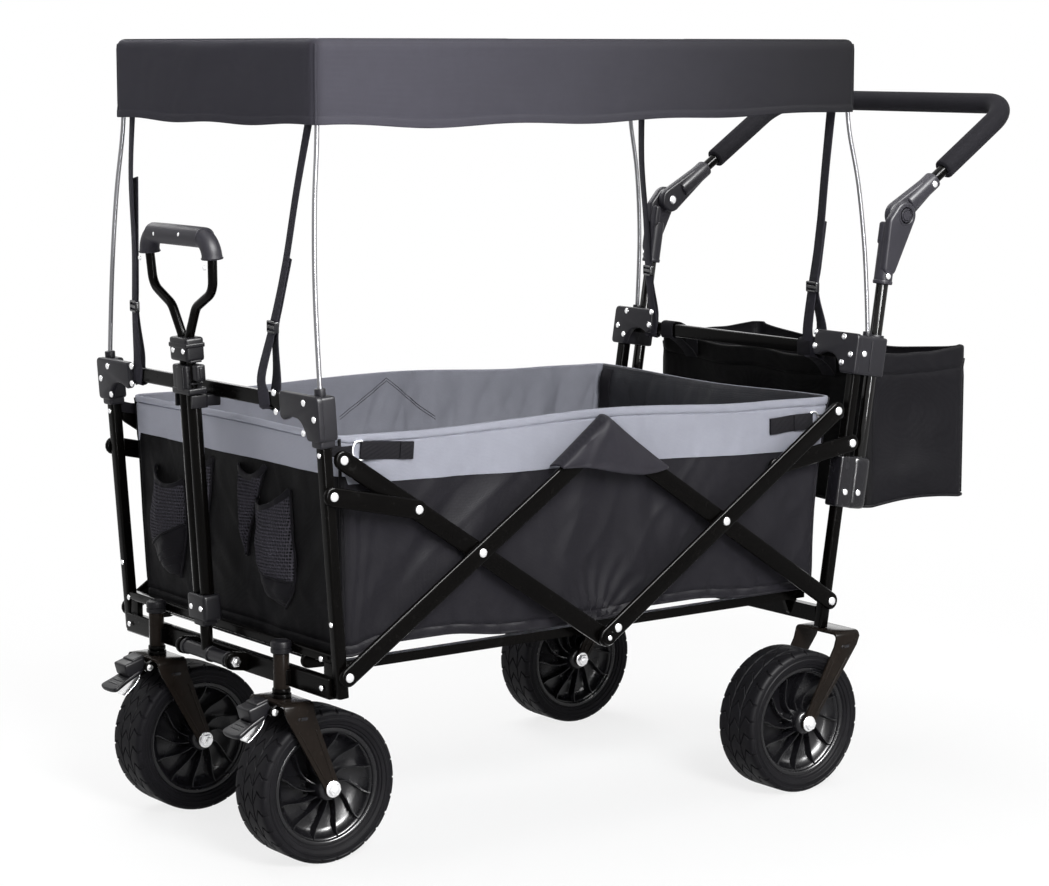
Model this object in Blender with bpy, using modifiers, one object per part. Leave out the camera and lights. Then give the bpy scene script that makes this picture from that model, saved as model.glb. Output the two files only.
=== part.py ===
"""Folding wagon with a canopy, a pull handle, a push bar and a rear bag.

Metres, +Z up, +X towards the push bar, the left side of the wagon at -Y.
Run with: blender --background --python part.py
"""

import math

import bmesh
import bpy
from mathutils import Matrix, Vector

# Clearances
FIT = 0.0003
SLIDE_FIT = 0.0005
LAYER_GAP = 0.001
EDGE = 0.0005

# Wheels, about 7.5 inch and wide
WHEEL_DIAMETER = 0.194
WHEEL_WIDTH = 0.070
AXLE_Z = 0.102
TYRE_SHOULDER = 0.0055
RIM_DIAMETER = 0.148
RIM_WIDTH = 0.058
RIM_WALL = 0.005
HUB_DIAMETER = 0.034
HUB_WIDTH = 0.074
WEB_THICKNESS = 0.022
RIB_COUNT = 12
RIB_THICKNESS = 0.0022
RIB_SWIRL = math.radians(24)
AXLE_DIAMETER = 0.009
NUT_DIAMETER = 0.017
NUT_LENGTH = 0.007
WHEEL_STEPS = 32

# Side scissors, four flat bars on each side
LOW_PIVOT_Z = 0.259
HIGH_PIVOT_Z = 0.5215
HALF_SPAN = 0.197
FOLD_TRAVEL = math.radians(36.5)
BAR_WIDTH = 0.024
BAR_THICKNESS = 0.007
BAR_INNER_Y = 0.260
LINK_REACH = 0.5185
RIVET_DIAMETER = 0.007
RIVET_HEAD_DIAMETER = 0.013
RIVET_HEAD_HEIGHT = 0.0024
RIVET_SEAT = 0.0002
RIVET_FOOT = 0.0005

# End frames
POST_SIZE = 0.015
FRONT_LEAN = math.radians(4)
REAR_LEAN = math.radians(9)
FRONT_SETBACK = 0.004
FRONT_POST_TOP = 0.302
REAR_POST_TOP = 0.325
FRONT_POST_FOOT_Z = 0.232
CROSSBAR_HEIGHT = 0.018
CROSSBAR_THICKNESS = 0.008
CROSSBAR_RISE = 0.025
CLIP_HEIGHT = 0.016
BRACKET_HEIGHT = 0.054
BRACKET_SLEEVE = 0.024
BRACKET_PLATE = 0.009
BRACKET_REACH = 0.070
BRACKET_OVERLAP = 0.014

# Lower front weldment and casters
LOW_RAIL_SIZE = 0.012
LOW_RAIL_Z = 0.2785
REAR_RAIL_HEIGHT = 0.022
REAR_RAIL_RISE = 0.018
CHANNEL_HEIGHT = 0.026
CHANNEL_DEPTH = 0.014
CHANNEL_Z = 0.2425
STEM_AHEAD = 0.023
FRONT_TRACK = 0.312
STEM_DIAMETER = 0.020
STEM_CAP_DIAMETER = 0.026
STEM_TOP_Z = 0.289
STEM_CAP_LENGTH = 0.017
STEM_FOOT_Z = 0.2225
SWIVEL_PIN_DIAMETER = 0.012
SWIVEL_PIN_REACH = 0.034
SWIVEL_BORE_DEPTH = 0.040
CASTER_TRAIL = 0.047
FORK_PLATE_TOP_Z = 0.2165
FORK_PLATE = 0.004
FORK_LEG_WIDTH = 0.042
FORK_END_DIAMETER = 0.022
FORK_SIDE_GAP = 0.0035

# Rear forks
REAR_FORK_BEHIND = 0.007
REAR_TRAIL = 0.070
REAR_FORK_TOP_Z = 0.2205

# Brake pedals
PEDAL_WIDTH = 0.034
PEDAL_AHEAD = 0.024
PEDAL_HINGE_Z = 0.205
PEDAL_REACH = 0.052
PEDAL_DROP = 0.026
PEDAL_PIN_DIAMETER = 0.005
PEDAL_EYE_DIAMETER = 0.011

# Floor frames
FLOOR_HINGE_INSET = 0.015
FLOOR_Z = 0.266
FLOOR_TUBE = 0.012
FLOOR_HALF_WIDTH_FRONT = 0.236
FLOOR_STEP_IN = 0.014
FLOOR_CROSS_AT = 0.300
FLOOR_MIDDLE_GAP = 0.010
LUG_THICKNESS = 0.006
LUG_Y = 0.190

# Body fabric
BODY_BOTTOM_Z = 0.2768
BODY_TOP_Z = 0.545
BODY_BOTTOM_HALF_WIDTH = 0.243
BODY_TOP_HALF_WIDTH = 0.2525
BODY_FRONT_BOTTOM_INSET = 0.0105
BODY_FRONT_TOP_INSET = 0.002
BODY_REAR_BOTTOM_INSET = 0.023
BODY_REAR_TOP_OUT = 0.006
FABRIC = 0.003

# Canopy and its rods
CANOPY_TOP_Z = 1.019
CANOPY_SKIRT = 0.103
CANOPY_FRONT_OUT = 0.0225
CANOPY_REAR_OUT = 0.0525
CANOPY_WIDTH = 0.489
ROD_DIAMETER = 0.006
ROD_INSET = 0.003
ROD_SOCKET_DEPTH = 0.014
REAR_ROD_OUT = 0.0155
FRONT_ROD_BOW = 0.006
REAR_ROD_BOW = 0.012

# Rear bag
BAG_BEHIND = 0.097
BAG_LENGTH = 0.196
BAG_WIDTH = 0.451
BAG_TOP_Z = 0.586
BAG_HEIGHT = 0.215

# Push bar
POLE_DIAMETER = 0.017
POLE_OUT = 0.031
POLE_FOOT = 0.138
POLE_TOP = 0.480
POLE_SLEEVE_FOOT = 0.128
POLE_SLEEVE_TOP = 0.200
KNUCKLE_BEHIND = 0.130
KNUCKLE_Z = 0.780
KNUCKLE_DIAMETER = 0.038
KNUCKLE_LAYER = 0.0135
KNUCKLE_FOOT = 0.440
KNUCKLE_FULL_TOP = 0.498
ARM_ANGLE = math.radians(34)
ARM_LENGTH = 0.266
ARM_SOCKET = 0.082
PUSH_TUBE_DIAMETER = 0.016
PUSH_CORNER_RADIUS = 0.045
GRIP_DIAMETER = 0.029
GRIP_START = 0.106
BUTTON_DIAMETER = 0.014
BUTTON_HEIGHT = 0.004

# Pull handle
HANDLE_AHEAD = 0.036
HANDLE_PIVOT_Z = 0.247
HANDLE_LEAN = math.radians(3.4)
HANDLE_BARREL_DIAMETER = 0.018
HANDLE_BARREL_HALF = 0.0575
HANDLE_PIN_DIAMETER = 0.008
HANDLE_NECK_DIAMETER = 0.015
HANDLE_BLOCK_FOOT = 0.044
HANDLE_BLOCK_TOP = 0.078
HANDLE_BLOCK_WIDTH = 0.042
HANDLE_TUBE_DIAMETER = 0.018
HANDLE_TUBE_BORE = 0.0138
HANDLE_TUBE_TOP = 0.335
COLLAR_TOP = 0.400
COLLAR_WIDTH = 0.042
COLLAR_DEPTH = 0.024
LOOP_TUBE_DIAMETER = 0.012
LOOP_FOOT = 0.095
LOOP_TOP = 0.532
LOOP_HALF_WIDTH = 0.080
LOOP_TAPER = 0.006
LOOP_BEND_DROP = 0.066
LOOP_NECK_HALF = 0.030
LOOP_NECK_RISE = 0.038
LOOP_CORNER = 0.024
PULL_GRIP_DIAMETER = 0.024
PULL_GRIP_FOOT = 0.492
RELEASE_SIZE = 0.012
RELEASE_HEIGHT = 0.020
RELEASE_AT = 0.362
RELEASE_SUNK = 0.001
RELEASE_WELL = 0.0045

# Values worked out from the dimensions above
BAR_OUTER_Y = BAR_INNER_Y + BAR_THICKNESS + LAYER_GAP
INNER_LAYER = BAR_INNER_Y + BAR_THICKNESS / 2
OUTER_LAYER = BAR_OUTER_Y + BAR_THICKNESS / 2
FRONT_POST_Y = BAR_OUTER_Y - LAYER_GAP - POST_SIZE / 2
REAR_POST_Y = BAR_INNER_Y - LAYER_GAP - POST_SIZE / 2
HALF_RISE = (HIGH_PIVOT_Z - LOW_PIVOT_Z) / 2
HALF_BAR = math.hypot(HALF_SPAN, HALF_RISE)
BAR_ANGLE = math.atan2(HALF_RISE, HALF_SPAN)
FOLDED_ANGLE = BAR_ANGLE + FOLD_TRAVEL
REAR_TRACK = 2 * REAR_POST_Y
RIVET_HOLE = RIVET_DIAMETER + 2 * SLIDE_FIT
POST_FOOT_X = 2 * HALF_SPAN
STEM_X = -POST_FOOT_X - STEM_AHEAD
REAR_FORK_TOP_X = POST_FOOT_X + REAR_FORK_BEHIND
REAR_AXLE_X = REAR_FORK_TOP_X - REAR_TRAIL
PEDAL_HINGE_X = STEM_X - PEDAL_AHEAD
FLOOR_HINGE_X = POST_FOOT_X - FLOOR_HINGE_INSET
BODY_FRONT_BOTTOM_X = -POST_FOOT_X + BODY_FRONT_BOTTOM_INSET
BODY_FRONT_TOP_X = -POST_FOOT_X + BODY_FRONT_TOP_INSET
BODY_REAR_BOTTOM_X = POST_FOOT_X - BODY_REAR_BOTTOM_INSET
BODY_REAR_TOP_X = POST_FOOT_X + BODY_REAR_TOP_OUT
CANOPY_FRONT_X = -POST_FOOT_X - CANOPY_FRONT_OUT
CANOPY_REAR_X = POST_FOOT_X + CANOPY_REAR_OUT
BAG_FRONT_X = POST_FOOT_X + BAG_BEHIND
KNUCKLE_X = POST_FOOT_X + KNUCKLE_BEHIND
HANDLE_PIVOT_X = -POST_FOOT_X - HANDLE_AHEAD
SIDES = (("left", -1), ("right", 1))


class End:
    """One leaning end of the wagon: out is away from the middle, up is along its posts."""

    def __init__(self, x, z, lean, sign):
        self.x = x
        self.z = z
        self.lean = lean * sign
        self.sign = sign

    def at(self, out, y, up):
        sine, cosine = math.sin(self.lean), math.cos(self.lean)
        along = out * self.sign
        return Vector((self.x + along * cosine + up * sine, y, self.z - along * sine + up * cosine))

    def up_at(self, z):
        return (z - self.z) / math.cos(self.lean)


FRONT = End(-POST_FOOT_X - FRONT_SETBACK, LOW_PIVOT_Z, FRONT_LEAN, -1)
REAR = End(POST_FOOT_X, LOW_PIVOT_Z, REAR_LEAN, 1)
HANDLE = End(HANDLE_PIVOT_X, HANDLE_PIVOT_Z, HANDLE_LEAN, -1)


def clear_scene():
    for obj in list(bpy.data.objects):
        bpy.data.objects.remove(obj, do_unlink=True)
    for name in ("folding_wagon", "cutters"):
        old = bpy.data.collections.get(name)
        if old:
            bpy.data.collections.remove(old)


def new_collection(name):
    collection = bpy.data.collections.new(name)
    bpy.context.scene.collection.children.link(collection)
    return collection


def material(name, colour, roughness, metallic=0.0):
    made = bpy.data.materials.new(name)
    made.use_nodes = True
    shader = made.node_tree.nodes["Principled BSDF"]
    shader.inputs["Base Color"].default_value = (*colour, 1)
    shader.inputs["Roughness"].default_value = roughness
    shader.inputs["Metallic"].default_value = metallic
    return made


clear_scene()
PARTS = new_collection("folding_wagon")
CUTTERS = new_collection("cutters")
BLACK_METAL = material("black_powder_coat", (0.012, 0.012, 0.013), 0.30, 0.6)
DARK_PLASTIC = material("dark_plastic", (0.035, 0.035, 0.040), 0.45)
RUBBER = material("tyre_rubber", (0.030, 0.030, 0.034), 0.70)
FOAM = material("grip_foam", (0.030, 0.030, 0.033), 0.85)
STEEL = material("canopy_rod_steel", (0.30, 0.30, 0.31), 0.30, 1.0)
BLACK_FABRIC = material("black_fabric", (0.030, 0.030, 0.037), 0.90)
GREY_FABRIC = material("grey_fabric", (0.16, 0.18, 0.21), 0.90)

WAGON = bpy.data.objects.new("wagon", None)
PARTS.objects.link(WAGON)


def joint(name, location, parent=WAGON):
    """An empty on a joint's axis; what moves with the joint is parented to it."""
    empty = bpy.data.objects.new(name, None)
    empty.empty_display_size = 0.03
    PARTS.objects.link(empty)
    empty.location = location
    bpy.context.view_layer.update()
    empty.parent = parent
    empty.matrix_parent_inverse = parent.matrix_world.inverted()
    return empty


def node(obj, paint, body=WAGON):
    """Keep an object as one named piece of the wagon."""
    PARTS.objects.link(obj)
    obj.data.materials.clear()
    obj.data.materials.append(paint)
    bpy.context.view_layer.update()
    obj.parent = body
    obj.matrix_parent_inverse = body.matrix_world.inverted()
    return obj


def combine(target, others, operation="UNION"):
    """Join other solids to a piece, or cut them out of it, one modifier each."""
    for index, other in enumerate(others):
        CUTTERS.objects.link(other)
        other.hide_render = True
        other.display_type = "WIRE"
        bpy.context.view_layer.update()
        other.parent = WAGON
        other.matrix_parent_inverse = WAGON.matrix_world.inverted()
        step = target.modifiers.new(f"{operation.lower()}_{index}", "BOOLEAN")
        step.operation = operation
        step.object = other
    return target


def cut(target, others):
    return combine(target, others, "DIFFERENCE")


def mesh_object(name, bm, smooth=False):
    mesh = bpy.data.meshes.new(name)
    bmesh.ops.recalc_face_normals(bm, faces=bm.faces)
    bm.to_mesh(mesh)
    bm.free()
    if smooth:
        mesh.shade_smooth()
        mesh.set_sharp_from_angle(angle=math.radians(35))
    return bpy.data.objects.new(name, mesh)


def block(name, size, centre, lean=0.0, bevel=0.0):
    """A box with its sizes along X, Y and Z, tipped about Y by lean."""
    bm = bmesh.new()
    bmesh.ops.create_cube(bm, size=1.0)
    bmesh.ops.scale(bm, vec=size, verts=bm.verts)
    obj = mesh_object(name, bm)
    obj.location = centre
    obj.rotation_euler = (0, lean, 0)
    if bevel:
        edge = obj.modifiers.new("edges", "BEVEL")
        edge.width = bevel
        edge.segments = 1
    return obj


def cylinder(name, diameter, length, centre, axis="Y", lean=0.0, steps=16, far_diameter=None):
    """A round bar along X, Y or Z; lean tips one along Z about Y."""
    bm = bmesh.new()
    far = diameter if far_diameter is None else far_diameter
    bmesh.ops.create_cone(
        bm, cap_ends=True, segments=steps, radius1=diameter / 2, radius2=far / 2, depth=length
    )
    obj = mesh_object(name, bm, smooth=True)
    obj.location = centre
    turns = {"X": (0, math.pi / 2, 0), "Y": (-math.pi / 2, 0, 0), "Z": (0, lean, 0)}
    obj.rotation_euler = turns[axis]
    return obj


def turned(name, profile, centre, side=1, steps=12, closed=False):
    """A profile of (radius, height) from top to bottom, turned about Y; side points its top."""
    mesh = bpy.data.meshes.new(name)
    edges = [(i, i + 1) for i in range(len(profile) - 1)]
    if closed:
        edges.append((len(profile) - 1, 0))
    mesh.from_pydata([(radius, 0, height) for radius, height in profile], edges, [])
    obj = bpy.data.objects.new(name, mesh)
    obj.location = centre
    obj.rotation_euler = (-side * math.pi / 2, 0, 0)
    screw = obj.modifiers.new("turn", "SCREW")
    screw.steps = steps
    screw.render_steps = steps
    screw.use_merge_vertices = True
    screw.merge_threshold = 0.0001
    screw.use_smooth_shade = True
    return obj


def solid_from_curve(name, curve):
    """The welded mesh of a filled or bevelled curve."""
    guide = bpy.data.objects.new(name, curve)
    PARTS.objects.link(guide)
    graph = bpy.context.evaluated_depsgraph_get()
    mesh = bpy.data.meshes.new_from_object(guide.evaluated_get(graph))
    bpy.data.objects.remove(guide, do_unlink=True)
    bm = bmesh.new()
    bm.from_mesh(mesh)
    bmesh.ops.remove_doubles(bm, verts=bm.verts, dist=0.00001)
    return mesh_object(name, bm, smooth=True)


def plate(name, outline, thickness, centre, holes=(), facing="Y", lean=0.0):
    """A flat plate from an outline and round holes (u, v, diameter); facing is its thin way."""
    curve = bpy.data.curves.new(name, "CURVE")
    curve.dimensions = "2D"
    curve.fill_mode = "BOTH"
    curve.extrude = thickness / 2
    loops = [outline] + [circle(u, v, size / 2) for u, v, size in holes]
    for loop in loops:
        spline = curve.splines.new("POLY")
        spline.points.add(len(loop) - 1)
        spline.use_cyclic_u = True
        for point, (u, v) in zip(spline.points, loop):
            point.co = (u, v, 0, 1)
    obj = solid_from_curve(name, curve)
    if facing == "Y":
        frame = Matrix(((1, 0, 0), (0, 0, -1), (0, 1, 0)))
    elif facing == "X":
        frame = Matrix(((0, 0, 1), (1, 0, 0), (0, 1, 0)))
    else:
        frame = Matrix.Identity(3)
    obj.data.transform(frame.to_4x4())
    obj.location = centre
    obj.rotation_euler = (0, lean, 0)
    return obj


def tube(name, points, diameter, sides=2):
    """A round tube along points, with flat ends; sides is the curve's bevel resolution."""
    curve = bpy.data.curves.new(name, "CURVE")
    curve.dimensions = "3D"
    curve.bevel_depth = diameter / 2
    curve.bevel_resolution = sides
    curve.use_fill_caps = True
    spline = curve.splines.new("POLY")
    spline.points.add(len(points) - 1)
    for point, place in zip(spline.points, points):
        point.co = (*place, 1)
    return solid_from_curve(name, curve)


def circle(u, v, radius, steps=12):
    turn = 2 * math.pi / steps
    return [(u + radius * math.cos(i * turn), v + radius * math.sin(i * turn)) for i in range(steps)]


def arc(u, v, radius, start, end, steps):
    """Points on an arc, with its angles in degrees."""
    angles = [math.radians(start + (end - start) * i / steps) for i in range(steps + 1)]
    return [(u + radius * math.cos(angle), v + radius * math.sin(angle)) for angle in angles]


def hull(points):
    """The convex outline round a set of points."""
    ordered = sorted(set(points))

    def half(run):
        kept = []
        for point in run:
            while len(kept) > 1:
                (ax, ay), (bx, by) = kept[-2], kept[-1]
                if (bx - ax) * (point[1] - ay) - (by - ay) * (point[0] - ax) > 0:
                    break
                kept.pop()
            kept.append(point)
        return kept[:-1]

    return half(ordered) + half(ordered[::-1])


def capsule(length, width, steps=6):
    """A bar's outline from (0, 0) to (length, 0) with round ends."""
    radius = width / 2
    return arc(0, 0, radius, 90, 270, steps) + arc(length, 0, radius, -90, 90, steps)


def rounded_path(points, radius, steps=5):
    """A polyline of 3D points whose inner corners are turned at the given radius."""
    path = [Vector(points[0])]
    for before, corner, after in zip(points, points[1:], points[2:]):
        corner = Vector(corner)
        back = (Vector(before) - corner).normalized()
        ahead = (Vector(after) - corner).normalized()
        opening = back.angle(ahead)
        reach = radius / math.tan(opening / 2)
        middle = corner + (back + ahead).normalized() * radius / math.sin(opening / 2)
        start = corner + back * reach - middle
        end = corner + ahead * reach - middle
        sweep = start.angle(end)
        for i in range(steps + 1):
            share = i / steps
            turn = (math.sin((1 - share) * sweep) * start + math.sin(share * sweep) * end)
            path.append(middle + turn / math.sin(sweep))
    path.append(Vector(points[-1]))
    return path


def rivet(name, x, z, side, inner_y, outer_y, inner_head=True):
    """A rivet along Y with a domed outer head and a flat inner one."""
    radius, head = RIVET_DIAMETER / 2, RIVET_HEAD_DIAMETER / 2
    profile = [
        (0, outer_y + RIVET_HEAD_HEIGHT),
        (head * 0.62, outer_y + RIVET_HEAD_HEIGHT * 0.8),
        (head, outer_y),
        (radius, outer_y - FIT),
    ]
    if inner_head:
        seat, end = inner_y - RIVET_SEAT, inner_y - RIVET_SEAT - RIVET_FOOT
        profile += [(radius, seat), (head * 0.8, seat), (head * 0.8, end), (0, end)]
    else:
        profile += [(radius, inner_y), (0, inner_y)]
    return turned(name, profile, (x, 0, z), side, steps=10)


# Wheels

def rim_mesh():
    """The rim: hub, dished web, bead seats and swirled ribs on both faces."""
    bore = AXLE_DIAMETER / 2 + SLIDE_FIT
    hub, half_hub = HUB_DIAMETER / 2, HUB_WIDTH / 2
    seat, half_rim = RIM_DIAMETER / 2, RIM_WIDTH / 2
    barrel = seat - RIM_WALL
    half_web = WEB_THICKNESS / 2
    upper = [
        (bore, half_hub),
        (hub * 0.75, half_hub),
        (hub, half_hub - 0.008),
        (hub, half_web * 0.5),
        (barrel - 0.010, half_web),
        (barrel - 0.001, half_rim - 0.005),
        (seat, half_rim),
    ]
    lower = [(radius, -height) for radius, height in reversed(upper)]
    rim = turned("rim_form", upper + lower, (0, 0, 0), steps=WHEEL_STEPS, closed=True)
    ribs = []
    for face in (1, -1):
        for index in range(RIB_COUNT):
            start = 2 * math.pi * index / RIB_COUNT
            inner, outer = hub - 0.003, barrel - 0.003
            middle = (inner + outer) / 2
            bend = start + RIB_SWIRL * 0.35 * face
            tip = start + RIB_SWIRL * face
            spine = [(inner, start), (middle, bend), (outer, tip)]
            line = [Vector((r * math.cos(a), r * math.sin(a))) for r, a in spine]
            offsets = []
            for i in range(3):
                way = (line[min(i + 1, 2)] - line[max(i - 1, 0)]).normalized()
                offsets.append(Vector((-way.y, way.x)) * RIB_THICKNESS / 2)
            outline = [tuple(p + o) for p, o in zip(line, offsets)]
            outline += [tuple(p - o) for p, o in zip(reversed(line), reversed(offsets))]
            height = half_rim - 0.008
            centre = (0, face * height / 2, 0)
            ribs.append(plate(f"rib_{face}_{index}", outline, height, centre))
    joined = bmesh.new()
    for rib in ribs:
        rib.data.transform(Matrix.Translation(rib.location))
        joined.from_mesh(rib.data)
        bpy.data.objects.remove(rib, do_unlink=True)
    combine(rim, [mesh_object("rim_ribs", joined)])
    PARTS.objects.link(rim)
    graph = bpy.context.evaluated_depsgraph_get()
    mesh = bpy.data.meshes.new_from_object(rim.evaluated_get(graph))
    mesh.transform(Matrix.Rotation(-math.pi / 2, 4, "X"))
    bpy.data.objects.remove(rim, do_unlink=True)
    mesh.shade_smooth()
    mesh.set_sharp_from_angle(angle=math.radians(35))
    return mesh


def tyre(name, centre):
    outer, half = WHEEL_DIAMETER / 2, WHEEL_WIDTH / 2
    seat, half_rim = RIM_DIAMETER / 2 + FIT, RIM_WIDTH / 2
    upper = [
        (seat, half_rim),
        (seat + 0.007, half - 0.0015),
        (outer - TYRE_SHOULDER * 1.2, half),
        (outer - TYRE_SHOULDER * 0.7, half - TYRE_SHOULDER * 0.2),
        (outer, half - TYRE_SHOULDER * 1.3),
    ]
    lower = [(radius, -height) for radius, height in reversed(upper)]
    return turned(name, upper + lower, centre, steps=WHEEL_STEPS, closed=True)


def wheel(name, centre, carrier, rim):
    body = joint(f"joint_wheel_{name}", centre, carrier)
    node(tyre(f"tyre_{name}", centre), RUBBER, body)
    obj = bpy.data.objects.new(f"rim_{name}", rim)
    obj.location = centre
    node(obj, DARK_PLASTIC, body)


def fork(name, side, track_y, top_centre_x, axle_x, plate_top_z, plate_width):
    """A bent fork: a top plate, two tapered legs, the axle and its two nuts."""
    y = side * track_y
    inside = WHEEL_WIDTH / 2 + FORK_SIDE_GAP
    leg_drop = plate_top_z - AXLE_Z
    span = 2 * (inside + FORK_PLATE)
    top = block(
        name,
        (plate_width, span + 2 * EDGE, FORK_PLATE),
        (top_centre_x, y, plate_top_z - FORK_PLATE / 2),
    )
    shift = axle_x - top_centre_x
    half = FORK_LEG_WIDTH / 2 - EDGE
    corners = [(-half, 0), (half, 0), (half, -leg_drop * 0.12), (-half, -leg_drop * 0.12)]
    outline = hull(corners + circle(shift, -leg_drop, FORK_END_DIAMETER / 2, 12))
    extras = []
    for way in (-1, 1):
        centre = (top_centre_x, y + way * (inside + FORK_PLATE / 2), plate_top_z - EDGE)
        extras.append(plate(f"{name}_leg", outline, FORK_PLATE, centre))
    axle_length = span + 0.004
    extras.append(cylinder(f"{name}_axle", AXLE_DIAMETER, axle_length, (axle_x, y, AXLE_Z)))
    for way in (-1, 1):
        centre = (axle_x, y + way * (span / 2 + NUT_LENGTH / 2 - FIT), AXLE_Z)
        extras.append(cylinder(f"{name}_nut", NUT_DIAMETER, NUT_LENGTH, centre, steps=6))
    return combine(top, extras)


# Side scissors

def bar(name, start, end, layer, side, holes=(), rivets=()):
    """A flat bar between two pivots, with holes and rivets given as shares of its length."""
    length = math.dist(start, end)
    angle = math.atan2(end[1] - start[1], end[0] - start[0])
    spots = [(length * share, 0, RIVET_HOLE) for share in holes]
    outline = capsule(length, BAR_WIDTH)
    centre = (start[0], side * layer, start[1])
    obj = plate(name, outline, BAR_THICKNESS, centre, spots, lean=-angle)
    extras = []
    for share, inner_y, outer_y in rivets:
        x = start[0] + (end[0] - start[0]) * share
        z = start[1] + (end[1] - start[1]) * share
        has_head = BAR_INNER_Y - FIT < inner_y < layer - BAR_THICKNESS / 2 - FIT
        extras.append(rivet(f"{name}_rivet", x, z, side, inner_y, outer_y, has_head))
    return combine(obj, extras)


def link_height(offset):
    """Height of the link's post pivot above the low pivot that closes it open and folded."""
    short = LINK_REACH * HALF_BAR
    long = 2 * HALF_BAR - short
    sines = math.sin(BAR_ANGLE), math.sin(FOLDED_ANGLE)
    cosines = math.cos(BAR_ANGLE), math.cos(FOLDED_ANGLE)
    squares = (long**2 - short**2) * (sines[1] ** 2 - sines[0] ** 2)
    return (squares - 2 * offset * short * (cosines[0] - cosines[1])) / (
        2 * long * (sines[1] - sines[0])
    )


def link_pivot(end):
    """The link's pivot on the post, found by letting its height and lean settle."""
    height = link_height(0)
    for _ in range(6):
        x = end.x + height * math.tan(end.lean)
        height = link_height(end.sign * (x - end.sign * 2 * HALF_SPAN))
    return end.x + height * math.tan(end.lean), LOW_PIVOT_Z + height


def scissors(fold_left, fold_right):
    """Both sides: bars A and B at the front, C and D at the rear, and the two short links."""
    low, high, middle = LOW_PIVOT_Z, HIGH_PIVOT_Z, (LOW_PIVOT_Z + HIGH_PIVOT_Z) / 2
    bar_joints = {}
    for name, side in SIDES:
        first = {"left": fold_left, "right": fold_right}[name]
        b_joint = joint(f"joint_bar_b_{name}", (-HALF_SPAN, side * INNER_LAYER, middle), first)
        c_joint = joint(f"joint_bar_c_{name}", (0, side * INNER_LAYER, high), first)
        d_joint = joint(f"joint_bar_d_{name}", (HALF_SPAN, side * OUTER_LAYER, middle), c_joint)
        bar_joints[name] = (b_joint, c_joint, d_joint)
        inner_face, outer_face = BAR_INNER_Y, BAR_OUTER_Y + BAR_THICKNESS
        front_low, top_middle = (-2 * HALF_SPAN, low), (0, high)
        front_high, low_middle = (-2 * HALF_SPAN, high), (0, low)
        rear_low, rear_high = (2 * HALF_SPAN, low), (2 * HALF_SPAN, high)
        front_post_inside = FRONT_POST_Y - POST_SIZE / 2
        rear_post_inside = REAR_POST_Y - POST_SIZE / 2
        through = [(0, front_post_inside, outer_face), (0.5, inner_face, outer_face)]
        through.append((1, inner_face, outer_face))
        bar_a = bar(f"bar_a_{name}", front_low, top_middle, OUTER_LAYER, side, rivets=through)
        node(bar_a, BLACK_METAL, first)
        top_rivet = [(0, BAR_INNER_Y + BAR_THICKNESS / 2, BAR_INNER_Y + BAR_THICKNESS)]
        bar_b = bar(
            f"bar_b_{name}", front_high, low_middle, INNER_LAYER, side, (0.5, 1), top_rivet
        )
        node(bar_b, BLACK_METAL, b_joint)
        post_rivet = [(1, rear_post_inside, BAR_INNER_Y + BAR_THICKNESS)]
        bar_c = bar(f"bar_c_{name}", top_middle, rear_low, INNER_LAYER, side, (0, 0.5), post_rivet)
        node(bar_c, BLACK_METAL, c_joint)
        both = [(0, inner_face, outer_face), (0.5, inner_face, outer_face)]
        both.append((1, BAR_OUTER_Y + BAR_THICKNESS / 2, outer_face))
        bar_d = bar(f"bar_d_{name}", low_middle, rear_high, OUTER_LAYER, side, rivets=both)
        node(bar_d, BLACK_METAL, d_joint)
    return bar_joints


def short_link(end, label, name, side, body):
    """A short link from a post to a bar; its bar end is the open pivot."""
    pivot = link_pivot(end)
    share = LINK_REACH / 2
    run = 2 * HALF_SPAN * share
    tip = (end.sign * (2 * HALF_SPAN - run), HIGH_PIVOT_Z - 2 * HALF_RISE * share)
    is_front = end.sign < 0
    layer = OUTER_LAYER if is_front else INNER_LAYER
    post_y = FRONT_POST_Y if is_front else REAR_POST_Y
    outer_face = layer + BAR_THICKNESS / 2
    moving = joint(f"joint_link_{label}_{name}", (pivot[0], side * layer, pivot[1]), body)
    rivets = [(0, post_y - POST_SIZE / 2, outer_face if is_front else outer_face - FIT)]
    if is_front:
        rivets.append((1, layer, outer_face))
    node(bar(f"link_{label}_{name}", pivot, tip, layer, side, rivets=rivets), BLACK_METAL, moving)


# End frames

def post(name, end, y, foot, top, hole_heights):
    """A square post with rivet holes; foot and top are measured along it from the low pivot."""
    centre = end.at(0, y, (foot + top) / 2)
    obj = block(name, (POST_SIZE, POST_SIZE, top - foot), centre, end.lean)
    holes = []
    for x, z in hole_heights:
        holes.append(cylinder(f"{name}_hole", RIVET_HOLE, POST_SIZE * 2, (x, y, z), steps=12))
    return cut(obj, holes)


def bracket_outline(side, height):
    """The bracket's face: a plate that narrows inboard under a hollow curve."""
    reach = BRACKET_REACH
    sleeve = BRACKET_SLEEVE / 2
    low_edge = [(-sleeve, 0), (sleeve, 0)]
    curve = arc(sleeve + 0.030, 0, 0.030, 180, 110, 4)
    tip = [(reach - 0.004, height - 0.024), (reach, height - 0.018), (reach, height - 0.004)]
    crown = [(reach - 0.004, height), (-sleeve, height)]
    points = low_edge[:1] + [low_edge[1]] + curve[1:] + tip + crown
    return [(-side * u, v) for u, v in points]


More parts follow.
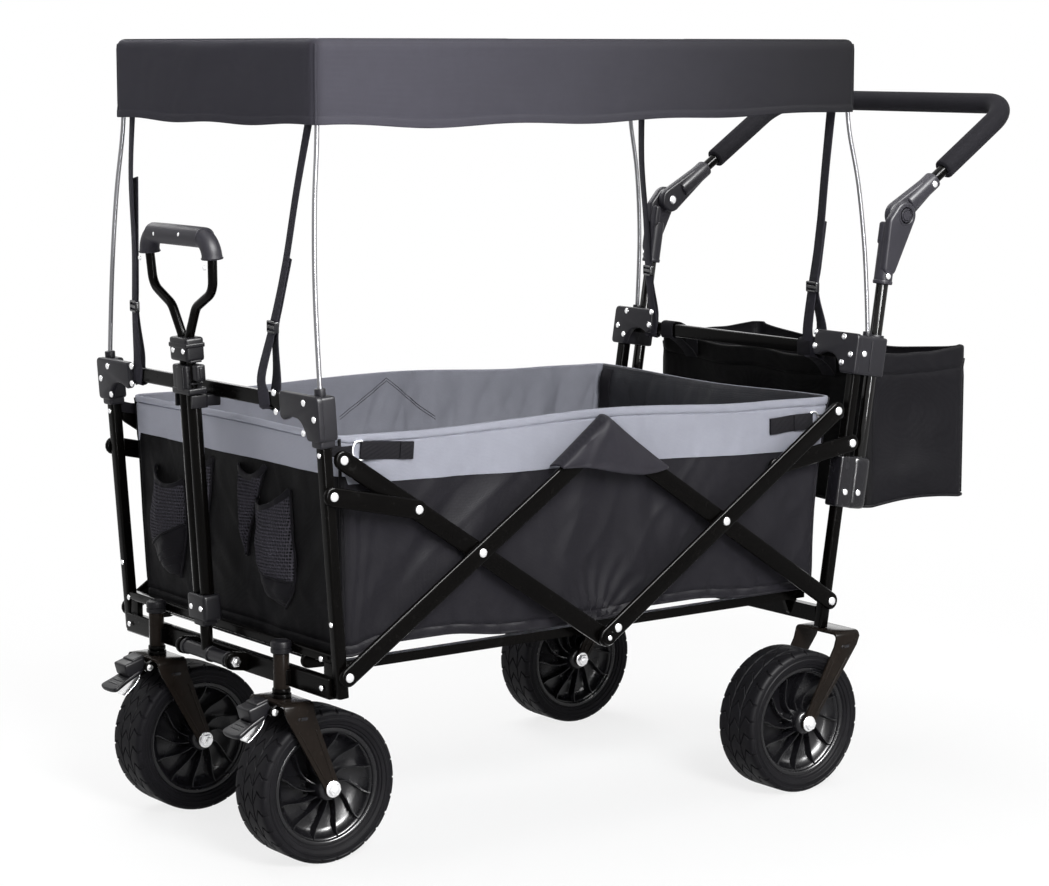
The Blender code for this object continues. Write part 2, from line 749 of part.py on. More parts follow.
def corner_bracket(label, name, side, end, post_y, post_top, body, rod_out, pole=False):
    """A moulded corner: a sleeve over the post, a face plate, a rod socket, a pole guide."""
    top = post_top + BRACKET_HEIGHT - BRACKET_OVERLAP
    foot = post_top - BRACKET_OVERLAP
    y = side * post_y
    plate_out = BRACKET_SLEEVE / 2 + 0.0015 - BRACKET_PLATE / 2
    outer_out = POLE_OUT + BRACKET_SLEEVE / 2 if pole else BRACKET_SLEEVE / 2 + 0.0015
    inner_out = BRACKET_SLEEVE / 2 + (0.0015 if pole else 0)
    width = outer_out + inner_out
    middle = (outer_out - inner_out) / 2
    obj = block(
        f"{label}_bracket_{name}",
        (width, BRACKET_SLEEVE, top - foot),
        end.at(middle, y, (top + foot) / 2),
        end.lean,
        bevel=0.002,
    )
    face = plate(
        f"{label}_bracket_face_{name}",
        bracket_outline(side, BRACKET_HEIGHT),
        BRACKET_PLATE,
        end.at(-end.sign * plate_out, y, foot),
        facing="X",
        lean=end.lean,
    )
    combine(obj, [face])
    pocket_size = POST_SIZE + 2 * FIT
    pocket = block(
        f"{label}_pocket_{name}",
        (pocket_size, pocket_size, BRACKET_OVERLAP * 2 + 2 * FIT),
        end.at(0, y, foot),
        end.lean,
    )
    socket = cylinder(
        f"{label}_socket_{name}",
        ROD_DIAMETER + 0.001,
        ROD_SOCKET_DEPTH * 2,
        end.at(rod_out, y, top),
        "Z",
        end.lean,
        steps=12,
    )
    cuts = [pocket, socket]
    if pole:
        guide = POLE_DIAMETER + 4 * FIT
        cuts.append(
            cylinder(
                f"{label}_guide_{name}", guide, 4 * BRACKET_HEIGHT, end.at(POLE_OUT, y, foot),
                "Z", end.lean, 24,
            )
        )
    cut(obj, cuts)
    return node(obj, DARK_PLASTIC, body)


def lug(name, start, pin, y, pin_hole, radius=0.010):
    """A plate in the XZ plane that carries a hinge pin."""
    step = (pin[0] - start[0], pin[1] - start[1])
    outline = hull(circle(0, 0, radius, 12) + circle(*step, radius, 12))
    return plate(name, outline, LUG_THICKNESS, (start[0], y, start[1]), [(*step, pin_hole)])


def front_frame(body):
    q_pivot = link_pivot(FRONT)
    foot = FRONT.up_at(FRONT_POST_FOOT_Z)
    holes = [(-2 * HALF_SPAN, LOW_PIVOT_Z), q_pivot]
    for name, side in SIDES:
        y = side * FRONT_POST_Y
        node(post(f"front_post_{name}", FRONT, y, foot, FRONT_POST_TOP, holes), BLACK_METAL, body)
        corner_bracket("front", name, side, FRONT, FRONT_POST_Y, FRONT_POST_TOP, body, 0)
    bar_half = FRONT_POST_Y - BRACKET_SLEEVE / 2 - FIT
    up = FRONT_POST_TOP + CROSSBAR_RISE
    out = -0.0012
    crossbar = block(
        "front_crossbar",
        (CROSSBAR_THICKNESS, 2 * bar_half, CROSSBAR_HEIGHT),
        FRONT.at(out, 0, up),
        FRONT.lean,
    )
    handle_gap = HANDLE_TUBE_DIAMETER / 2 + 0.0008
    crossbar_face = FRONT.at(out + CROSSBAR_THICKNESS / 2, 0, up)
    clip_z = crossbar_face.z - CROSSBAR_HEIGHT / 2 - CLIP_HEIGHT / 2 + 0.002
    handle_axis = HANDLE.at(0, 0, HANDLE.up_at(clip_z - CLIP_HEIGHT / 2))
    back_reach = crossbar_face.x - handle_axis.x
    clip_half = HANDLE_TUBE_DIAMETER + 0.0008
    clip = []
    web_depth = back_reach - handle_gap + 0.002
    web_x = crossbar_face.x + 0.002 - web_depth / 2
    web_size = (web_depth, 2 * clip_half + 0.008, CLIP_HEIGHT)
    clip.append(block("clip_web", web_size, (web_x, 0, clip_z)))
    for way in (-1, 1):
        arm_depth = back_reach - handle_gap + 0.016
        arm_x = crossbar_face.x + 0.002 - arm_depth / 2
        arm_y = way * (clip_half + 0.002)
        clip.append(block("clip_arm", (arm_depth, 0.004, CLIP_HEIGHT - EDGE), (arm_x, arm_y, clip_z)))
    node(combine(crossbar, clip), BLACK_METAL, body)

    rail_half = FRONT_POST_Y - POST_SIZE / 2 - FIT
    channel_x = FRONT.at(0, 0, FRONT.up_at(CHANNEL_Z)).x - 0.006
    channel = block(
        "front_lower_frame",
        (CHANNEL_DEPTH, 2 * rail_half, CHANNEL_HEIGHT),
        (channel_x, 0, CHANNEL_Z),
    )
    rail_x = FRONT.at(0, 0, FRONT.up_at(LOW_RAIL_Z)).x
    rail = block("low_rail", (LOW_RAIL_SIZE, 2 * rail_half, LOW_RAIL_SIZE), (rail_x, 0, LOW_RAIL_Z))
    extras = [rail]
    bores = []
    for name, side in SIDES:
        y = side * FRONT_TRACK / 2
        stem_height = STEM_TOP_Z - STEM_CAP_LENGTH / 2 - STEM_FOOT_Z
        stem_z = STEM_FOOT_Z + stem_height / 2
        extras.append(cylinder("stem", STEM_DIAMETER, stem_height, (STEM_X, y, stem_z), "Z"))
        cap_z = STEM_TOP_Z - STEM_CAP_LENGTH / 2
        extras.append(cylinder("stem_cap", STEM_CAP_DIAMETER, STEM_CAP_LENGTH, (STEM_X, y, cap_z), "Z"))
        tie_height = LOW_RAIL_Z - CHANNEL_Z
        tie_z = (LOW_RAIL_Z + CHANNEL_Z) / 2
        tie_y = side * (rail_half - 0.010)
        extras.append(block("tie", (0.008, 0.020, tie_height), (rail_x, tie_y, tie_z)))
        bore = SWIVEL_PIN_DIAMETER + 2 * SLIDE_FIT
        bores.append(cylinder("stem_bore", bore, 2 * SWIVEL_BORE_DEPTH, (STEM_X, y, STEM_FOOT_Z), "Z"))
        lug_start = (rail_x, FLOOR_Z + EDGE)
        hinge = (-FLOOR_HINGE_X, FLOOR_Z)
        pin_hole = FLOOR_TUBE + 2 * SLIDE_FIT
        extras.append(lug("floor_lug", lug_start, hinge, side * LUG_Y, pin_hole, 0.0098))
        handle_pin = (HANDLE_PIVOT_X, HANDLE_PIVOT_Z)
        pin_hole = HANDLE_PIN_DIAMETER + 2 * SLIDE_FIT
        lug_y = side * (HANDLE_BARREL_HALF + FIT + LUG_THICKNESS / 2)
        extras.append(lug("handle_lug", (channel_x, CHANNEL_Z), handle_pin, lug_y, pin_hole, 0.0115))
    node(cut(combine(channel, extras), bores), BLACK_METAL, body)


def rear_frame(body):
    q_pivot = link_pivot(REAR)
    foot = REAR.up_at(REAR_FORK_TOP_Z + FIT) + POST_SIZE / 2 * math.tan(REAR_LEAN)
    holes = [(2 * HALF_SPAN, LOW_PIVOT_Z), q_pivot]
    for name, side in SIDES:
        y = side * REAR_POST_Y
        node(post(f"rear_post_{name}", REAR, y, foot, REAR_POST_TOP, holes), BLACK_METAL, body)
        corner_bracket(
            "rear", name, side, REAR, REAR_POST_Y, REAR_POST_TOP, body, REAR_ROD_OUT, pole=True
        )
        fork_node = fork(
            f"rear_fork_{name}", side, REAR_POST_Y, REAR_FORK_TOP_X, REAR_AXLE_X,
            REAR_FORK_TOP_Z, FORK_LEG_WIDTH,
        )
        node(fork_node, BLACK_METAL, body)
        sleeve_depth = POLE_OUT + 0.0125 - POST_SIZE / 2 - FIT
        sleeve = block(
            f"pole_sleeve_{name}",
            (sleeve_depth, BRACKET_SLEEVE, POLE_SLEEVE_TOP - POLE_SLEEVE_FOOT),
            REAR.at(
                POST_SIZE / 2 + FIT + sleeve_depth / 2, y, (POLE_SLEEVE_TOP + POLE_SLEEVE_FOOT) / 2
            ),
            REAR.lean,
            bevel=0.002,
        )
        bore = cylinder(
            f"pole_sleeve_bore_{name}",
            POLE_DIAMETER + 4 * FIT,
            2 * (POLE_SLEEVE_TOP - POLE_FOOT + 0.002),
            REAR.at(POLE_OUT, y, POLE_SLEEVE_TOP),
            "Z",
            REAR.lean,
            24,
        )
        node(cut(sleeve, [bore]), DARK_PLASTIC, body)
    bar_half = REAR_POST_Y - BRACKET_SLEEVE / 2 - FIT
    crossbar = block(
        "rear_crossbar",
        (CROSSBAR_THICKNESS, 2 * bar_half, CROSSBAR_HEIGHT),
        REAR.at(0.0012, 0, REAR_POST_TOP + CROSSBAR_RISE - 0.010),
        REAR.lean,
    )
    node(crossbar, BLACK_METAL, body)
    rail_half = REAR_POST_Y - POST_SIZE / 2 - FIT
    rail_z = REAR_FORK_TOP_Z + REAR_RAIL_RISE
    rail_x = REAR.at(0, 0, REAR.up_at(rail_z)).x
    rail_size = (LOW_RAIL_SIZE, 2 * rail_half, REAR_RAIL_HEIGHT)
    rail = block("rear_lower_rail", rail_size, (rail_x, 0, rail_z))
    lugs = []
    for name, side in SIDES:
        hinge = (FLOOR_HINGE_X, FLOOR_Z)
        pin_hole = FLOOR_TUBE + 2 * SLIDE_FIT
        lugs.append(lug("rear_lug", (rail_x, rail_z), hinge, side * LUG_Y, pin_hole, 0.0098))
    node(combine(rail, lugs), BLACK_METAL, body)


def floor_frame(label, sign, half_width, body):
    """Half of the folding floor: two rails, a hinge tube and a cross tube, one weldment."""
    moving = joint(f"joint_floor_{label}", (sign * FLOOR_HINGE_X, 0, FLOOR_Z), body)
    length = FLOOR_HINGE_X - FLOOR_MIDDLE_GAP / 2
    size = FLOOR_TUBE
    steps = []
    for way in (-1, 1):
        centre = (sign * (FLOOR_HINGE_X - length / 2), way * half_width, FLOOR_Z)
        steps.append(block(f"floor_rail_{label}", (length, size, size), centre))
    cross_x = sign * (FLOOR_HINGE_X - FLOOR_CROSS_AT)
    steps.append(block("floor_cross", (size, 2 * half_width, size * 0.8), (cross_x, 0, FLOOR_Z)))
    hinge_tube = cylinder(
        f"floor_frame_{label}", size, 2 * half_width, (sign * FLOOR_HINGE_X, 0, FLOOR_Z), steps=12
    )
    node(combine(hinge_tube, steps), BLACK_METAL, moving)


# Casters

def caster(name, side, body, rim):
    """A swivel caster with its fork, wheel and brake pedal."""
    y = side * FRONT_TRACK / 2
    swivel = joint(f"joint_caster_{name}", (STEM_X, y, STEM_FOOT_Z), body)
    axle_x = STEM_X + CASTER_TRAIL
    label = f"caster_fork_{name}"
    obj = fork(label, side, FRONT_TRACK / 2, STEM_X, axle_x, FORK_PLATE_TOP_Z, FORK_LEG_WIDTH)
    collar_length = STEM_FOOT_Z - FIT - FORK_PLATE_TOP_Z
    collar_z = FORK_PLATE_TOP_Z + collar_length / 2 - 0.0005
    extras = [
        cylinder(f"{label}_collar", STEM_DIAMETER, collar_length + 0.001, (STEM_X, y, collar_z), "Z")
    ]
    pin_length = SWIVEL_PIN_REACH + FORK_PLATE / 2
    pin_z = STEM_FOOT_Z + SWIVEL_PIN_REACH - pin_length / 2
    extras.append(cylinder(f"{label}_pin", SWIVEL_PIN_DIAMETER, pin_length, (STEM_X, y, pin_z), "Z"))
    plate_edge = (STEM_X - FORK_LEG_WIDTH / 2 + 0.006, FORK_PLATE_TOP_Z - 0.006 - EDGE)
    ear_hole = PEDAL_PIN_DIAMETER + 2 * SLIDE_FIT
    for way in (-1, 1):
        ear_y = y + way * (PEDAL_WIDTH / 2 + FIT + LUG_THICKNESS / 2)
        hinge = (PEDAL_HINGE_X, PEDAL_HINGE_Z)
        extras.append(lug(f"{label}_ear", plate_edge, hinge, ear_y, ear_hole, 0.006))
    node(combine(obj, extras), BLACK_METAL, swivel)

    pedal_joint = joint(f"joint_pedal_{name}", (PEDAL_HINGE_X, y, PEDAL_HINGE_Z), swivel)
    pedal_name = f"brake_pedal_{name}"
    tilt = math.atan2(PEDAL_DROP, PEDAL_REACH)
    tread = block(
        pedal_name,
        (PEDAL_REACH, PEDAL_WIDTH, 0.007),
        (PEDAL_HINGE_X - PEDAL_REACH / 2, y, PEDAL_HINGE_Z - PEDAL_DROP / 2 - 0.001),
        -tilt,
        bevel=0.0015,
    )
    top_block = block(
        f"{pedal_name}_block",
        (0.030, PEDAL_WIDTH - 0.004, 0.014),
        (PEDAL_HINGE_X - 0.016, y, PEDAL_HINGE_Z + 0.001),
        -tilt * 0.6,
        bevel=0.002,
    )
    hinge = (PEDAL_HINGE_X, y, PEDAL_HINGE_Z)
    eye = cylinder(f"{pedal_name}_eye", PEDAL_EYE_DIAMETER, PEDAL_WIDTH, hinge, steps=12)
    pin_length = PEDAL_WIDTH + 2 * (LUG_THICKNESS + FIT)
    pin = cylinder(f"{pedal_name}_pin", PEDAL_PIN_DIAMETER, pin_length, hinge, steps=12)
    node(combine(tread, [top_block, eye, pin]), DARK_PLASTIC, pedal_joint)
    wheel(f"front_{name}", (axle_x, y, AXLE_Z), swivel, rim)


# Soft parts

def open_box(name, bottom, top, wall, open_top):
    """A fabric shell from two rectangles (x0, x1, half_width, z), open at one of them."""
    bm = bmesh.new()
    bmesh.ops.create_cube(bm, size=1.0)
    for vert in bm.verts:
        x0, x1, half, z = top if vert.co.z > 0 else bottom
        vert.co = Vector((x1 if vert.co.x > 0 else x0, half if vert.co.y > 0 else -half, z))
    way = 1 if open_top else -1
    lids = [face for face in bm.faces if face.normal.z * way > 0.9]
    bmesh.ops.delete(bm, geom=lids, context="FACES")
    mesh = bpy.data.meshes.new(name)
    bm.to_mesh(mesh)
    bm.free()
    obj = bpy.data.objects.new(name, mesh)
    shell = obj.modifiers.new("wall", "SOLIDIFY")
    shell.thickness = wall
    shell.offset = -1
    shell.use_even_offset = True
    return obj


def body_fabric(body):
    bottom = (BODY_FRONT_BOTTOM_X, BODY_REAR_BOTTOM_X, BODY_BOTTOM_HALF_WIDTH, BODY_BOTTOM_Z)
    top = (BODY_FRONT_TOP_X, BODY_REAR_TOP_X, BODY_TOP_HALF_WIDTH, BODY_TOP_Z)
    node(open_box("body_fabric", bottom, top, FABRIC, True), GREY_FABRIC, body)


def canopy(body):
    half = CANOPY_WIDTH / 2
    skirt = (CANOPY_FRONT_X, CANOPY_REAR_X, half, CANOPY_TOP_Z - CANOPY_SKIRT)
    top = (CANOPY_FRONT_X, CANOPY_REAR_X, half, CANOPY_TOP_Z)
    node(open_box("canopy", skirt, top, FABRIC, False), BLACK_FABRIC, body)


def rear_bag(body):
    half = BAG_WIDTH / 2
    ends = (BAG_FRONT_X, BAG_FRONT_X + BAG_LENGTH, half)
    bottom = (*ends, BAG_TOP_Z - BAG_HEIGHT)
    node(open_box("rear_bag", bottom, (*ends, BAG_TOP_Z), FABRIC, True), BLACK_FABRIC, body)


def canopy_hoop(name, end, rod_out, post_y, post_top, canopy_x, bow, body):
    """A rod up from each corner bracket, joined across under the canopy."""
    top = post_top + BRACKET_HEIGHT - BRACKET_OVERLAP
    seat = top - ROD_SOCKET_DEPTH + FIT
    inset = ROD_DIAMETER / 2 + FABRIC + ROD_INSET
    hoop_z = CANOPY_TOP_Z - FABRIC - ROD_DIAMETER / 2 - 0.002
    hoop_x = canopy_x - end.sign * inset
    hoop_y = CANOPY_WIDTH / 2 - inset
    skirt_z = CANOPY_TOP_Z - CANOPY_SKIRT
    half = []
    for share, bulge in ((0.0, 0.0), (0.12, 0.25), (0.4, 1.0), (0.7, 0.9), (0.92, 0.2)):
        base = end.at(rod_out, post_y, seat)
        lift = min(share, 1.0)
        z = base.z + (skirt_z - base.z) * lift
        straight_x = base.x + (hoop_x - base.x) * lift
        straight_y = base.y + (hoop_y - base.y) * lift
        if share == 0.12:
            socket_top = end.at(rod_out, post_y, top + 0.004)
            straight_x, straight_y, z, bulge = socket_top.x, socket_top.y, socket_top.z, 0.0
        half.append((straight_x + end.sign * bow * bulge, straight_y, z))
    half.append((hoop_x, hoop_y, skirt_z + 0.012))
    corners = [(x, -y, z) for x, y, z in half]
    corners.append((hoop_x, -hoop_y, hoop_z))
    corners.append((hoop_x, hoop_y, hoop_z))
    corners += reversed(half)
    bend = rounded_path(corners[len(half) - 1:len(half) + 3], 0.022, 4)
    path = corners[:len(half) - 1] + bend + corners[len(half) + 3:]
    node(tube(name, path, ROD_DIAMETER, 1), STEEL, body)


# Pull handle

def handle_point(y, up):
    return HANDLE.at(0, y, up)


def pull_handle(body):
    swing = joint("joint_pull_handle", (HANDLE_PIVOT_X, 0, HANDLE_PIVOT_Z), body)
    pivot = (HANDLE_PIVOT_X, 0, HANDLE_PIVOT_Z)
    barrel = cylinder("handle_base", HANDLE_BARREL_DIAMETER, 2 * HANDLE_BARREL_HALF, pivot)
    pin_length = 2 * (HANDLE_BARREL_HALF + LUG_THICKNESS + 0.008)
    pin = cylinder("handle_pin", HANDLE_PIN_DIAMETER, pin_length, pivot, steps=12)
    heads = []
    for way in (-1, 1):
        head_y = way * (pin_length / 2)
        centre = (HANDLE_PIVOT_X, head_y, HANDLE_PIVOT_Z)
        heads.append(cylinder("handle_pin_head", 0.015, 0.006, centre, steps=12))
    neck_length = HANDLE_BLOCK_FOOT + 0.004
    neck = cylinder(
        "handle_neck", HANDLE_NECK_DIAMETER, neck_length, handle_point(0, neck_length / 2),
        "Z", HANDLE.lean,
    )
    tube_span = HANDLE_TUBE_DIAMETER
    block_height = HANDLE_BLOCK_TOP - HANDLE_BLOCK_FOOT
    foot_block = block(
        "handle_foot_block",
        (COLLAR_DEPTH, HANDLE_BLOCK_WIDTH, block_height),
        handle_point(0, (HANDLE_BLOCK_TOP + HANDLE_BLOCK_FOOT) / 2),
        HANDLE.lean,
        bevel=0.002,
    )
    node(combine(barrel, [pin, *heads, neck, foot_block]), BLACK_METAL, swing)

    outer_foot = HANDLE_BLOCK_TOP + FIT
    outer_length = HANDLE_TUBE_TOP + 0.002 - outer_foot
    outer_middle = outer_foot + outer_length / 2
    halves = []
    bores = []
    legs_y = tube_span / 2 - 0.0004
    for way in (-1, 1):
        centre = handle_point(way * legs_y, outer_middle)
        halves.append(
            cylinder("handle_outer_tubes", HANDLE_TUBE_DIAMETER, outer_length, centre, "Z", HANDLE.lean)
        )
        bore_length = COLLAR_TOP - HANDLE_BLOCK_TOP + 0.04
        bore_centre = handle_point(way * legs_y, (COLLAR_TOP + HANDLE_BLOCK_TOP) / 2)
        bores.append(
            cylinder("handle_bore", HANDLE_TUBE_BORE, bore_length, bore_centre, "Z", HANDLE.lean)
        )
    collar = block(
        "handle_collar",
        (COLLAR_DEPTH, COLLAR_WIDTH, COLLAR_TOP - HANDLE_TUBE_TOP),
        handle_point(0, (COLLAR_TOP + HANDLE_TUBE_TOP) / 2),
        HANDLE.lean,
        bevel=0.002,
    )
    well = block(
        "release_well",
        (RELEASE_SIZE + 2 * SLIDE_FIT, 2 * RELEASE_WELL, RELEASE_HEIGHT + 2 * SLIDE_FIT),
        handle_point(-COLLAR_WIDTH / 2, RELEASE_AT),
        HANDLE.lean,
    )
    node(cut(combine(halves[0], [*halves[1:], collar]), [*bores, well]), BLACK_METAL, swing)

    release_y = -(COLLAR_WIDTH / 2 - RELEASE_SUNK + RELEASE_SIZE / 2)
    press = joint("joint_handle_release", handle_point(release_y, RELEASE_AT), swing)
    release = block(
        "handle_release",
        (RELEASE_SIZE, RELEASE_SIZE, RELEASE_HEIGHT),
        handle_point(release_y, RELEASE_AT),
        HANDLE.lean,
        bevel=0.001,
    )
    node(release, DARK_PLASTIC, press)

    slide = joint("joint_handle_slide", handle_point(0, COLLAR_TOP), swing)
    shoulder = COLLAR_TOP + 0.006
    right = [(legs_y, LOOP_FOOT), (legs_y, shoulder)]
    right.append((LOOP_NECK_HALF, shoulder + LOOP_NECK_RISE))
    right.append((LOOP_HALF_WIDTH - LOOP_TAPER, LOOP_TOP - LOOP_BEND_DROP))
    right.append((LOOP_HALF_WIDTH, LOOP_TOP))
    whole = right + [(-y, up) for y, up in reversed(right)]
    plan = rounded_path([(0, y, up) for y, up in whole], LOOP_CORNER, 4)
    path = [handle_point(point.y, point.z) for point in plan]
    node(tube("handle_loop", path, LOOP_TUBE_DIAMETER, 2), BLACK_METAL, slide)

    grip_plan = [point for point in plan if point.z > PULL_GRIP_FOOT]
    grip_line = [handle_point(point.y, point.z) for point in grip_plan]
    low_way = (grip_line[0] - grip_line[1]).normalized() * 0.006
    high_way = (grip_line[-1] - grip_line[-2]).normalized() * 0.006
    longer = [grip_line[0] + low_way] + grip_line + [grip_line[-1] + high_way]
    grip = tube("handle_grip", grip_line, PULL_GRIP_DIAMETER, 3)
    bore = tube("handle_grip_bore", longer, LOOP_TUBE_DIAMETER + 0.0018, 2)
    node(cut(grip, [bore]), DARK_PLASTIC, slide)


# Push bar

def push_bar(body):
    slide = joint("joint_push_slide", REAR.at(POLE_OUT, 0, REAR_POST_TOP), body)
    tilt = joint("joint_push_tilt", (KNUCKLE_X, 0, KNUCKLE_Z), slide)
    outer_face = REAR_POST_Y + KNUCKLE_LAYER
    arm_y = REAR_POST_Y - KNUCKLE_LAYER / 2
    knuckle_up = (KNUCKLE_Z - REAR.z - POLE_OUT * math.sin(REAR_LEAN) * -1) / math.cos(REAR_LEAN)
    ends = {}
    for name, side in SIDES:
        y = side * REAR_POST_Y
        pole_length = POLE_TOP - POLE_FOOT
        pole_centre = REAR.at(POLE_OUT, y, (POLE_TOP + POLE_FOOT) / 2)
        pole = cylinder(
            f"push_pole_{name}", POLE_DIAMETER, pole_length, pole_centre, "Z", REAR.lean
        )
        node(pole, BLACK_METAL, slide)
        top_centre = REAR.at(POLE_OUT, 0, knuckle_up - 0.012)
        foot_centre = REAR.at(POLE_OUT, 0, KNUCKLE_FOOT)
        full_top = REAR.at(POLE_OUT, 0, KNUCKLE_FULL_TOP)
        full_height = KNUCKLE_FULL_TOP - KNUCKLE_FOOT
        housing = block(
            f"push_knuckle_{name}",
            (0.025, 2 * KNUCKLE_LAYER, full_height),
            ((foot_centre.x + full_top.x) / 2, y, (foot_centre.z + full_top.z) / 2),
            REAR.lean,
            bevel=0.003,
        )
        spots = circle(0, 0, KNUCKLE_DIAMETER / 2, 16)
        low_end = (foot_centre.x - KNUCKLE_X + 0.001, foot_centre.z - KNUCKLE_Z + 0.0125)
        high_end = (top_centre.x - KNUCKLE_X, top_centre.z - KNUCKLE_Z)
        spots += circle(*low_end, 0.0125, 12) + circle(*high_end, 0.0125, 12)
        cheek_y = side * (REAR_POST_Y + FIT + (KNUCKLE_LAYER - FIT) / 2)
        cheek = plate("cheek", hull(spots), KNUCKLE_LAYER - FIT, (KNUCKLE_X, cheek_y, KNUCKLE_Z))
        pole_bore = cylinder(
            "pole_bore", POLE_DIAMETER + 4 * FIT, 2 * (POLE_TOP - KNUCKLE_FOOT + FIT),
            REAR.at(POLE_OUT, y, KNUCKLE_FOOT), "Z", REAR.lean, 24,
        )
        button_well = cylinder(
            "button_well", BUTTON_DIAMETER + 2 * SLIDE_FIT, 0.012,
            (KNUCKLE_X, side * outer_face, KNUCKLE_Z),
        )
        node(cut(combine(housing, [cheek]), [pole_bore, button_well]), DARK_PLASTIC, slide)
        press = joint(f"joint_knuckle_button_{name}", (KNUCKLE_X, side * outer_face, KNUCKLE_Z), slide)
        button_length = BUTTON_HEIGHT + 0.002
        button_y = side * (outer_face - 0.002 + button_length / 2)
        button = cylinder(
            f"knuckle_button_{name}", BUTTON_DIAMETER, button_length, (KNUCKLE_X, button_y, KNUCKLE_Z)
        )
        node(button, DARK_PLASTIC, press)
        ends[name] = side * arm_y

    def along(distance, y):
        return Vector((
            KNUCKLE_X + distance * math.cos(ARM_ANGLE), y, KNUCKLE_Z + distance * math.sin(ARM_ANGLE)
        ))

    start = 0.045
    corners = [along(start, -arm_y), along(ARM_LENGTH, -arm_y), along(ARM_LENGTH, arm_y)]
    corners.append(along(start, arm_y))
    path = rounded_path(corners, PUSH_CORNER_RADIUS, 5)
    bar_tube = tube("push_bar", path, PUSH_TUBE_DIAMETER, 2)
    arms = []
    for name, y in ends.items():
        thickness = KNUCKLE_LAYER - FIT
        disc = circle(0, 0, KNUCKLE_DIAMETER / 2 - 0.001, 16)
        tip = circle(ARM_SOCKET - 0.010, 0, 0.010, 12)
        side = math.copysign(1, y)
        centre = (KNUCKLE_X, side * (REAR_POST_Y - FIT - thickness / 2), KNUCKLE_Z)
        arms.append(plate("push_arm", hull(disc + tip), thickness, centre, lean=-ARM_ANGLE))
        arms.append(
            tube("push_arm_barrel", [along(0.030, y), along(ARM_SOCKET, y)], 0.021, 3)
        )
    node(combine(bar_tube, arms), BLACK_METAL, tilt)

    grip_corners = [along(GRIP_START, -arm_y), *corners[1:3], along(GRIP_START, arm_y)]
    bore_corners = [along(GRIP_START - 0.02, -arm_y), *corners[1:3], along(GRIP_START - 0.02, arm_y)]
    grip = tube("push_grip", rounded_path(grip_corners, PUSH_CORNER_RADIUS, 5), GRIP_DIAMETER, 3)
    bore = tube(
        "push_grip_bore", rounded_path(bore_corners, PUSH_CORNER_RADIUS, 5),
        PUSH_TUBE_DIAMETER + 0.002, 2,
    )
    node(cut(grip, [bore]), FOAM, tilt)


def stand_on_origin():
    """Move the whole wagon so that its origin is the middle of its footprint, on the floor."""
    bpy.context.view_layer.update()
    graph = bpy.context.evaluated_depsgraph_get()
    low, high, floor = math.inf, -math.inf, math.inf
    for obj in PARTS.objects:
        if obj.type != "MESH":
            continue
        shape = obj.evaluated_get(graph)
        for vert in shape.data.vertices:
            spot = shape.matrix_world @ vert.co
            low, high, floor = min(low, spot.x), max(high, spot.x), min(floor, spot.z)
    WAGON.location = (-(low + high) / 2, 0, -floor)
    bpy.context.view_layer.update()


def main():
    middle_high = (0, 0, HIGH_PIVOT_Z)
    fold_left = joint("joint_fold_left", (-2 * HALF_SPAN, -OUTER_LAYER, LOW_PIVOT_Z))
    fold_right = joint("joint_fold_right", (-2 * HALF_SPAN, OUTER_LAYER, LOW_PIVOT_Z))
    bar_joints = scissors(fold_left, fold_right)
    rear = joint("joint_rear_frame", (2 * HALF_SPAN, 0, LOW_PIVOT_Z), bar_joints["left"][1])
    front_frame(WAGON)
    rear_frame(rear)
    for name, side in SIDES:
        short_link(FRONT, "front", name, side, WAGON)
        short_link(REAR, "rear", name, side, rear)
    floor_frame("front", -1, FLOOR_HALF_WIDTH_FRONT, WAGON)
    floor_frame("rear", 1, FLOOR_HALF_WIDTH_FRONT - FLOOR_STEP_IN, rear)
    rim = rim_mesh()
    for name, side in SIDES:
        caster(name, side, WAGON, rim)
        wheel(f"rear_{name}", (REAR_AXLE_X, side * REAR_POST_Y, AXLE_Z), rear, rim)
    body_fabric(WAGON)
    canopy(WAGON)
    rear_bag(rear)
    front_rod = (0, FRONT_POST_Y, FRONT_POST_TOP, CANOPY_FRONT_X, FRONT_ROD_BOW)
    rear_rod = (REAR_ROD_OUT, REAR_POST_Y, REAR_POST_TOP, CANOPY_REAR_X, REAR_ROD_BOW)
    canopy_hoop("canopy_hoop_front", FRONT, *front_rod, WAGON)
    canopy_hoop("canopy_hoop_rear", REAR, *rear_rod, rear)
    pull_handle(WAGON)
    push_bar(rear)
    stand_on_origin()


main()
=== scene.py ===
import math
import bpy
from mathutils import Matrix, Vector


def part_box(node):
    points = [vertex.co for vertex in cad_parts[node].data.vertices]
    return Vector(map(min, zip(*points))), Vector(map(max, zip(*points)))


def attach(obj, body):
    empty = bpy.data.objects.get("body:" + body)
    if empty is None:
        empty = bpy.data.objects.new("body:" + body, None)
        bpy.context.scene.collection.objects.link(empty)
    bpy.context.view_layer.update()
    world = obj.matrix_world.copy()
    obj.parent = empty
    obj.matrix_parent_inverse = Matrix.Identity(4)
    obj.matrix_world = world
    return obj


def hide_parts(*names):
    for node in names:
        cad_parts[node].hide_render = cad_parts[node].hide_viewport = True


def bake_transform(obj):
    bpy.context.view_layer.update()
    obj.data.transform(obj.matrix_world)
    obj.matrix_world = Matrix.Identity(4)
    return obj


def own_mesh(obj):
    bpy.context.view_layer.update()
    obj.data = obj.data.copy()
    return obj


bl_info = {
    "name": "Folding Wagon",
    "version": (1, 0, 0),
    "blender": (4, 5, 0),
    "location": "View3D > Sidebar > Wagon",
    "description": "Dresses a folding wagon with a canopy, a rear bag and a push bar",
    "category": "Object",
}

import bmesh
import bpy
from bpy.props import FloatProperty, FloatVectorProperty, IntProperty, PointerProperty
from mathutils import Matrix, Vector, noise
from mathutils.bvhtree import BVHTree

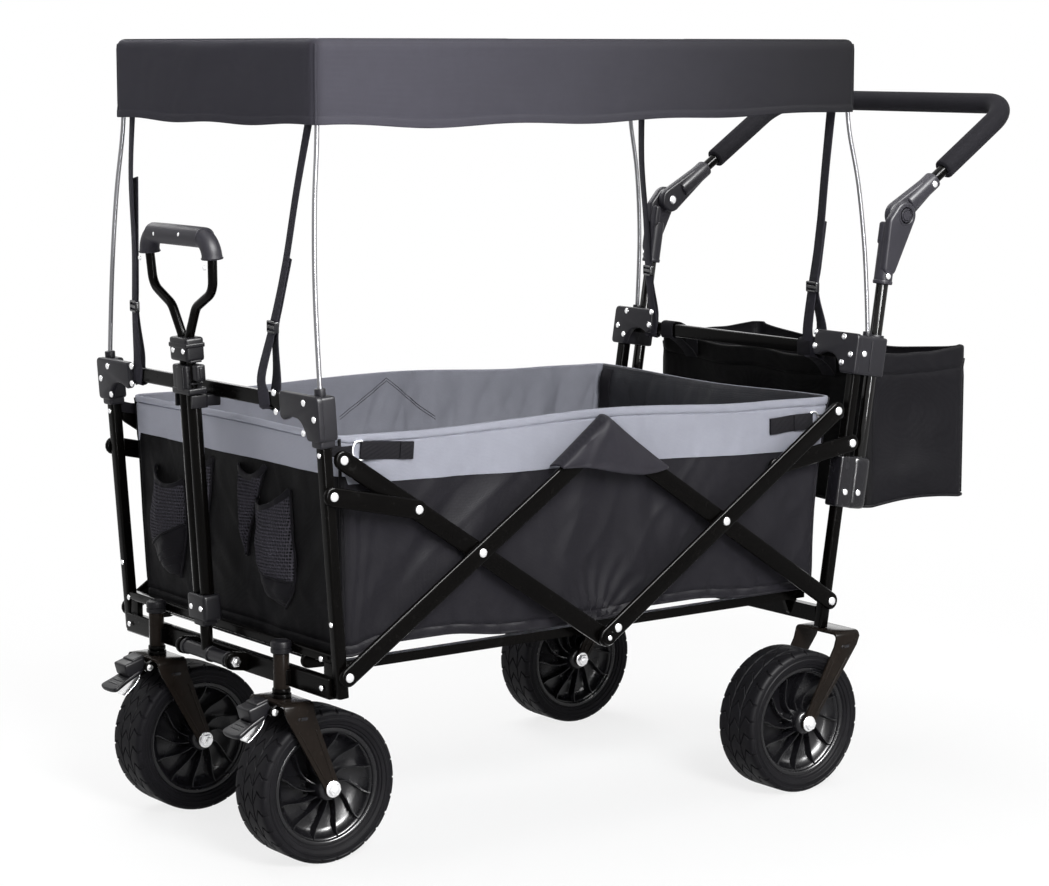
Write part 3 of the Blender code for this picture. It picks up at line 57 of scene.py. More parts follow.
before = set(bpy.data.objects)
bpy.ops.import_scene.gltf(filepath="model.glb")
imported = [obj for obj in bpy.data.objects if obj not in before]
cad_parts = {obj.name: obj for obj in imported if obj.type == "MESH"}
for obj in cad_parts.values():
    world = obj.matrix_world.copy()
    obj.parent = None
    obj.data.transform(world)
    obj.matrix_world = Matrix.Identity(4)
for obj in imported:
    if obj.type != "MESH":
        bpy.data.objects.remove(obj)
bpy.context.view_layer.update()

# The wagon's drawing has its origin on the ground under the scissors' middle.
SCISSOR_X = (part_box("bar_a_left")[1].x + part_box("bar_c_left")[0].x) / 2
GROUND_Z = -0.005

SIDES = (("left", -1), ("right", 1))
LOW, HIGH, SPAN = 0.259, 0.5215, 0.394
INNER_LAYER, OUTER_LAYER = 0.2635, 0.2715
BAR_WIDTH, BAR_THICKNESS = 0.024, 0.007
# Each short link runs from its post to a point this share of the way down the bar beside it.
LINK_SHARE = 0.25925
FRONT_LINK_PIN, REAR_LINK_PIN = (-0.41348, 0.48036), (0.42803, 0.47386)
POST = 0.015
FRONT_POST_Y, REAR_POST_Y = 0.2595, 0.2515
FRONT_TOP, REAR_TOP = 0.302, 0.325
BRACKET_HEIGHT, BRACKET_OVERLAP = 0.054, 0.014
AXLE_Z = 0.102
STEM_X, FRONT_AXLE_X = -0.417, -0.370
REAR_FORK_X, REAR_AXLE_X = 0.401, 0.331
CASTER_Y = 0.156
FORK_TOP = {"front": 0.2165, "rear": 0.2205}
PEDAL_PIN = (-0.441, 0.205)
POLE_OUT, SLEEVE_UP = 0.031, 0.164
KNUCKLE = (0.524, 0.780)
ARM_ANGLE = math.radians(34)


def here(x, y, z):
    """A point of the wagon's drawing in the row frame."""
    return Vector((x + SCISSOR_X, y, z + GROUND_Z))


class End:
    """A leaning end of the wagon: out is away from the middle, up is along its posts."""

    def __init__(self, x, z, lean, sign):
        self.x, self.z, self.lean, self.sign = x, z, math.radians(lean) * sign, sign

    def at(self, out, y, up):
        sine, cosine = math.sin(self.lean), math.cos(self.lean)
        along = out * self.sign
        return here(self.x + along * cosine + up * sine, y, self.z - along * sine + up * cosine)

    def turn(self):
        return Matrix.Rotation(self.lean, 4, "Y")

    def way(self, x, y, z):
        """A direction that leans with this end."""
        return self.turn().to_3x3() @ Vector((x, y, z))

    def block(self, name, size, out, y, up, edge, finish):
        """A moulded block that leans with this end."""
        return soft_box(name, size, self.at(out, y, up), self.turn(), edge, finish)


FRONT = End(-0.398, LOW, 4, -1)
REAR = End(0.394, LOW, 9, 1)
HANDLE = End(-0.430, 0.247, 3.4, -1)
FORWARD = Vector((-1, 0, 0))
STRAIGHT = Matrix.Identity(4)


# Shader maths

class Signal:
    """A shader value that adds and multiplies like a number."""

    def __init__(self, nodes, socket):
        self.nodes, self.socket = nodes, socket

    def maths(self, operation, *values):
        return self.nodes.node("ShaderNodeMath", {"operation": operation}, dict(enumerate(values)))

    def __add__(self, other):
        return self.maths("ADD", self, other)

    def __sub__(self, other):
        return self.maths("SUBTRACT", self, other)

    def __rsub__(self, other):
        return self.maths("SUBTRACT", other, self)

    def __mul__(self, other):
        return self.maths("MULTIPLY", self, other)

    def __pow__(self, other):
        return self.maths("POWER", self, other)

    __radd__ = __add__
    __rmul__ = __mul__

    def sine(self):
        return self.maths("SINE", self)

    def above(self, edge, soft=0.02):
        """0 below an edge and 1 above it, with a soft step."""
        return self.nodes.node(
            "ShaderNodeMapRange",
            {"interpolation_type": "SMOOTHSTEP"},
            {0: self, 1: edge - soft, 2: edge + soft, 3: 0.0, 4: 1.0},
        )


class Nodes:
    """The node tree of a finish, of the floor or of the studio's world."""

    def __init__(self, owner):
        owner.use_nodes = True
        self.tree = owner.node_tree

    def node(self, kind, settings=None, values=None, output=0):
        made = self.tree.nodes.new(kind)
        for key, value in (settings or {}).items():
            setattr(made, key, value)
        for key, value in (values or {}).items():
            if isinstance(value, Signal):
                self.tree.links.new(value.socket, made.inputs[key])
            else:
                made.inputs[key].default_value = value
        return Signal(self, made.outputs[output]) if made.outputs else None

    def seen_or_mirrored(self):
        """1 for the camera, mirror and glass rays that look at the background."""
        total = self.node("ShaderNodeLightPath", output="Is Camera Ray")
        rays = total.socket.node.outputs
        for name in ("Is Glossy Ray", "Is Transmission Ray"):
            total = total.maths("MAXIMUM", total, Signal(self, rays[name]))
        return total


class Finish(Nodes):
    """One of the wagon's finishes: colour, gloss and fine relief from nodes."""

    def __init__(self, name, fixed=None):
        self.material = bpy.data.materials.new(name)
        super().__init__(self.material)
        self.shader = self.tree.nodes["Principled BSDF"]
        for socket, value in (fixed or {}).items():
            self.shader.inputs[socket].default_value = value
        self.place = self.node("ShaderNodeTexCoord", output="Object")

    def noise(self, scale, detail=2.0, stretch=None, rough=0.5):
        place = self.place
        if stretch:
            place = self.node("ShaderNodeMapping", None, {"Vector": place, "Scale": stretch})
        return self.node(
            "ShaderNodeTexNoise", None,
            {"Vector": place, "Scale": scale, "Detail": detail, "Roughness": rough},
        )

    def cells(self, scale):
        return self.node("ShaderNodeTexVoronoi", None, {"Vector": self.place, "Scale": scale})

    def axis(self, name):
        return self.node("ShaderNodeSeparateXYZ", None, {0: self.place}, "XYZ".index(name))

    def blend(self, first, second, mask):
        return self.node(
            "ShaderNodeMix", {"data_type": "RGBA", "clamp_factor": True},
            {0: mask, 6: shade(first), 7: shade(second)}, 2,
        )

    def show(self, socket, signal):
        self.tree.links.new(signal.socket, self.shader.inputs[socket])

    def relief(self, height, depth):
        bump = self.node("ShaderNodeBump", None, {"Height": height, "Distance": depth})
        self.show("Normal", bump)


def shade(colour):
    if isinstance(colour, Signal):
        return colour
    return (*colour[:3], 1.0)


def scaled(colour, share):
    return tuple(channel * share for channel in colour[:3])


def weave(finish, pitch):
    """Over and under threads along whichever two axes the cloth runs."""
    turns = 2 * math.pi / pitch
    x, y, z = ((finish.axis(name) * turns).sine() for name in "XYZ")
    return x * z + x * y + y * z


def fine_cloth(name, colour, roughness, sheen, creases=0.004, pitch=0.0016, painted_rear_shade=1.0, front=None):
    """Woven cloth with a mottle, soft creases and a sheen.

    Its share for the rear end is painted shade, darkening it towards its rear end along X; front is (place
    along X, share), painted shade or painted light that makes the front panel darker or lighter."""
    depth = 0.00012
    finish = Finish(name, {
        "Roughness": roughness, "Sheen Weight": sheen, "Sheen Roughness": 0.4,
        "Specular IOR Level": 0.04,
    })
    mottle = finish.noise(9.0, 4.0) * 0.55 + finish.noise(60.0, 2.0) * 0.45
    threads = weave(finish, pitch)
    slub = finish.noise(420.0, 1.0, (1.0, 1.0, 6.0))
    mask = mottle * 0.5 + threads * 0.10 + slub * 0.22 + 0.12
    # The second colour is the cloth at the rear end's share: painted shade for its rear end.
    cloth, painted_shade_rear_end = (
        finish.blend(scaled(colour, 0.72 * share), scaled(colour, 1.26 * share), mask)
        for share in (1.0, painted_rear_shade)
    )
    # Painted shade: the cloth's colour darkens towards its rear end along X, standing in for light that falls
    # off there.
    if painted_rear_shade != 1.0:
        cloth = finish.blend(cloth, painted_shade_rear_end, finish.axis("X").above(-0.08, 0.48))
    # Painted shade or painted light: the front panel, ahead of front[0] along X, takes the colour times
    # front[1], darker or lighter for how the light falls on the front.
    if front:
        cloth = finish.blend(scaled(colour, front[1]), cloth, finish.axis("X").above(front[0], 0.012))
    finish.show("Base Color", cloth)
    finish.show("Roughness", roughness - 0.1 + mottle * 0.2)
    loose = finish.noise(6.5, 3.0, (1.0, 1.0, 0.6), 0.55)
    finish.relief(threads * 0.5 + slub * 0.6 + loose * (creases / depth), depth)
    return finish.material


def metal_paint(name, colour, roughness, gloss=0.0):
    """Powder coat: dark face on, bright where the light grazes it, and dulled in patches."""
    finish = Finish(name, {"Coat Roughness": 0.11, "Coat IOR": 1.8, "Specular IOR Level": 0.045})
    patches = finish.noise(14.0, 5.0)
    grain = finish.noise(520.0, 2.0)
    rubbed = finish.noise(110.0, 3.0).above(0.66, 0.05)
    grazing = finish.node("ShaderNodeLayerWeight", None, {"Blend": 0.5}, 1).above(0.72, 0.10)
    finish.show("Base Color", finish.blend(colour, scaled(colour, 2.4), patches * 0.5 + rubbed * 0.35))
    finish.show("Roughness", patches * 0.16 + rubbed * 0.10 + roughness - 0.08)
    finish.show("Coat Weight", grazing * (1.0 - patches * 0.3) + gloss)
    finish.relief(grain * 0.6 + patches * 0.4, 0.00006)
    return finish.material


def moulded(name, colour, roughness, depth=0.00007, shine=0.14):
    """Moulded plastic with a fine spark-eroded grain."""
    finish = Finish(name, {"Specular IOR Level": shine})
    grain = finish.cells(900.0)
    patches = finish.noise(18.0, 4.0)
    scuff = finish.noise(150.0, 4.0, (1.0, 1.0, 0.3)).above(0.68, 0.04)
    finish.show("Base Color", finish.blend(colour, scaled(colour, 1.7), patches * 0.45 + scuff * 0.3))
    finish.show("Roughness", patches * 0.18 + scuff * 0.08 + roughness - 0.09)
    finish.relief(grain * 0.7 + patches * 0.3, depth)
    return finish.material


def tyre_rubber(name, colour):
    """Hard foam rubber with dust in random patches."""
    finish = Finish(name, {"Specular IOR Level": 0.05})
    dust = finish.noise(30.0, 6.0, rough=0.65)
    pits = finish.noise(700.0, 2.0)
    finish.show("Base Color", finish.blend(scaled(colour, 0.8), scaled(colour, 1.9), dust ** 1.6))
    finish.show("Roughness", dust * 0.22 + 0.42)
    finish.relief(pits * 0.6 + dust * 0.4, 0.00012)
    return finish.material


def foam(name, colour):
    """Closed-cell foam with open pores at its skin."""
    finish = Finish(name, {"Specular IOR Level": 0.03, "Sheen Weight": 0.03, "Sheen Roughness": 0.5})
    pores = finish.cells(620.0)
    patches = finish.noise(25.0, 3.0)
    mask = patches * 0.6 + pores * 0.4
    finish.show("Base Color", finish.blend(scaled(colour, 0.8), scaled(colour, 1.5), mask))
    finish.show("Roughness", 0.95 - pores * 0.25)
    finish.relief(pores, 0.00035)
    return finish.material


def bright_metal(name, colour, roughness, stretch):
    """Plated steel with fine draw marks."""
    finish = Finish(name)
    marks = finish.noise(160.0, 3.0, stretch)
    finish.show("Metallic", 1.0 - marks * 0.08)
    finish.show("Base Color", finish.blend(scaled(colour, 0.85), colour, marks))
    finish.show("Roughness", marks * 0.12 + roughness - 0.04)
    finish.relief(marks, 0.00003)
    return finish.material


def webbing(name, colour, pitch=0.0016):
    """Woven strap: ribs across it and a herringbone of threads."""
    finish = Finish(name, {"Sheen Weight": 0.03, "Sheen Roughness": 0.4, "Specular IOR Level": 0.04})
    turns = 2 * math.pi / pitch
    ribs = (finish.axis("Z") * turns + finish.axis("X") * turns * 0.25).sine()
    slub = finish.noise(300.0, 2.0)
    mask = ribs * 0.25 + slub * 0.6 + 0.1
    finish.show("Base Color", finish.blend(scaled(colour, 0.7), scaled(colour, 1.5), mask))
    finish.show("Roughness", slub * 0.2 + 0.68)
    finish.relief(ribs + slub * 0.5, 0.00025)
    return finish.material


def netting(name, colour, pitch):
    """Open net: round holes between knitted threads."""
    finish = Finish(name, {"Specular IOR Level": 0.1})
    turns = 2 * math.pi / pitch
    across = (finish.axis("Y") * turns + finish.axis("Z") * turns * 0.5).sine()
    down = (finish.axis("Y") * turns * -1.0 + finish.axis("Z") * turns * 0.5).sine()
    holes = (across * down).above(0.30, 0.10)
    slub = finish.noise(400.0, 2.0)
    finish.show("Base Color", finish.blend(scaled(colour, 0.7), scaled(colour, 1.6), slub))
    finish.show("Roughness", slub * 0.2 + 0.65)
    finish.show("Alpha", 1.0 - holes)
    finish.relief(across + down, 0.0002)
    return finish.material


FINISHES = {}


def make_finishes(look):
    def grey(share):
        return scaled(look.grey_cloth, share)

    def black(share):
        return scaled(look.black_cloth, share)

    def grained(share):
        return scaled(look.plastic, share)

    FINISHES.update(
        coat=metal_paint("glossy_black_coat", look.coat, 0.21),
        pole_coat=metal_paint("mirror_black_coat", look.coat, 0.16, 0.22),
        fork_coat=metal_paint("bronze_black_coat", look.fork, 0.27),
        plastic=moulded("satin_grey_plastic", look.plastic, 0.46),
        gloss_plastic=moulded("glossy_black_plastic", grained(0.35), 0.26, 0.00002, 0.24),
        corner_plastic=moulded("dark_corner_plastic", grained(0.55), 0.42),
        black_plastic=moulded("black_fitting_plastic", grained(0.27), 0.38),
        rim_plastic=moulded("glossy_rim_plastic", grained(0.20), 0.27, 0.00003, 0.26),
        pale_plastic=moulded("grey_knuckle_plastic", grained(1.2), 0.40),
        rubber=tyre_rubber("tyre_rubber_dusty", scaled(look.rubber, 0.66)),
        foam=foam("grip_foam_porous", grained(0.52)),
        rod=bright_metal("grey_rod_steel", look.rod, 0.30, (1.0, 1.0, 0.04)),
        rivet=bright_metal("bright_rivets", (0.86, 0.86, 0.87), 0.26, None),
        # Painted light: the band's front panel is painted 1.35 times lighter than the rest of the band.
        band=fine_cloth("grey_oxford_cloth", grey(0.88), 0.80, 0.03, 0.009, front=(-0.522, 1.35)),
        lining=fine_cloth("grey_lining_cloth", grey(0.67), 0.62, 0.02, 0.020),
        # Painted shade: a darker copy of the lining for the inside of the rear wall, where it falls in shade.
        dark_lining=fine_cloth("rear_lining_painted_shade_cloth", grey(0.08), 0.50, 0.02, 0.020),
        # Painted shade: the black front panel is painted at 0.14 of the walls' colour.
        black=fine_cloth("black_oxford_cloth", look.black_cloth, 0.50, 0.03, 0.015, front=(-0.514, 0.14)),
        pocket=fine_cloth("black_pocket_cloth", black(0.55), 0.50, 0.05, 0.006),
        # Painted shade: the bag's front wall is painted at 0.10 of its colour.
        bag=fine_cloth("black_bag_cloth", black(0.60), 0.50, 0.02, 0.010, front=(0.368, 0.10)),
        # Painted shade: the canopy darkens towards its rear end to 0.14 of its colour, and its front skirt is
        # painted at 0.54.
        canopy=fine_cloth(
            "charcoal_canopy_cloth", scaled(look.canopy_cloth, 1.14), 0.70, 0.04, pitch=0.0014,
            painted_rear_shade=0.14, front=(-0.545, 0.54),
        ),
        strap=webbing("charcoal_webbing", scaled(look.canopy_cloth, 0.7)),
        flap=fine_cloth("charcoal_flap_cloth", black(1.75), 0.50, 0.05, 0.006),
        tab=webbing("black_webbing", black(0.8)),
        net=netting("black_pocket_net", black(2.0), 0.0042),
    )


# Mesh helpers

def shown(name, mesh, finish, sharp=38):
    """A piece from its mesh: in its finish, and smooth between edges sharper than an angle."""
    obj = bpy.data.objects.new(name, mesh)
    bpy.context.scene.collection.objects.link(obj)
    mesh.materials.clear()
    mesh.materials.append(FINISHES[finish])
    mesh.shade_smooth()
    mesh.set_sharp_from_angle(angle=math.radians(sharp))
    return obj


def new_piece(name, points, faces, finish, sharp=38):
    mesh = bpy.data.meshes.new(name)
    mesh.from_pydata([tuple(point) for point in points], [], faces)
    mesh.validate()
    return shown(name, mesh, finish, sharp)


def faced_outward(mesh, weld=None):
    """Turn a mesh's faces outward, its doubled points welded first if asked."""
    bm = bmesh.new()
    bm.from_mesh(mesh)
    if weld:
        bmesh.ops.remove_doubles(bm, verts=bm.verts, dist=weld)
    bmesh.ops.recalc_face_normals(bm, faces=bm.faces)
    bm.to_mesh(mesh)
    bm.free()


def thickened(obj, thickness, offset=-1):
    """Cloth given its thickness."""
    thick = obj.modifiers.new("cloth", "SOLIDIFY")
    thick.thickness = thickness
    thick.offset = offset
    return applied(obj)


def applied(obj):
    """The object with its modifiers applied."""
    graph = bpy.context.evaluated_depsgraph_get()
    mesh = bpy.data.meshes.new_from_object(obj.evaluated_get(graph))
    obj.modifiers.clear()
    obj.data = mesh
    return obj


def joined(name, pieces):
    """One object from several, in the order given."""
    first = pieces[0]
    with bpy.context.temp_override(
        active_object=first, object=first, selected_editable_objects=pieces, selected_objects=pieces
    ):
        if len(pieces) > 1:
            bpy.ops.object.join()
    first.name = name
    return first


def placed(obj, body, slot_name, *stands_for):
    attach(obj, body)
    if stands_for:
        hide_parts(*stands_for)
    return obj


def circle(radius, steps, x=0.0, y=0.0):
    turn = 2 * math.pi / steps
    return [(x + radius * math.cos(i * turn), y + radius * math.sin(i * turn)) for i in range(steps)]


def rounded_box(width, height, radius, steps=4):
    """The outline of a rectangle with round corners, about its middle."""
    points = []
    for corner, (sx, sy) in enumerate(((1, 1), (-1, 1), (-1, -1), (1, -1))):
        for i in range(steps + 1):
            angle = math.radians(90 * (corner + i / steps))
            points.append((
                sx * (width / 2 - radius) + radius * math.cos(angle),
                sy * (height / 2 - radius) + radius * math.sin(angle),
            ))
    return points


def smooth_outline(corners, radius, steps=4):
    """A flat outline with each of its corners turned at a radius; (u, v) or (u, v, own radius)."""
    result = []
    count = len(corners)
    for i, corner in enumerate(corners):
        own = corner[2] if len(corner) > 2 else radius
        here_2d = Vector(corner[:2])
        before, after = Vector(corners[i - 1][:2]), Vector(corners[(i + 1) % count][:2])
        back, ahead = (before - here_2d), (after - here_2d)
        reach = min(own, back.length * 0.48, ahead.length * 0.48)
        start = here_2d + back.normalized() * reach
        end = here_2d + ahead.normalized() * reach
        for j in range(steps + 1):
            t = j / steps
            result.append(tuple((1 - t) ** 2 * start + 2 * t * (1 - t) * here_2d + t * t * end))
    return result


def slab(name, loops, thickness, bevel, finish, matrix):
    """A plate with rounded edges from flat outlines, the later ones being holes."""
    curve = bpy.data.curves.new(name, "CURVE")
    curve.dimensions = "2D"
    curve.fill_mode = "BOTH"
    curve.extrude = thickness / 2 - bevel
    curve.bevel_depth = bevel
    curve.bevel_resolution = 2
    curve.offset = -bevel
    for loop in loops:
        spline = curve.splines.new("POLY")
        spline.points.add(len(loop) - 1)
        spline.use_cyclic_u = True
        for point, (u, v) in zip(spline.points, loop):
            point.co = (u, v, 0, 1)
    guide = bpy.data.objects.new(name, curve)
    bpy.context.scene.collection.objects.link(guide)
    graph = bpy.context.evaluated_depsgraph_get()
    mesh = bpy.data.meshes.new_from_object(guide.evaluated_get(graph))
    bpy.data.objects.remove(guide, do_unlink=True)
    faced_outward(mesh, 0.00001)
    mesh.transform(matrix)
    return shown(name, mesh, finish)


# For a plate drawn flat: stood up to face the wagon's side or its front
FACING_SIDE = Matrix(((1, 0, 0, 0), (0, 0, -1, 0), (0, 1, 0, 0), (0, 0, 0, 1)))
FACING_FRONT = Matrix(((0, 0, 1, 0), (1, 0, 0, 0), (0, 1, 0, 0), (0, 0, 0, 1)))


def frames_along(path, closed, up):
    """At each point of a path, the two directions across it."""
    points = [Vector(point) for point in path]
    count = len(points)
    ways = []
    for i in range(count):
        before = points[i - 1] if closed or i else points[i]
        after = points[(i + 1) % count] if closed or i < count - 1 else points[i]
        ways.append((after - before).normalized())
    side = ways[0].cross(Vector(up) if up else Vector((0.31, 0.17, 0.93))).normalized()
    frames = []
    for i, way in enumerate(ways):
        if up:
            fresh = way.cross(Vector(up))
            side = fresh.normalized() if fresh.length > 0.02 else side
        side = (side - way * side.dot(way)).normalized()
        frames.append((points[i], side, side.cross(way)))
    return frames


def sweep(name, path, outline, finish, up=None, closed=False, scale=None, ends=0.0, sharp=38):
    """An outline of (across, up) carried along a path; ends rounds its two ends."""
    frames = frames_along(path, closed, up)
    widest = max(math.hypot(u, v) for u, v in outline)

    def level(index, shift=0.0, shrink=1.0):
        point, side, lift = frames[index]
        size = (scale(index / (len(frames) - 1)) if scale else 1.0) * shrink
        way = side.cross(lift) * -1.0
        return [point + way * shift + (side * u + lift * v) * size for u, v in outline]

    levels = [level(i) for i in range(len(frames))]
    if ends and not closed:
        last = len(frames) - 1
        start_way = (frames[1][0] - frames[0][0]).normalized()
        turn = 1.0 if (frames[0][1].cross(frames[0][2]) * -1.0).dot(start_way) > 0 else -1.0
        head, tail = [], []
        for angle in (90, 60, 30, 0):
            turned_in = math.radians(angle)
            shrink = 1 - (1 - math.cos(turned_in)) * ends / widest
            back = ends * (1 - math.sin(turned_in)) * turn
            head.append(level(0, back, shrink))
            tail.insert(0, level(last, -back, shrink))
        levels = head + levels[1:-1] + tail
    return lofted(name, levels, finish, closed, sharp=sharp)


def lofted(name, levels, finish, closed=False, capped=True, sharp=38, ring=True):
    """A skin over rings of points; ring joins each level's ends, closed joins the last level."""
    size = len(levels[0])
    points = [point for level in levels for point in level]
    faces = []
    spans = len(levels) if closed else len(levels) - 1
    for i in range(spans):
        low, high = i * size, ((i + 1) % len(levels)) * size
        for j in range(size if ring else size - 1):
            k = (j + 1) % size
            faces.append((low + j, low + k, high + k, high + j))
    if capped and not closed:
        faces.append(tuple(range(size))[::-1])
        faces.append(tuple((len(levels) - 1) * size + j for j in range(size)))
    obj = new_piece(name, points, faces, finish, sharp)
    faced_outward(obj.data)
    return obj


def turned(name, profile, centre, finish, way=(0, -1, 0), steps=48, sharp=38):
    """A profile of (radius, height) turned about a line through centre; height runs along way."""
    way = Vector(way).normalized()
    side = way.orthogonal().normalized()
    if abs(way.y) > 0.9:
        side = Vector((1, 0, 0))
    lift = way.cross(side)
    centre = Vector(centre)
    levels = []
    for radius, height in profile:
        ring = []
        for i in range(steps):
            angle = 2 * math.pi * i / steps
            ring.append(centre + way * height
                        + (side * math.cos(angle) + lift * math.sin(angle)) * max(radius, 0.0001))
        levels.append(ring)
    return lofted(name, levels, finish, sharp=sharp)


def rod(name, start, end, radius, finish, bevel=0.0012, steps=24):
    """A straight round bar with softened ends."""
    start, end = Vector(start), Vector(end)
    length = (end - start).length
    profile = [(radius - bevel, 0), (radius - bevel * 0.3, bevel * 0.3), (radius, bevel)]
    profile += [(radius, length - bevel), (radius - bevel * 0.3, length - bevel * 0.3)]
    profile.append((radius - bevel, length))
    return turned(name, profile, start, finish, end - start, steps)


def dome(name, centre, way, radius, height, finish="rivet"):
    """A rivet's domed head on a surface at centre."""
    profile = [(radius, -0.0004), (radius, height * 0.25)]
    for angle in (20, 40, 60, 80):
        turn = math.radians(angle)
        profile.append((radius * math.cos(turn), height * (0.25 + 0.75 * math.sin(turn))))
    profile.append((0, height))
    return turned(name, profile, centre, finish, way, 20)


def soft_box(name, size, centre, turn, radius, finish):
    """A moulded block with round edges, its sizes along X, Y and Z before it is turned."""
    bm = bmesh.new()
    bmesh.ops.create_cube(bm, size=1.0)
    bmesh.ops.scale(bm, vec=size, verts=bm.verts)
    bmesh.ops.bevel(bm, geom=bm.edges[:], offset=radius, segments=3, profile=0.6, affect="EDGES")
    bmesh.ops.transform(bm, matrix=Matrix.Translation(centre) @ turn, verts=bm.verts)
    mesh = bpy.data.meshes.new(name)
    bm.to_mesh(mesh)
    bm.free()
    return shown(name, mesh, finish)


def rounded_path(points, radius, steps=5):
    """A polyline whose inner corners are turned at a radius."""
    path = [Vector(points[0])]
    for before, corner, after in zip(points, points[1:], points[2:]):
        corner = Vector(corner)
        back = (Vector(before) - corner).normalized()
        ahead = (Vector(after) - corner).normalized()
        opening = back.angle(ahead)
        reach = radius / math.tan(opening / 2)
        middle = corner + (back + ahead).normalized() * radius / math.sin(opening / 2)
        start = corner + back * reach - middle
        end = corner + ahead * reach - middle
        arc = start.angle(end)
        for i in range(steps + 1):
            share = i / steps
            turn = math.sin((1 - share) * arc) * start + math.sin(share * arc) * end
            path.append(middle + turn / math.sin(arc))
    path.append(Vector(points[-1]))
    return path


def curve_through(points, steps=8):
    """A smooth line through points, with steps between each two."""
    points = [Vector(point) for point in points]
    line = []
    for i in range(len(points) - 1):
        a = points[max(i - 1, 0)]
        b, c = points[i], points[i + 1]
        d = points[min(i + 2, len(points) - 1)]
        for j in range(steps):
            t = j / steps
            line.append(0.5 * ((2 * b) + (c - a) * t + (2 * a - 5 * b + 4 * c - d) * t * t
                               + (3 * b - a - 3 * c + d) * t ** 3))
    line.append(points[-1])
    return line


def spaced(line, least):
    """A closed line without the points that all but touch the one before."""
    return [point for i, point in enumerate(line) if (point - line[i - 1]).length > least]


def ripple(x, y, z, scale, seed=0.0):
    """Smooth noise between about -1 and 1."""
    return noise.noise(Vector((x * scale + seed, y * scale, z * scale)))


# Side scissors

def capsule(start, end, radius, steps=8):
    """The outline of a flat bar between two pivots."""
    angle = math.atan2(end[1] - start[1], end[0] - start[0])
    outline = []
    for (x, z), first in ((start, 90), (end, -90)):
        for i in range(steps + 1):
            turn = angle + math.radians(first + 180 * i / steps)
            outline.append((x + radius * math.cos(turn), z + radius * math.sin(turn)))
    return outline


def flat_bar(name, start, end, side, layer, sizes):
    """One bar of the scissors between two pivots."""
    matrix = Matrix.Translation(here(0, side * layer, 0)) @ FACING_SIDE
    outline = capsule(start, end, BAR_WIDTH / 2)
    return slab(name, [outline], BAR_THICKNESS, sizes.bar_edge, "coat", matrix)


def side_rivet(name, x, z, side, layer, sizes):
    face = here(x, side * (layer + BAR_THICKNESS / 2), z)
    return dome(name, face, (0, side, 0), sizes.rivet / 2, 0.0028)


def side_scissors(sizes):
    """Four bars and two short links on each side, with their rivets and the low middle pin."""
    middle = (LOW + HIGH) / 2
    link_x, link_z = SPAN * (1 - LINK_SHARE), HIGH - (HIGH - LOW) * LINK_SHARE
    for name, side in SIDES:
        places = {
            "bar_a": ((-SPAN, LOW), (0, HIGH), OUTER_LAYER),
            "bar_b": ((-SPAN, HIGH), (0, LOW), INNER_LAYER),
            "bar_c": ((0, HIGH), (SPAN, LOW), INNER_LAYER),
            "bar_d": ((0, LOW), (SPAN, HIGH), OUTER_LAYER),
            "link_front": (FRONT_LINK_PIN, (-link_x, link_z), OUTER_LAYER),
            "link_rear": (REAR_LINK_PIN, (link_x, link_z), INNER_LAYER),
        }
        rivets = {
            "bar_a": [places["bar_a"][0], (-SPAN / 2, middle), (0, HIGH)],
            "bar_b": [places["bar_b"][0]],
            "bar_c": [places["bar_c"][1]],
            "bar_d": [(0, LOW), (SPAN / 2, middle), (SPAN, HIGH), (0.016, LOW + 0.011)],
            "link_front": [FRONT_LINK_PIN, (-link_x, link_z)],
            "link_rear": [REAR_LINK_PIN],
        }
        for part, (start, end, layer) in places.items():
            node = f"{part}_{name}"
            bar = flat_bar(f"{node}_strip", start, end, side, layer, sizes)
            placed(bar, node, "black_powder_coat", node)
            heads = [side_rivet("head", x, z, side, layer, sizes) for x, z in rivets[part]]
            placed(joined(f"{node}_rivets", heads), node, "black_powder_coat")
        low_pin = here(0, side * (OUTER_LAYER + BAR_THICKNESS / 2), LOW)
        profile = [(0.0095, -0.0004), (0.0095, 0.003), (0.0083, 0.0046), (0.0052, 0.0046)]
        profile += [(0.0045, 0.0036), (0, 0.0036)]
        pin = turned(f"low_pin_{name}", profile, low_pin, "coat", (0, side, 0), 32)
        eye = dome("eye", low_pin + Vector((0, side * 0.0036, 0)), (0, side, 0), 0.0032, 0.0014)
        placed(joined(f"low_pin_{name}", [pin, eye]), f"bar_d_{name}", "black_powder_coat")


# End frames

def square_tube(name, start, end, width, depth, radius, finish, up=(0, 1, 0)):
    """A straight tube with round corners between two points."""
    outline = rounded_box(width, depth, radius)
    return sweep(name, [start, (Vector(start) + Vector(end)) / 2, end], outline, finish, up, ends=0.001)


def bar_middle(end):
    """The middle of an end's crossbar."""
    up = FRONT_TOP + 0.025 if end is FRONT else REAR_TOP + 0.015
    return end.at(0.0012 * end.sign, 0, up)


def crossbar_tube(name, end, post_y):
    """The flat tube between an end's two corners."""
    middle, reach = bar_middle(end), Vector((0, post_y - 0.014, 0))
    return square_tube(name, middle - reach, middle + reach, 0.009, 0.019, 0.0028, "coat", (0, 0, 1))


def bracket_face(side, end, out, foot, y):
    """The bracket's face plate: a rounded plate with an arm over a hollow curve."""
    corners = [
        (-0.0145, 0.000, 0.006), (0.0145, 0.000, 0.004), (0.0185, 0.012, 0.010),
        (0.029, 0.0245, 0.012), (0.050, 0.0265, 0.010), (0.0655, 0.0195, 0.006),
        (0.0725, 0.0235, 0.005), (0.0725, 0.0555, 0.006), (-0.0145, 0.0555, 0.008),
    ]
    outline = [(-side * u, v) for u, v in smooth_outline(corners, 0.006)]
    if side > 0:
        outline.reverse()
    matrix = Matrix.Translation(end.at(out, y, foot)) @ end.turn() @ FACING_FRONT
    return slab("face", [outline], 0.009, 0.0022, "corner_plastic", matrix)


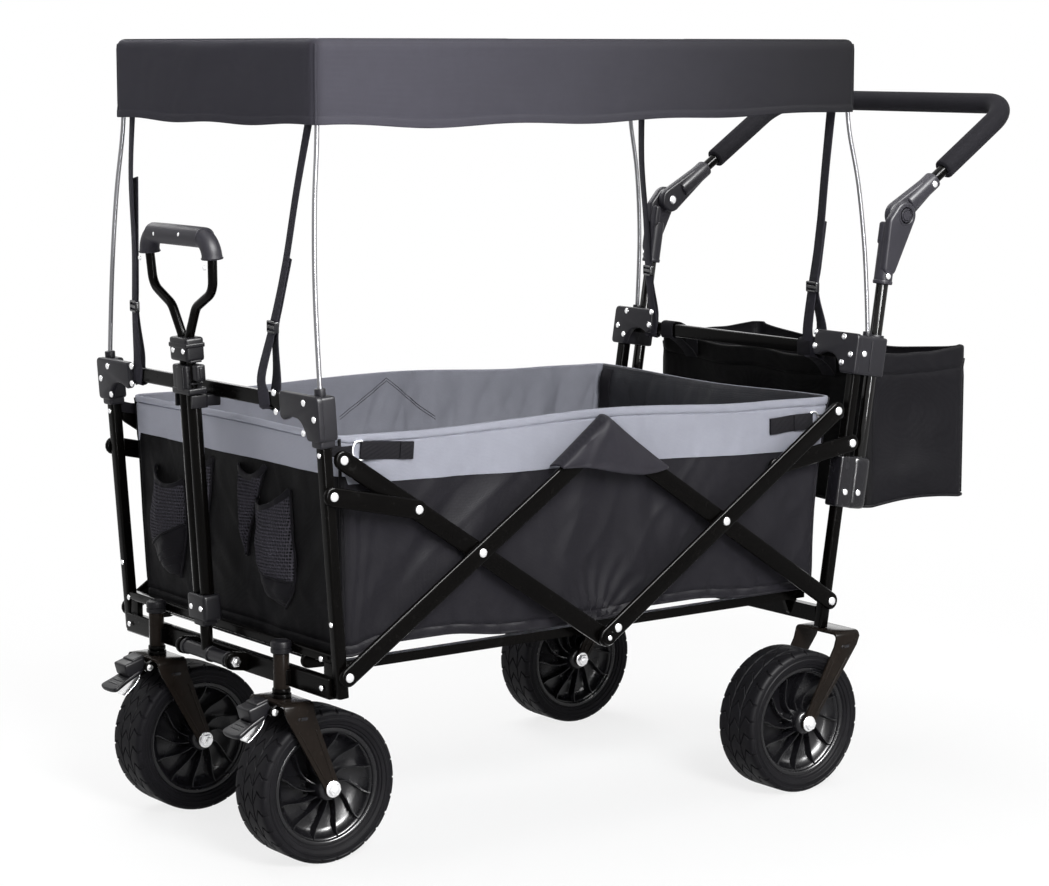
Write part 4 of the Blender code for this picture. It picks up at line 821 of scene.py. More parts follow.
def face_rivets(end, side, face_out, places):
    """Domed heads on a bracket's face, at (y, z) places."""
    way = end.way(end.sign if face_out > 0 else -end.sign, 0, 0)
    heads = []
    for y, z in places:
        up = (z - end.z) / math.cos(end.lean)
        heads.append(dome("head", end.at(face_out, side * y, up), way, CORNER_RIVET, 0.0019))
    return heads


CORNER_RIVET = 0.0042
FRONT_BRACKET_RIVETS = [(0.1765, 0.598), (0.179, 0.575), (0.243, 0.592), (0.264, 0.574), (0.2385, 0.555)]
REAR_BRACKET_RIVETS = [(0.180, 0.617), (0.182, 0.598), (0.238, 0.6145), (0.2545, 0.592), (0.239, 0.580)]


def front_frame(sizes):
    """The front posts with their corner brackets, and the crossbar with its clip."""
    for name, side in SIDES:
        y = side * FRONT_POST_Y
        foot = (0.232 - LOW) / math.cos(FRONT.lean)
        post = square_tube(
            f"front_post_tube_{name}", FRONT.at(0, y, foot), FRONT.at(0, y, FRONT_TOP - 0.001),
            POST, POST, sizes.tube_corner, "coat",
        )
        placed(post, "front_frame", "black_powder_coat", f"front_post_{name}")
        low = FRONT_TOP - BRACKET_OVERLAP
        high = low + BRACKET_HEIGHT
        middle = (low + high) / 2
        sleeve = FRONT.block("sleeve", (0.027, 0.027, BRACKET_HEIGHT), 0, y, middle, 0.0045, "corner_plastic")
        collar = FRONT.block("collar", (0.0215, 0.0215, 0.012), 0, y, low - 0.002, 0.003, "corner_plastic")
        socket = rod(
            "socket", FRONT.at(0, y, high - 0.004), FRONT.at(0, y, high + 0.009), 0.0068, "corner_plastic"
        )
        face = bracket_face(side, FRONT, 0.0095, low, y)
        bracket = joined(f"front_corner_{name}", [sleeve, collar, socket, face])
        placed(bracket, "front_frame", "dark_plastic", f"front_bracket_{name}")
        heads = face_rivets(FRONT, side, 0.014, FRONT_BRACKET_RIVETS)
        for z in (0.5295, 0.3235):
            up = (z - LOW) / math.cos(FRONT.lean)
            heads.append(dome("head", FRONT.at(0.0075, y, up), FRONT.way(-1, 0, 0), 0.0034, 0.0016))
        placed(joined(f"front_corner_rivets_{name}", heads), "front_frame", "dark_plastic")
    crossbar = crossbar_tube("crossbar", FRONT, FRONT_POST_Y)
    placed(joined("front_crossbar_tube", [crossbar, *front_clip()]), "front_frame", "black_powder_coat",
           "front_crossbar")
    lower_frame()


def front_clip():
    """The bent clip behind the crossbar that holds the pull handle upright."""
    low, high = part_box("front_crossbar")
    z = low.z + 0.009
    handle = HANDLE.at(0, 0, (z - GROUND_Z - HANDLE.z) / math.cos(HANDLE.lean))
    half, front, back = 0.0198, handle.x - 0.010, handle.x + 0.0135
    path = rounded_path([(front, -half, z), (back, -half, z), (back, half, z), (front, half, z)], 0.004, 4)
    outline = rounded_box(0.0028, 0.016, 0.0009)
    strip = sweep("clip", path, outline, "black_plastic", (0, 0, 1), ends=0.0008)
    web = high.x - handle.x - 0.0145
    block = soft_box("web", (web + 0.004, 0.030, 0.014), Vector((back + web / 2, 0, z)),
                     STRAIGHT, 0.002, "black_plastic")
    return [strip, block]


def lug_plate(name, start, pin, y, radius):
    """A hinge lug: a small upright plate that ends round a pin."""
    matrix = Matrix.Translation(here(0, y, 0)) @ FACING_SIDE
    return slab(name, [capsule(start, pin, radius)], 0.006, 0.0012, "coat", matrix)


def lower_frame():
    """The weldment under the front: rail, channel, ties, stem housings and hinge lugs."""
    half = FRONT_POST_Y - POST / 2 - 0.0006
    rail_up = (0.2785 - LOW) / math.cos(FRONT.lean)
    rail_x = FRONT.at(0, 0, rail_up).x - SCISSOR_X
    channel_x = FRONT.at(0, 0, (0.2425 - LOW) / math.cos(FRONT.lean)).x - SCISSOR_X - 0.006
    pieces = [
        square_tube("rail", here(rail_x, -half, 0.2785), here(rail_x, half, 0.2785), 0.012, 0.012,
                    0.0025, "coat", (0, 0, 1)),
        square_tube("channel", here(channel_x, -half, 0.2425), here(channel_x, half, 0.2425), 0.014,
                    0.026, 0.003, "coat", (0, 0, 1)),
    ]
    caps, heads = [], []
    for side in (-1, 1):
        y = side * CASTER_Y
        pieces.append(rod("stem", here(STEM_X, y, 0.2228), here(STEM_X, y, 0.276), 0.010, "fork_coat"))
        pieces.append(rod("sleeve", here(STEM_X, y, 0.2228), here(STEM_X, y, 0.2285), 0.0115, "coat"))
        profile = [(0.0108, 0), (0.0128, 0.0012), (0.013, 0.003), (0.013, 0.006), (0.0122, 0.0066),
                   (0.0122, 0.0076), (0.013, 0.0082), (0.013, 0.013), (0.0122, 0.0152), (0.0095, 0.0166),
                   (0.0075, 0.0169), (0.0068, 0.0162), (0, 0.0160)]
        caps.append(turned("cap", profile, here(STEM_X, y, 0.272), "black_plastic", (0, 0, 1), 40))
        pieces.append(soft_box("tie", (0.008, 0.020, 0.040), here(rail_x, side * (half - 0.010), 0.2605),
                               STRAIGHT, 0.0012, "coat"))
        pieces.append(lug_plate("lug", (rail_x, 0.2668), (-0.379, 0.266), side * 0.190, 0.0098))
        pieces.append(lug_plate("lug", (channel_x, 0.2425), (-0.430, 0.247), side * 0.0608, 0.0115))
        pieces.append(soft_box(
            "gusset", (0.020, 0.022, 0.020), here(STEM_X + 0.010, y, 0.243), STRAIGHT, 0.002, "coat"
        ))
        for z in (0.2785, 0.2425):
            face = here(rail_x - 0.013, side * (half - 0.012), z)
            heads.append(dome("head", face, (-1, 0, 0), 0.0036, 0.0016))
    placed(joined("front_lower_rails", pieces), "front_frame", "black_powder_coat", "front_lower_frame")
    placed(joined("stem_caps", caps), "front_frame", "dark_plastic")
    placed(joined("front_lower_rivets", heads), "front_frame", "black_powder_coat")


def rear_frame(sizes):
    """The rear posts with their corner brackets and pole sleeves, and the crossbar."""
    for name, side in SIDES:
        y = side * REAR_POST_Y
        foot = (FORK_TOP["rear"] + 0.0003 - LOW) / math.cos(REAR.lean) + POST / 2 * math.tan(REAR.lean)
        post = square_tube(
            f"rear_post_tube_{name}", REAR.at(0, y, foot), REAR.at(0, y, REAR_TOP - 0.001),
            POST, POST, sizes.tube_corner, "coat",
        )
        placed(post, "rear_frame", "black_powder_coat", f"rear_post_{name}")
        low = REAR_TOP - BRACKET_OVERLAP
        high = low + BRACKET_HEIGHT
        out, middle = 0.0150, (low + high) / 2
        size = (0.0575, 0.027, BRACKET_HEIGHT)
        housing = REAR.block("housing", size, out, y, middle, 0.0045, "corner_plastic")
        size = (0.0030, 0.0295, BRACKET_HEIGHT - 0.012)
        rib = REAR.block("rib", size, out, y, middle, 0.0010, "corner_plastic")
        guide = rod("guide", REAR.at(POLE_OUT, y, high - 0.004), REAR.at(POLE_OUT, y, high + 0.003),
                    0.0118, "corner_plastic")
        socket = rod("socket", REAR.at(0.0155, y, high - 0.004), REAR.at(0.0155, y, high + 0.006),
                     0.0062, "corner_plastic")
        face = bracket_face(side, REAR, -0.0095, low, y)
        bracket = joined(f"rear_corner_{name}", [housing, rib, guide, socket, face])
        placed(bracket, "rear_frame", "dark_plastic", f"rear_bracket_{name}")
        size, out = (0.0310, 0.027, 0.072), POST / 2 + 0.0200
        sleeve = REAR.block("sleeve", size, out, y, SLEEVE_UP, 0.009, "gloss_plastic")
        wrap = REAR.block("wrap", (0.028, 0.0245, 0.070), 0.0015, y, SLEEVE_UP, 0.004, "gloss_plastic")
        placed(joined(f"pole_sleeve_block_{name}", [sleeve, wrap]), "rear_frame", "dark_plastic",
               f"pole_sleeve_{name}")
        heads = face_rivets(REAR, side, -0.014, REAR_BRACKET_RIVETS)
        outer = side * (REAR_POST_Y + 0.0135)
        for out, up in ((0.0, 0.150), (0.024, 0.1505), (0.002, 0.340)):
            heads.append(dome("head", REAR.at(out, outer, up), (0, side, 0), CORNER_RIVET, 0.0019))
        placed(joined(f"rear_corner_rivets_{name}", heads), "rear_frame", "dark_plastic")
    crossbar = crossbar_tube("rear_crossbar_tube", REAR, REAR_POST_Y)
    placed(crossbar, "rear_frame", "black_powder_coat", "rear_crossbar")


# Wheels

def tread_shift(height, half, pitch):
    """How far round a groove has run at a height across the tread: a zigzag."""
    share = min(abs(height) / half, 1.0)
    legs = [(0.0, 0.0), (0.36, 0.62), (0.74, -0.30), (1.0, 0.0)]
    for (a, low), (b, high) in zip(legs, legs[1:]):
        if share <= b:
            return pitch * (low + (high - low) * (share - a) / (b - a))
    return 0.0


# Half of the tyre's section from its bead to its middle: radius, height, how deep a groove cuts
TYRE_WALL = (
    (0.0743, 0.0280, 0), (0.0760, 0.0302, 0), (0.0785, 0.0306, 0), (0.0795, 0.0322, 0), (0.0835, 0.0334, 0),
    (0.0842, 0.0345, 0), (0.0862, 0.0346, 0), (0.0870, 0.0338, 0), (0.0905, 0.0336, 0),
    (0.0912, 0.0342, 0.35), (0.0932, 0.0338, 0.6), (0.0950, 0.0325, 0.9), (0.0963, 0.0304, 1.0),
)
TREAD_HALF = 0.0280
TYRE_TREAD = (
    (0.0968, TREAD_HALF, 1.0), (0.0970, 0.0240, 1.0), (0.0970, 0.0200, 1.0), (0.0970, 0.0160, 1.0),
    (0.0970, 0.0118, 1.0), (0.0957, 0.0112, 0.0), (0.0957, 0.0098, 0.0), (0.0970, 0.0092, 1.0),
    (0.0970, 0.0060, 1.0), (0.0970, 0.0030, 1.0), (0.0970, 0.0, 1.0),
)
# Round one tread block: share of its pitch, how deep it is cut there
TREAD_GROOVE = ((0.0, 0.0), (0.035, 1.0), (0.125, 1.0), (0.16, 0.0), (0.40, 0.0), (0.70, 0.0))
# Half of the rim's section from its bore to its lip: radius, height
RIM_SECTION = (
    (0.0052, 0.0372), (0.0125, 0.0372), (0.0150, 0.0352), (0.0165, 0.0300), (0.0172, 0.0110),
    (0.0190, 0.0075), (0.0300, 0.0070), (0.0560, 0.0105), (0.0620, 0.0150), (0.0658, 0.0215),
    (0.0672, 0.0245), (0.0682, 0.0250), (0.0688, 0.0270), (0.0700, 0.0285), (0.0725, 0.0292),
    (0.0741, 0.0286),
)
FIN_COUNT = 12
# How far each wheel is turned, so that no two stand alike: rear against front, right against left
REAR_WHEEL_TURN, RIGHT_WHEEL_TURN = 0.37, 0.21


def tyre_mesh(sizes):
    """The tyre about the origin with its axle along Y: grooved tread and stepped walls."""
    pitch = 2 * math.pi / sizes.tread_blocks
    upper = TYRE_WALL + TYRE_TREAD
    rows = upper + tuple((radius, -height, cut) for radius, height, cut in reversed(upper[:-1]))
    levels = []
    for radius, height, cut in rows:
        level = []
        for block in range(sizes.tread_blocks):
            for share, deep in TREAD_GROOVE:
                angle = pitch * (block + share) + tread_shift(height, TREAD_HALF, pitch)
                own = radius - sizes.tread_depth * deep * cut
                level.append((own * math.cos(angle), height, own * math.sin(angle)))
        levels.append(level)
    return lofted("tyre_form", levels, "rubber", closed=True, capped=False, sharp=30)


def rim_form():
    """A deep dished rim with a stepped lip and swirled fins on both of its faces."""
    rows = RIM_SECTION + tuple((radius, -height) for radius, height in reversed(RIM_SECTION))
    levels = [[(u, height, v) for u, v in circle(radius, 72)] for radius, height in rows]
    pieces = [lofted("rim_form", levels, "rim_plastic", closed=True, capped=False, sharp=40)]
    pip_radius = 0.0225
    for face in (1, -1):
        for index in range(FIN_COUNT):
            pieces.append(rim_fin(2 * math.pi * index / FIN_COUNT, face))
            angle = 2 * math.pi * (index + 0.45) / FIN_COUNT
            centre = Vector((pip_radius * math.cos(angle), face * 0.0075, pip_radius * math.sin(angle)))
            pieces.append(dome("pip", centre, (0, face, 0), 0.0017, 0.0035, "rim_plastic"))
    return joined("rim_form", pieces)


def rim_fin(start, face):
    """One swirled fin from the hub to the lip, hollowed towards its middle."""
    inner, outer, thick = 0.0150, 0.0672, 0.0010
    swirl = math.radians(30) * face
    spine = []
    for i in range(10):
        t = i / 9
        radius = inner + (outer - inner) * t
        angle = start + swirl * math.sin(t * math.pi * 0.62) * (0.35 + 0.65 * t)
        spine.append(Vector((radius * math.cos(angle), 0, radius * math.sin(angle))))
    levels = []
    for i, point in enumerate(spine):
        t = i / 9
        way = (spine[min(i + 1, 9)] - spine[max(i - 1, 0)]).normalized()
        side = Vector((-way.z, 0, way.x))
        top = 0.0265 - 0.0085 * math.sin(t * math.pi) * (1 - t * 0.4)
        foot = 0.004
        ring = [(-1, foot), (-1, top - 0.0008), (-0.5, top), (0.5, top), (1, top - 0.0008), (1, foot)]
        levels.append([point + side * thick * u + Vector((0, face * v, 0)) for u, v in ring])
    return lofted("fin", levels, "rim_plastic", sharp=40)


def wheels(sizes):
    """Four wheels from one tyre and one rim."""
    tyre, rim = tyre_mesh(sizes), rim_form()
    for name, side in SIDES:
        spots = {
            f"front_{name}": here(FRONT_AXLE_X, side * CASTER_Y, AXLE_Z),
            f"rear_{name}": here(REAR_AXLE_X, side * REAR_POST_Y, AXLE_Z),
        }
        for spot, (label, centre) in enumerate(spots.items()):
            for form, node, slot_name in ((tyre, "tyre", "tyre_rubber"), (rim, "rim", "dark_plastic")):
                mesh = form.data.copy()
                turn = Matrix.Rotation(REAR_WHEEL_TURN * spot + RIGHT_WHEEL_TURN * side, 4, "Y")
                mesh.transform(Matrix.Translation(centre) @ turn)
                obj = bpy.data.objects.new(f"{node}_{label}_form", mesh)
                bpy.context.scene.collection.objects.link(obj)
                placed(obj, f"wheel_{label}", slot_name, f"{node}_{label}")
    for form in (tyre, rim):
        bpy.data.objects.remove(form, do_unlink=True)


def bent_fork(name, y, top_x, axle_x, top_z):
    """One bent strip: down a tapered leg, over the top plate and down the other leg."""
    half, corner, thick = 0.0405, 0.0065, 0.004
    top = top_z - thick / 2
    end_radius, wide = 0.011, 0.042
    shift = axle_x - top_x
    drop = top - AXLE_Z

    def station(v, z):
        t = min(max((top - z) / drop, 0.0), 1.0)
        ease = min(max((t - 0.10) / 0.90, 0.0), 1.0)
        width = wide + (2 * end_radius - wide) * ease
        if z < AXLE_Z:
            width = 2 * math.sqrt(max(end_radius ** 2 - (AXLE_Z - z) ** 2, 0.0012 ** 2))
        return top_x + shift * ease, width, v, z

    leg = [station(-half, AXLE_Z - end_radius * math.sin(math.radians(a))) for a in (84, 65, 45, 22, 0)]
    leg += [station(-half, AXLE_Z + (top - corner - AXLE_Z) * s) for s in (0.15, 0.35, 0.55, 0.75, 0.9, 1.0)]
    for a in (30, 60, 90):
        turn = math.radians(a)
        leg.append(station(-half + corner * (1 - math.cos(turn)), top - corner + corner * math.sin(turn)))
    leg.append(station(-half * 0.5, top))
    stations = leg + [(x, w, -v, z) for x, w, v, z in reversed(leg)]
    levels = []
    for i, (x, width, v, z) in enumerate(stations):
        before, after = stations[max(i - 1, 0)], stations[min(i + 1, len(stations) - 1)]
        way = Vector((0, after[2] - before[2], after[3] - before[3])).normalized()
        lift = Vector((0, -way.z, way.y))
        ring = rounded_box(width, thick, min(0.0013, width * 0.3), 2)
        levels.append([here(x, y + v, z) + Vector((u, 0, 0)) + lift * w for u, w in ring])
    pieces = [lofted(name, levels, "fork_coat", sharp=40)]
    for way in (-1, 1):
        face = way * (half + thick / 2)
        for edge in (-1, 1):
            line = []
            for s in (0.06, 0.2, 0.4, 0.6, 0.8, 0.93):
                z = AXLE_Z + (top - 0.028 - AXLE_Z) * s
                x, width, _, _ = station(0, z)
                line.append(here(x + edge * (width / 2 - 0.0068), y + face, z))
            pieces.append(sweep("rib", line, circle(0.0012, 8), "fork_coat", ends=0.0006))
        x, width, _, _ = station(0, top - 0.020)
        slot_outline = [(x + u, top - 0.018 + v) for u, v in rounded_box(0.014, 0.0042, 0.002)]
        matrix = Matrix.Translation(here(0, y + face + way * 0.0002, 0)) @ FACING_SIDE
        pieces.append(slab("slot", [slot_outline], 0.0016, 0.0005, "gloss_plastic", matrix))
        spot = here(x - 0.004, y + face + way * 0.0008, top - 0.018)
        pieces.append(dome("slot_rivet", spot, (0, way, 0), 0.0019, 0.0010, "fork_coat"))
    return pieces


def axle_nuts(y, x):
    """A washer, a six-sided nut and the rounded end of the axle on each side."""
    pieces = [rod("axle", here(x, y - 0.046, AXLE_Z), here(x, y + 0.046, AXLE_Z), 0.0044, "rivet")]
    for way in (-1, 1):
        face = here(x, y + way * 0.0425, AXLE_Z)
        washer = [(0.0104, -0.0003), (0.0104, 0.0008), (0.0098, 0.0012), (0, 0.0012)]
        pieces.append(turned("washer", washer, face, "rivet", (0, way, 0), 32))
        nut = [(0.0080, 0.001), (0.0084, 0.0018), (0.0084, 0.0048), (0.0076, 0.0058), (0, 0.0058)]
        pieces.append(turned("nut", nut, face, "rivet", (0, way, 0), 6, 20))
        pieces.append(dome("end", face + Vector((0, way * 0.0054, 0)), (0, way, 0), 0.0050, 0.0022))
    return pieces


def casters():
    """Both casters, and the rear frame's two fixed forks."""
    for name, side in SIDES:
        y = side * CASTER_Y
        pieces = bent_fork("fork", y, STEM_X, FRONT_AXLE_X, FORK_TOP["front"])
        pieces.append(rod("collar", here(STEM_X, y, 0.215), here(STEM_X, y, 0.2222), 0.0125, "coat"))
        for way in (-1, 1):
            root = (STEM_X - 0.015, 0.2095)
            pieces.append(lug_plate("ear", root, PEDAL_PIN, y + way * 0.0203, 0.0065))
        placed(joined(f"caster_fork_form_{name}", pieces), f"caster_{name}", "black_powder_coat",
               f"caster_fork_{name}")
        placed(joined(f"caster_nuts_{name}", axle_nuts(y, FRONT_AXLE_X)), f"caster_{name}",
               "black_powder_coat")
        brake_pedal(name, y)
        rear_y = side * REAR_POST_Y
        fork = bent_fork("fork", rear_y, REAR_FORK_X, REAR_AXLE_X, FORK_TOP["rear"])
        placed(joined(f"rear_fork_form_{name}", fork), "rear_frame", "black_powder_coat", f"rear_fork_{name}")
        placed(joined(f"rear_nuts_{name}", axle_nuts(rear_y, REAR_AXLE_X)), "rear_frame", "black_powder_coat")


def brake_pedal(name, y):
    """The caster's brake: a stepped block, a broad flap and a plated spring."""
    hinge = here(PEDAL_PIN[0], y, PEDAL_PIN[1])
    tilt = Matrix.Rotation(-math.radians(26), 4, "Y")
    block_turn = Matrix.Rotation(-math.radians(16), 4, "Y")
    pieces = []
    for size, place, edge in (
        ((0.030, 0.031, 0.017), (-0.016, 0, 0.0012), 0.003),
        ((0.018, 0.026, 0.006), (-0.011, 0, 0.0105), 0.002),
    ):
        pieces.append(soft_box("block", size, hinge + Vector(place), block_turn, edge, "black_plastic"))
    outline = smooth_outline([(-0.006, -0.0155), (-0.034, -0.0165), (-0.054, -0.021, 0.010),
                              (-0.0575, -0.010, 0.006), (-0.0575, 0.010, 0.006), (-0.054, 0.021, 0.010),
                              (-0.034, 0.0165), (-0.006, 0.0155)], 0.006)
    flap_place = Matrix.Translation(hinge + Vector((0, 0, -0.0015))) @ tilt
    pieces.append(slab("flap", [outline], 0.0058, 0.0022, "black_plastic", flap_place))
    for u in (-0.024, -0.031, -0.038, -0.045):
        rib = flap_place @ Matrix.Translation((u, 0, 0.0028))
        size = (0.0022, 0.026 - abs(u) * 0.1, 0.0016)
        pieces.append(soft_box("rib", size, Vector((0, 0, 0)), rib, 0.0006, "black_plastic"))
    reach = Vector((0, 0.0172, 0))
    pieces.append(rod("eye", hinge - reach, hinge + reach, 0.0056, "black_plastic"))
    for way in (-1, 1):
        pieces.append(dome("pin", hinge + Vector((0, way * 0.0235, 0)), (0, way, 0), 0.0045, 0.0020))
    bend = ((-0.006, 0, -0.006), (-0.010, 0, -0.018), (-0.022, 0, -0.030), (-0.030, 0, -0.036))
    line = curve_through([hinge + Vector(point) for point in bend], 4)
    outline = rounded_box(0.020, 0.0014, 0.0006, 2)
    pieces.append(sweep("spring", line, outline, "rivet", (0, 0, 1), ends=0.0005))
    placed(joined(f"brake_pedal_form_{name}", pieces), f"brake_pedal_{name}", "dark_plastic",
           f"brake_pedal_{name}")


# Pull handle

def handle_plan():
    """The loop's centreline as (y, up), from one foot over the top to the other."""
    legs, shoulder = 0.0086, 0.406
    right = [(legs, 0.095), (legs, shoulder), (0.030, shoulder + 0.038)]
    right += [(0.074, 0.466), (0.080, 0.532)]
    whole = right + [(-y, up) for y, up in reversed(right)]
    return rounded_path([(0, y, up) for y, up in whole], 0.024, 7)


def pull_handle():
    """The pivot and its foot, the twin outer tubes, the release, the loop and its grip."""
    turn = HANDLE.turn()
    pivot = here(HANDLE.x, 0, HANDLE.z)
    profile = [(0.0078, 0), (0.009, 0.0012), (0.009, 0.1138), (0.0078, 0.115)]
    barrel = turned("barrel", profile, pivot + Vector((0, -0.0575, 0)), "black_plastic", (0, 1, 0), 40)
    ring = [(0.009, 0), (0.0104, 0.0006), (0.0104, 0.0054), (0.009, 0.006)]
    pieces = [barrel]
    for at in (-0.054, -0.012, 0.048):
        pieces.append(turned("ring", ring, pivot + Vector((0, at, 0)), "black_plastic", (0, 1, 0), 40))
    pieces.append(rod("neck", pivot, HANDLE.at(0, 0, 0.048), 0.0078, "coat"))
    pieces.append(HANDLE.block("foot", (0.026, 0.043, 0.034), 0, 0, 0.061, 0.005, "black_plastic"))
    pieces.append(HANDLE.block("skirt", (0.021, 0.026, 0.010), 0, 0, 0.042, 0.003, "black_plastic"))
    for way in (-1, 1):
        head = pivot + Vector((0, way * 0.0640, 0))
        pieces.append(turned("washer", [(0.0088, 0), (0.0092, 0.0008), (0.0092, 0.0022), (0, 0.0022)],
                             head, "coat", (0, way, 0), 32))
        nut = [(0.0064, 0.002), (0.0068, 0.003), (0.0068, 0.0066), (0.0058, 0.0076), (0, 0.0076)]
        pieces.append(turned("nut", nut, head, "rivet", (0, way, 0), 6, 20))
        pieces.append(dome("end", head + Vector((0, way * 0.0072, 0)), (0, way, 0), 0.0040, 0.0016))
        face = HANDLE.at(0.0128, way * 0.012, 0.061)
        pieces.append(dome("head", face, HANDLE.way(-1, 0, 0), 0.0038, 0.0018))
    placed(joined("handle_pivot", pieces), "pull_handle", "black_powder_coat", "handle_base")

    tubes = []
    for way in (-1, 1):
        tubes.append(rod("tube", HANDLE.at(0, way * 0.0087, 0.0775), HANDLE.at(0, way * 0.0087, 0.338),
                         0.0090, "coat", 0.001, 32))
    web = [HANDLE.at(0, 0, 0.079), HANDLE.at(0, 0, 0.336)]
    tubes.append(sweep("web", web, rounded_box(0.010, 0.012, 0.002), "coat", (0, 1, 0)))
    tubes += handle_collar()
    placed(joined("handle_twin_tubes", tubes), "pull_handle", "black_powder_coat", "handle_outer_tubes")

    low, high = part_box("handle_release")
    middle = (low + high) / 2
    knob = soft_box("release", tuple(high - low), middle, turn, 0.0028, "black_plastic")
    ridge = soft_box(
        "ridge", (0.0050, 0.0035, 0.014), middle + Vector((0, -0.0055, 0)), turn, 0.0012, "black_plastic"
    )
    placed(joined("release_lever", [knob, ridge]), "handle_release", "dark_plastic", "handle_release")

    plan = handle_plan()
    path = [HANDLE.at(0, point.y, point.z) for point in plan]
    loop = sweep("handle_loop_tube", path, circle(0.0060, 20), "coat", (1, 0, 0), ends=0.0008)
    placed(loop, "handle_loop", "black_powder_coat", "handle_loop")
    pull_grip(plan)


COLLAR_BLOCKS = (
    ("collar", (0.026, 0.043, 0.030), (0, 0, 0.3905), 0.0045),
    ("waist", (0.024, 0.0330, 0.034), (0, 0.0040, 0.354), 0.004),
    ("frame", (0.0160, 0.0060, 0.0030), (0, -0.0185, 0.3755), 0.0010),
    ("frame", (0.0160, 0.0060, 0.0030), (0, -0.0185, 0.3480), 0.0010),
    ("lip", (0.0275, 0.0445, 0.006), (0, 0, 0.3955), 0.002),
    ("skirt", (0.0265, 0.0435, 0.008), (0, 0, 0.338), 0.0025),
    ("panel", (0.0040, 0.016, 0.030), (0.0118, 0, 0.3535), 0.0015),
)


def handle_collar():
    """The two-part moulded collar where the loop slides into its tubes."""
    pieces = [
        HANDLE.block(name, size, *place, edge, "black_plastic") for name, size, place, edge in COLLAR_BLOCKS
    ]
    lip = [(0.0072, 0), (0.0086, 0.0004), (0.0086, 0.003), (0.0072, 0.004)]
    for way in (-1, 1):
        mouth = HANDLE.at(0, way * 0.0086, 0.3975)
        pieces.append(turned("bush", lip, mouth, "black_plastic", HANDLE.way(0, 0, 1), 32))
        face = HANDLE.at(0.0128, way * 0.0125, 0.389)
        pieces.append(dome("head", face, HANDLE.way(-1, 0, 0), 0.0036, 0.0017))
    return pieces


def pull_grip(plan):
    """The moulded grip over the loop's top, thicker where the fingers close."""
    arc = [point for point in plan if point.z > 0.490]
    path = curve_through([HANDLE.at(0, point.y, point.z) for point in arc], 3)

    def girth(t):
        ends = min(t, 1 - t)
        return 0.94 + 0.10 * math.exp(-((t - 0.5) / 0.16) ** 2) + 0.10 * math.exp(-(ends / 0.035) ** 2)

    outline = [(u * 1.06, v * 1.16) for u, v in circle(0.0118, 28)]
    grip = sweep("grip", path, outline, "plastic", (1, 0, 0), scale=girth, ends=0.0022)
    heads = []
    for y, up in ((0.040, 0.5325), (-0.022, 0.5345), (0.0815, 0.500), (-0.0790, 0.497)):
        heads.append(dome("head", HANDLE.at(0.0128, y, up), HANDLE.way(-1, 0, 0), 0.0030, 0.0016))
    placed(joined("pull_grip_form", [grip]), "handle_loop", "dark_plastic", "handle_grip")
    placed(joined("pull_grip_screws", heads), "handle_loop", "dark_plastic")


# Push bar

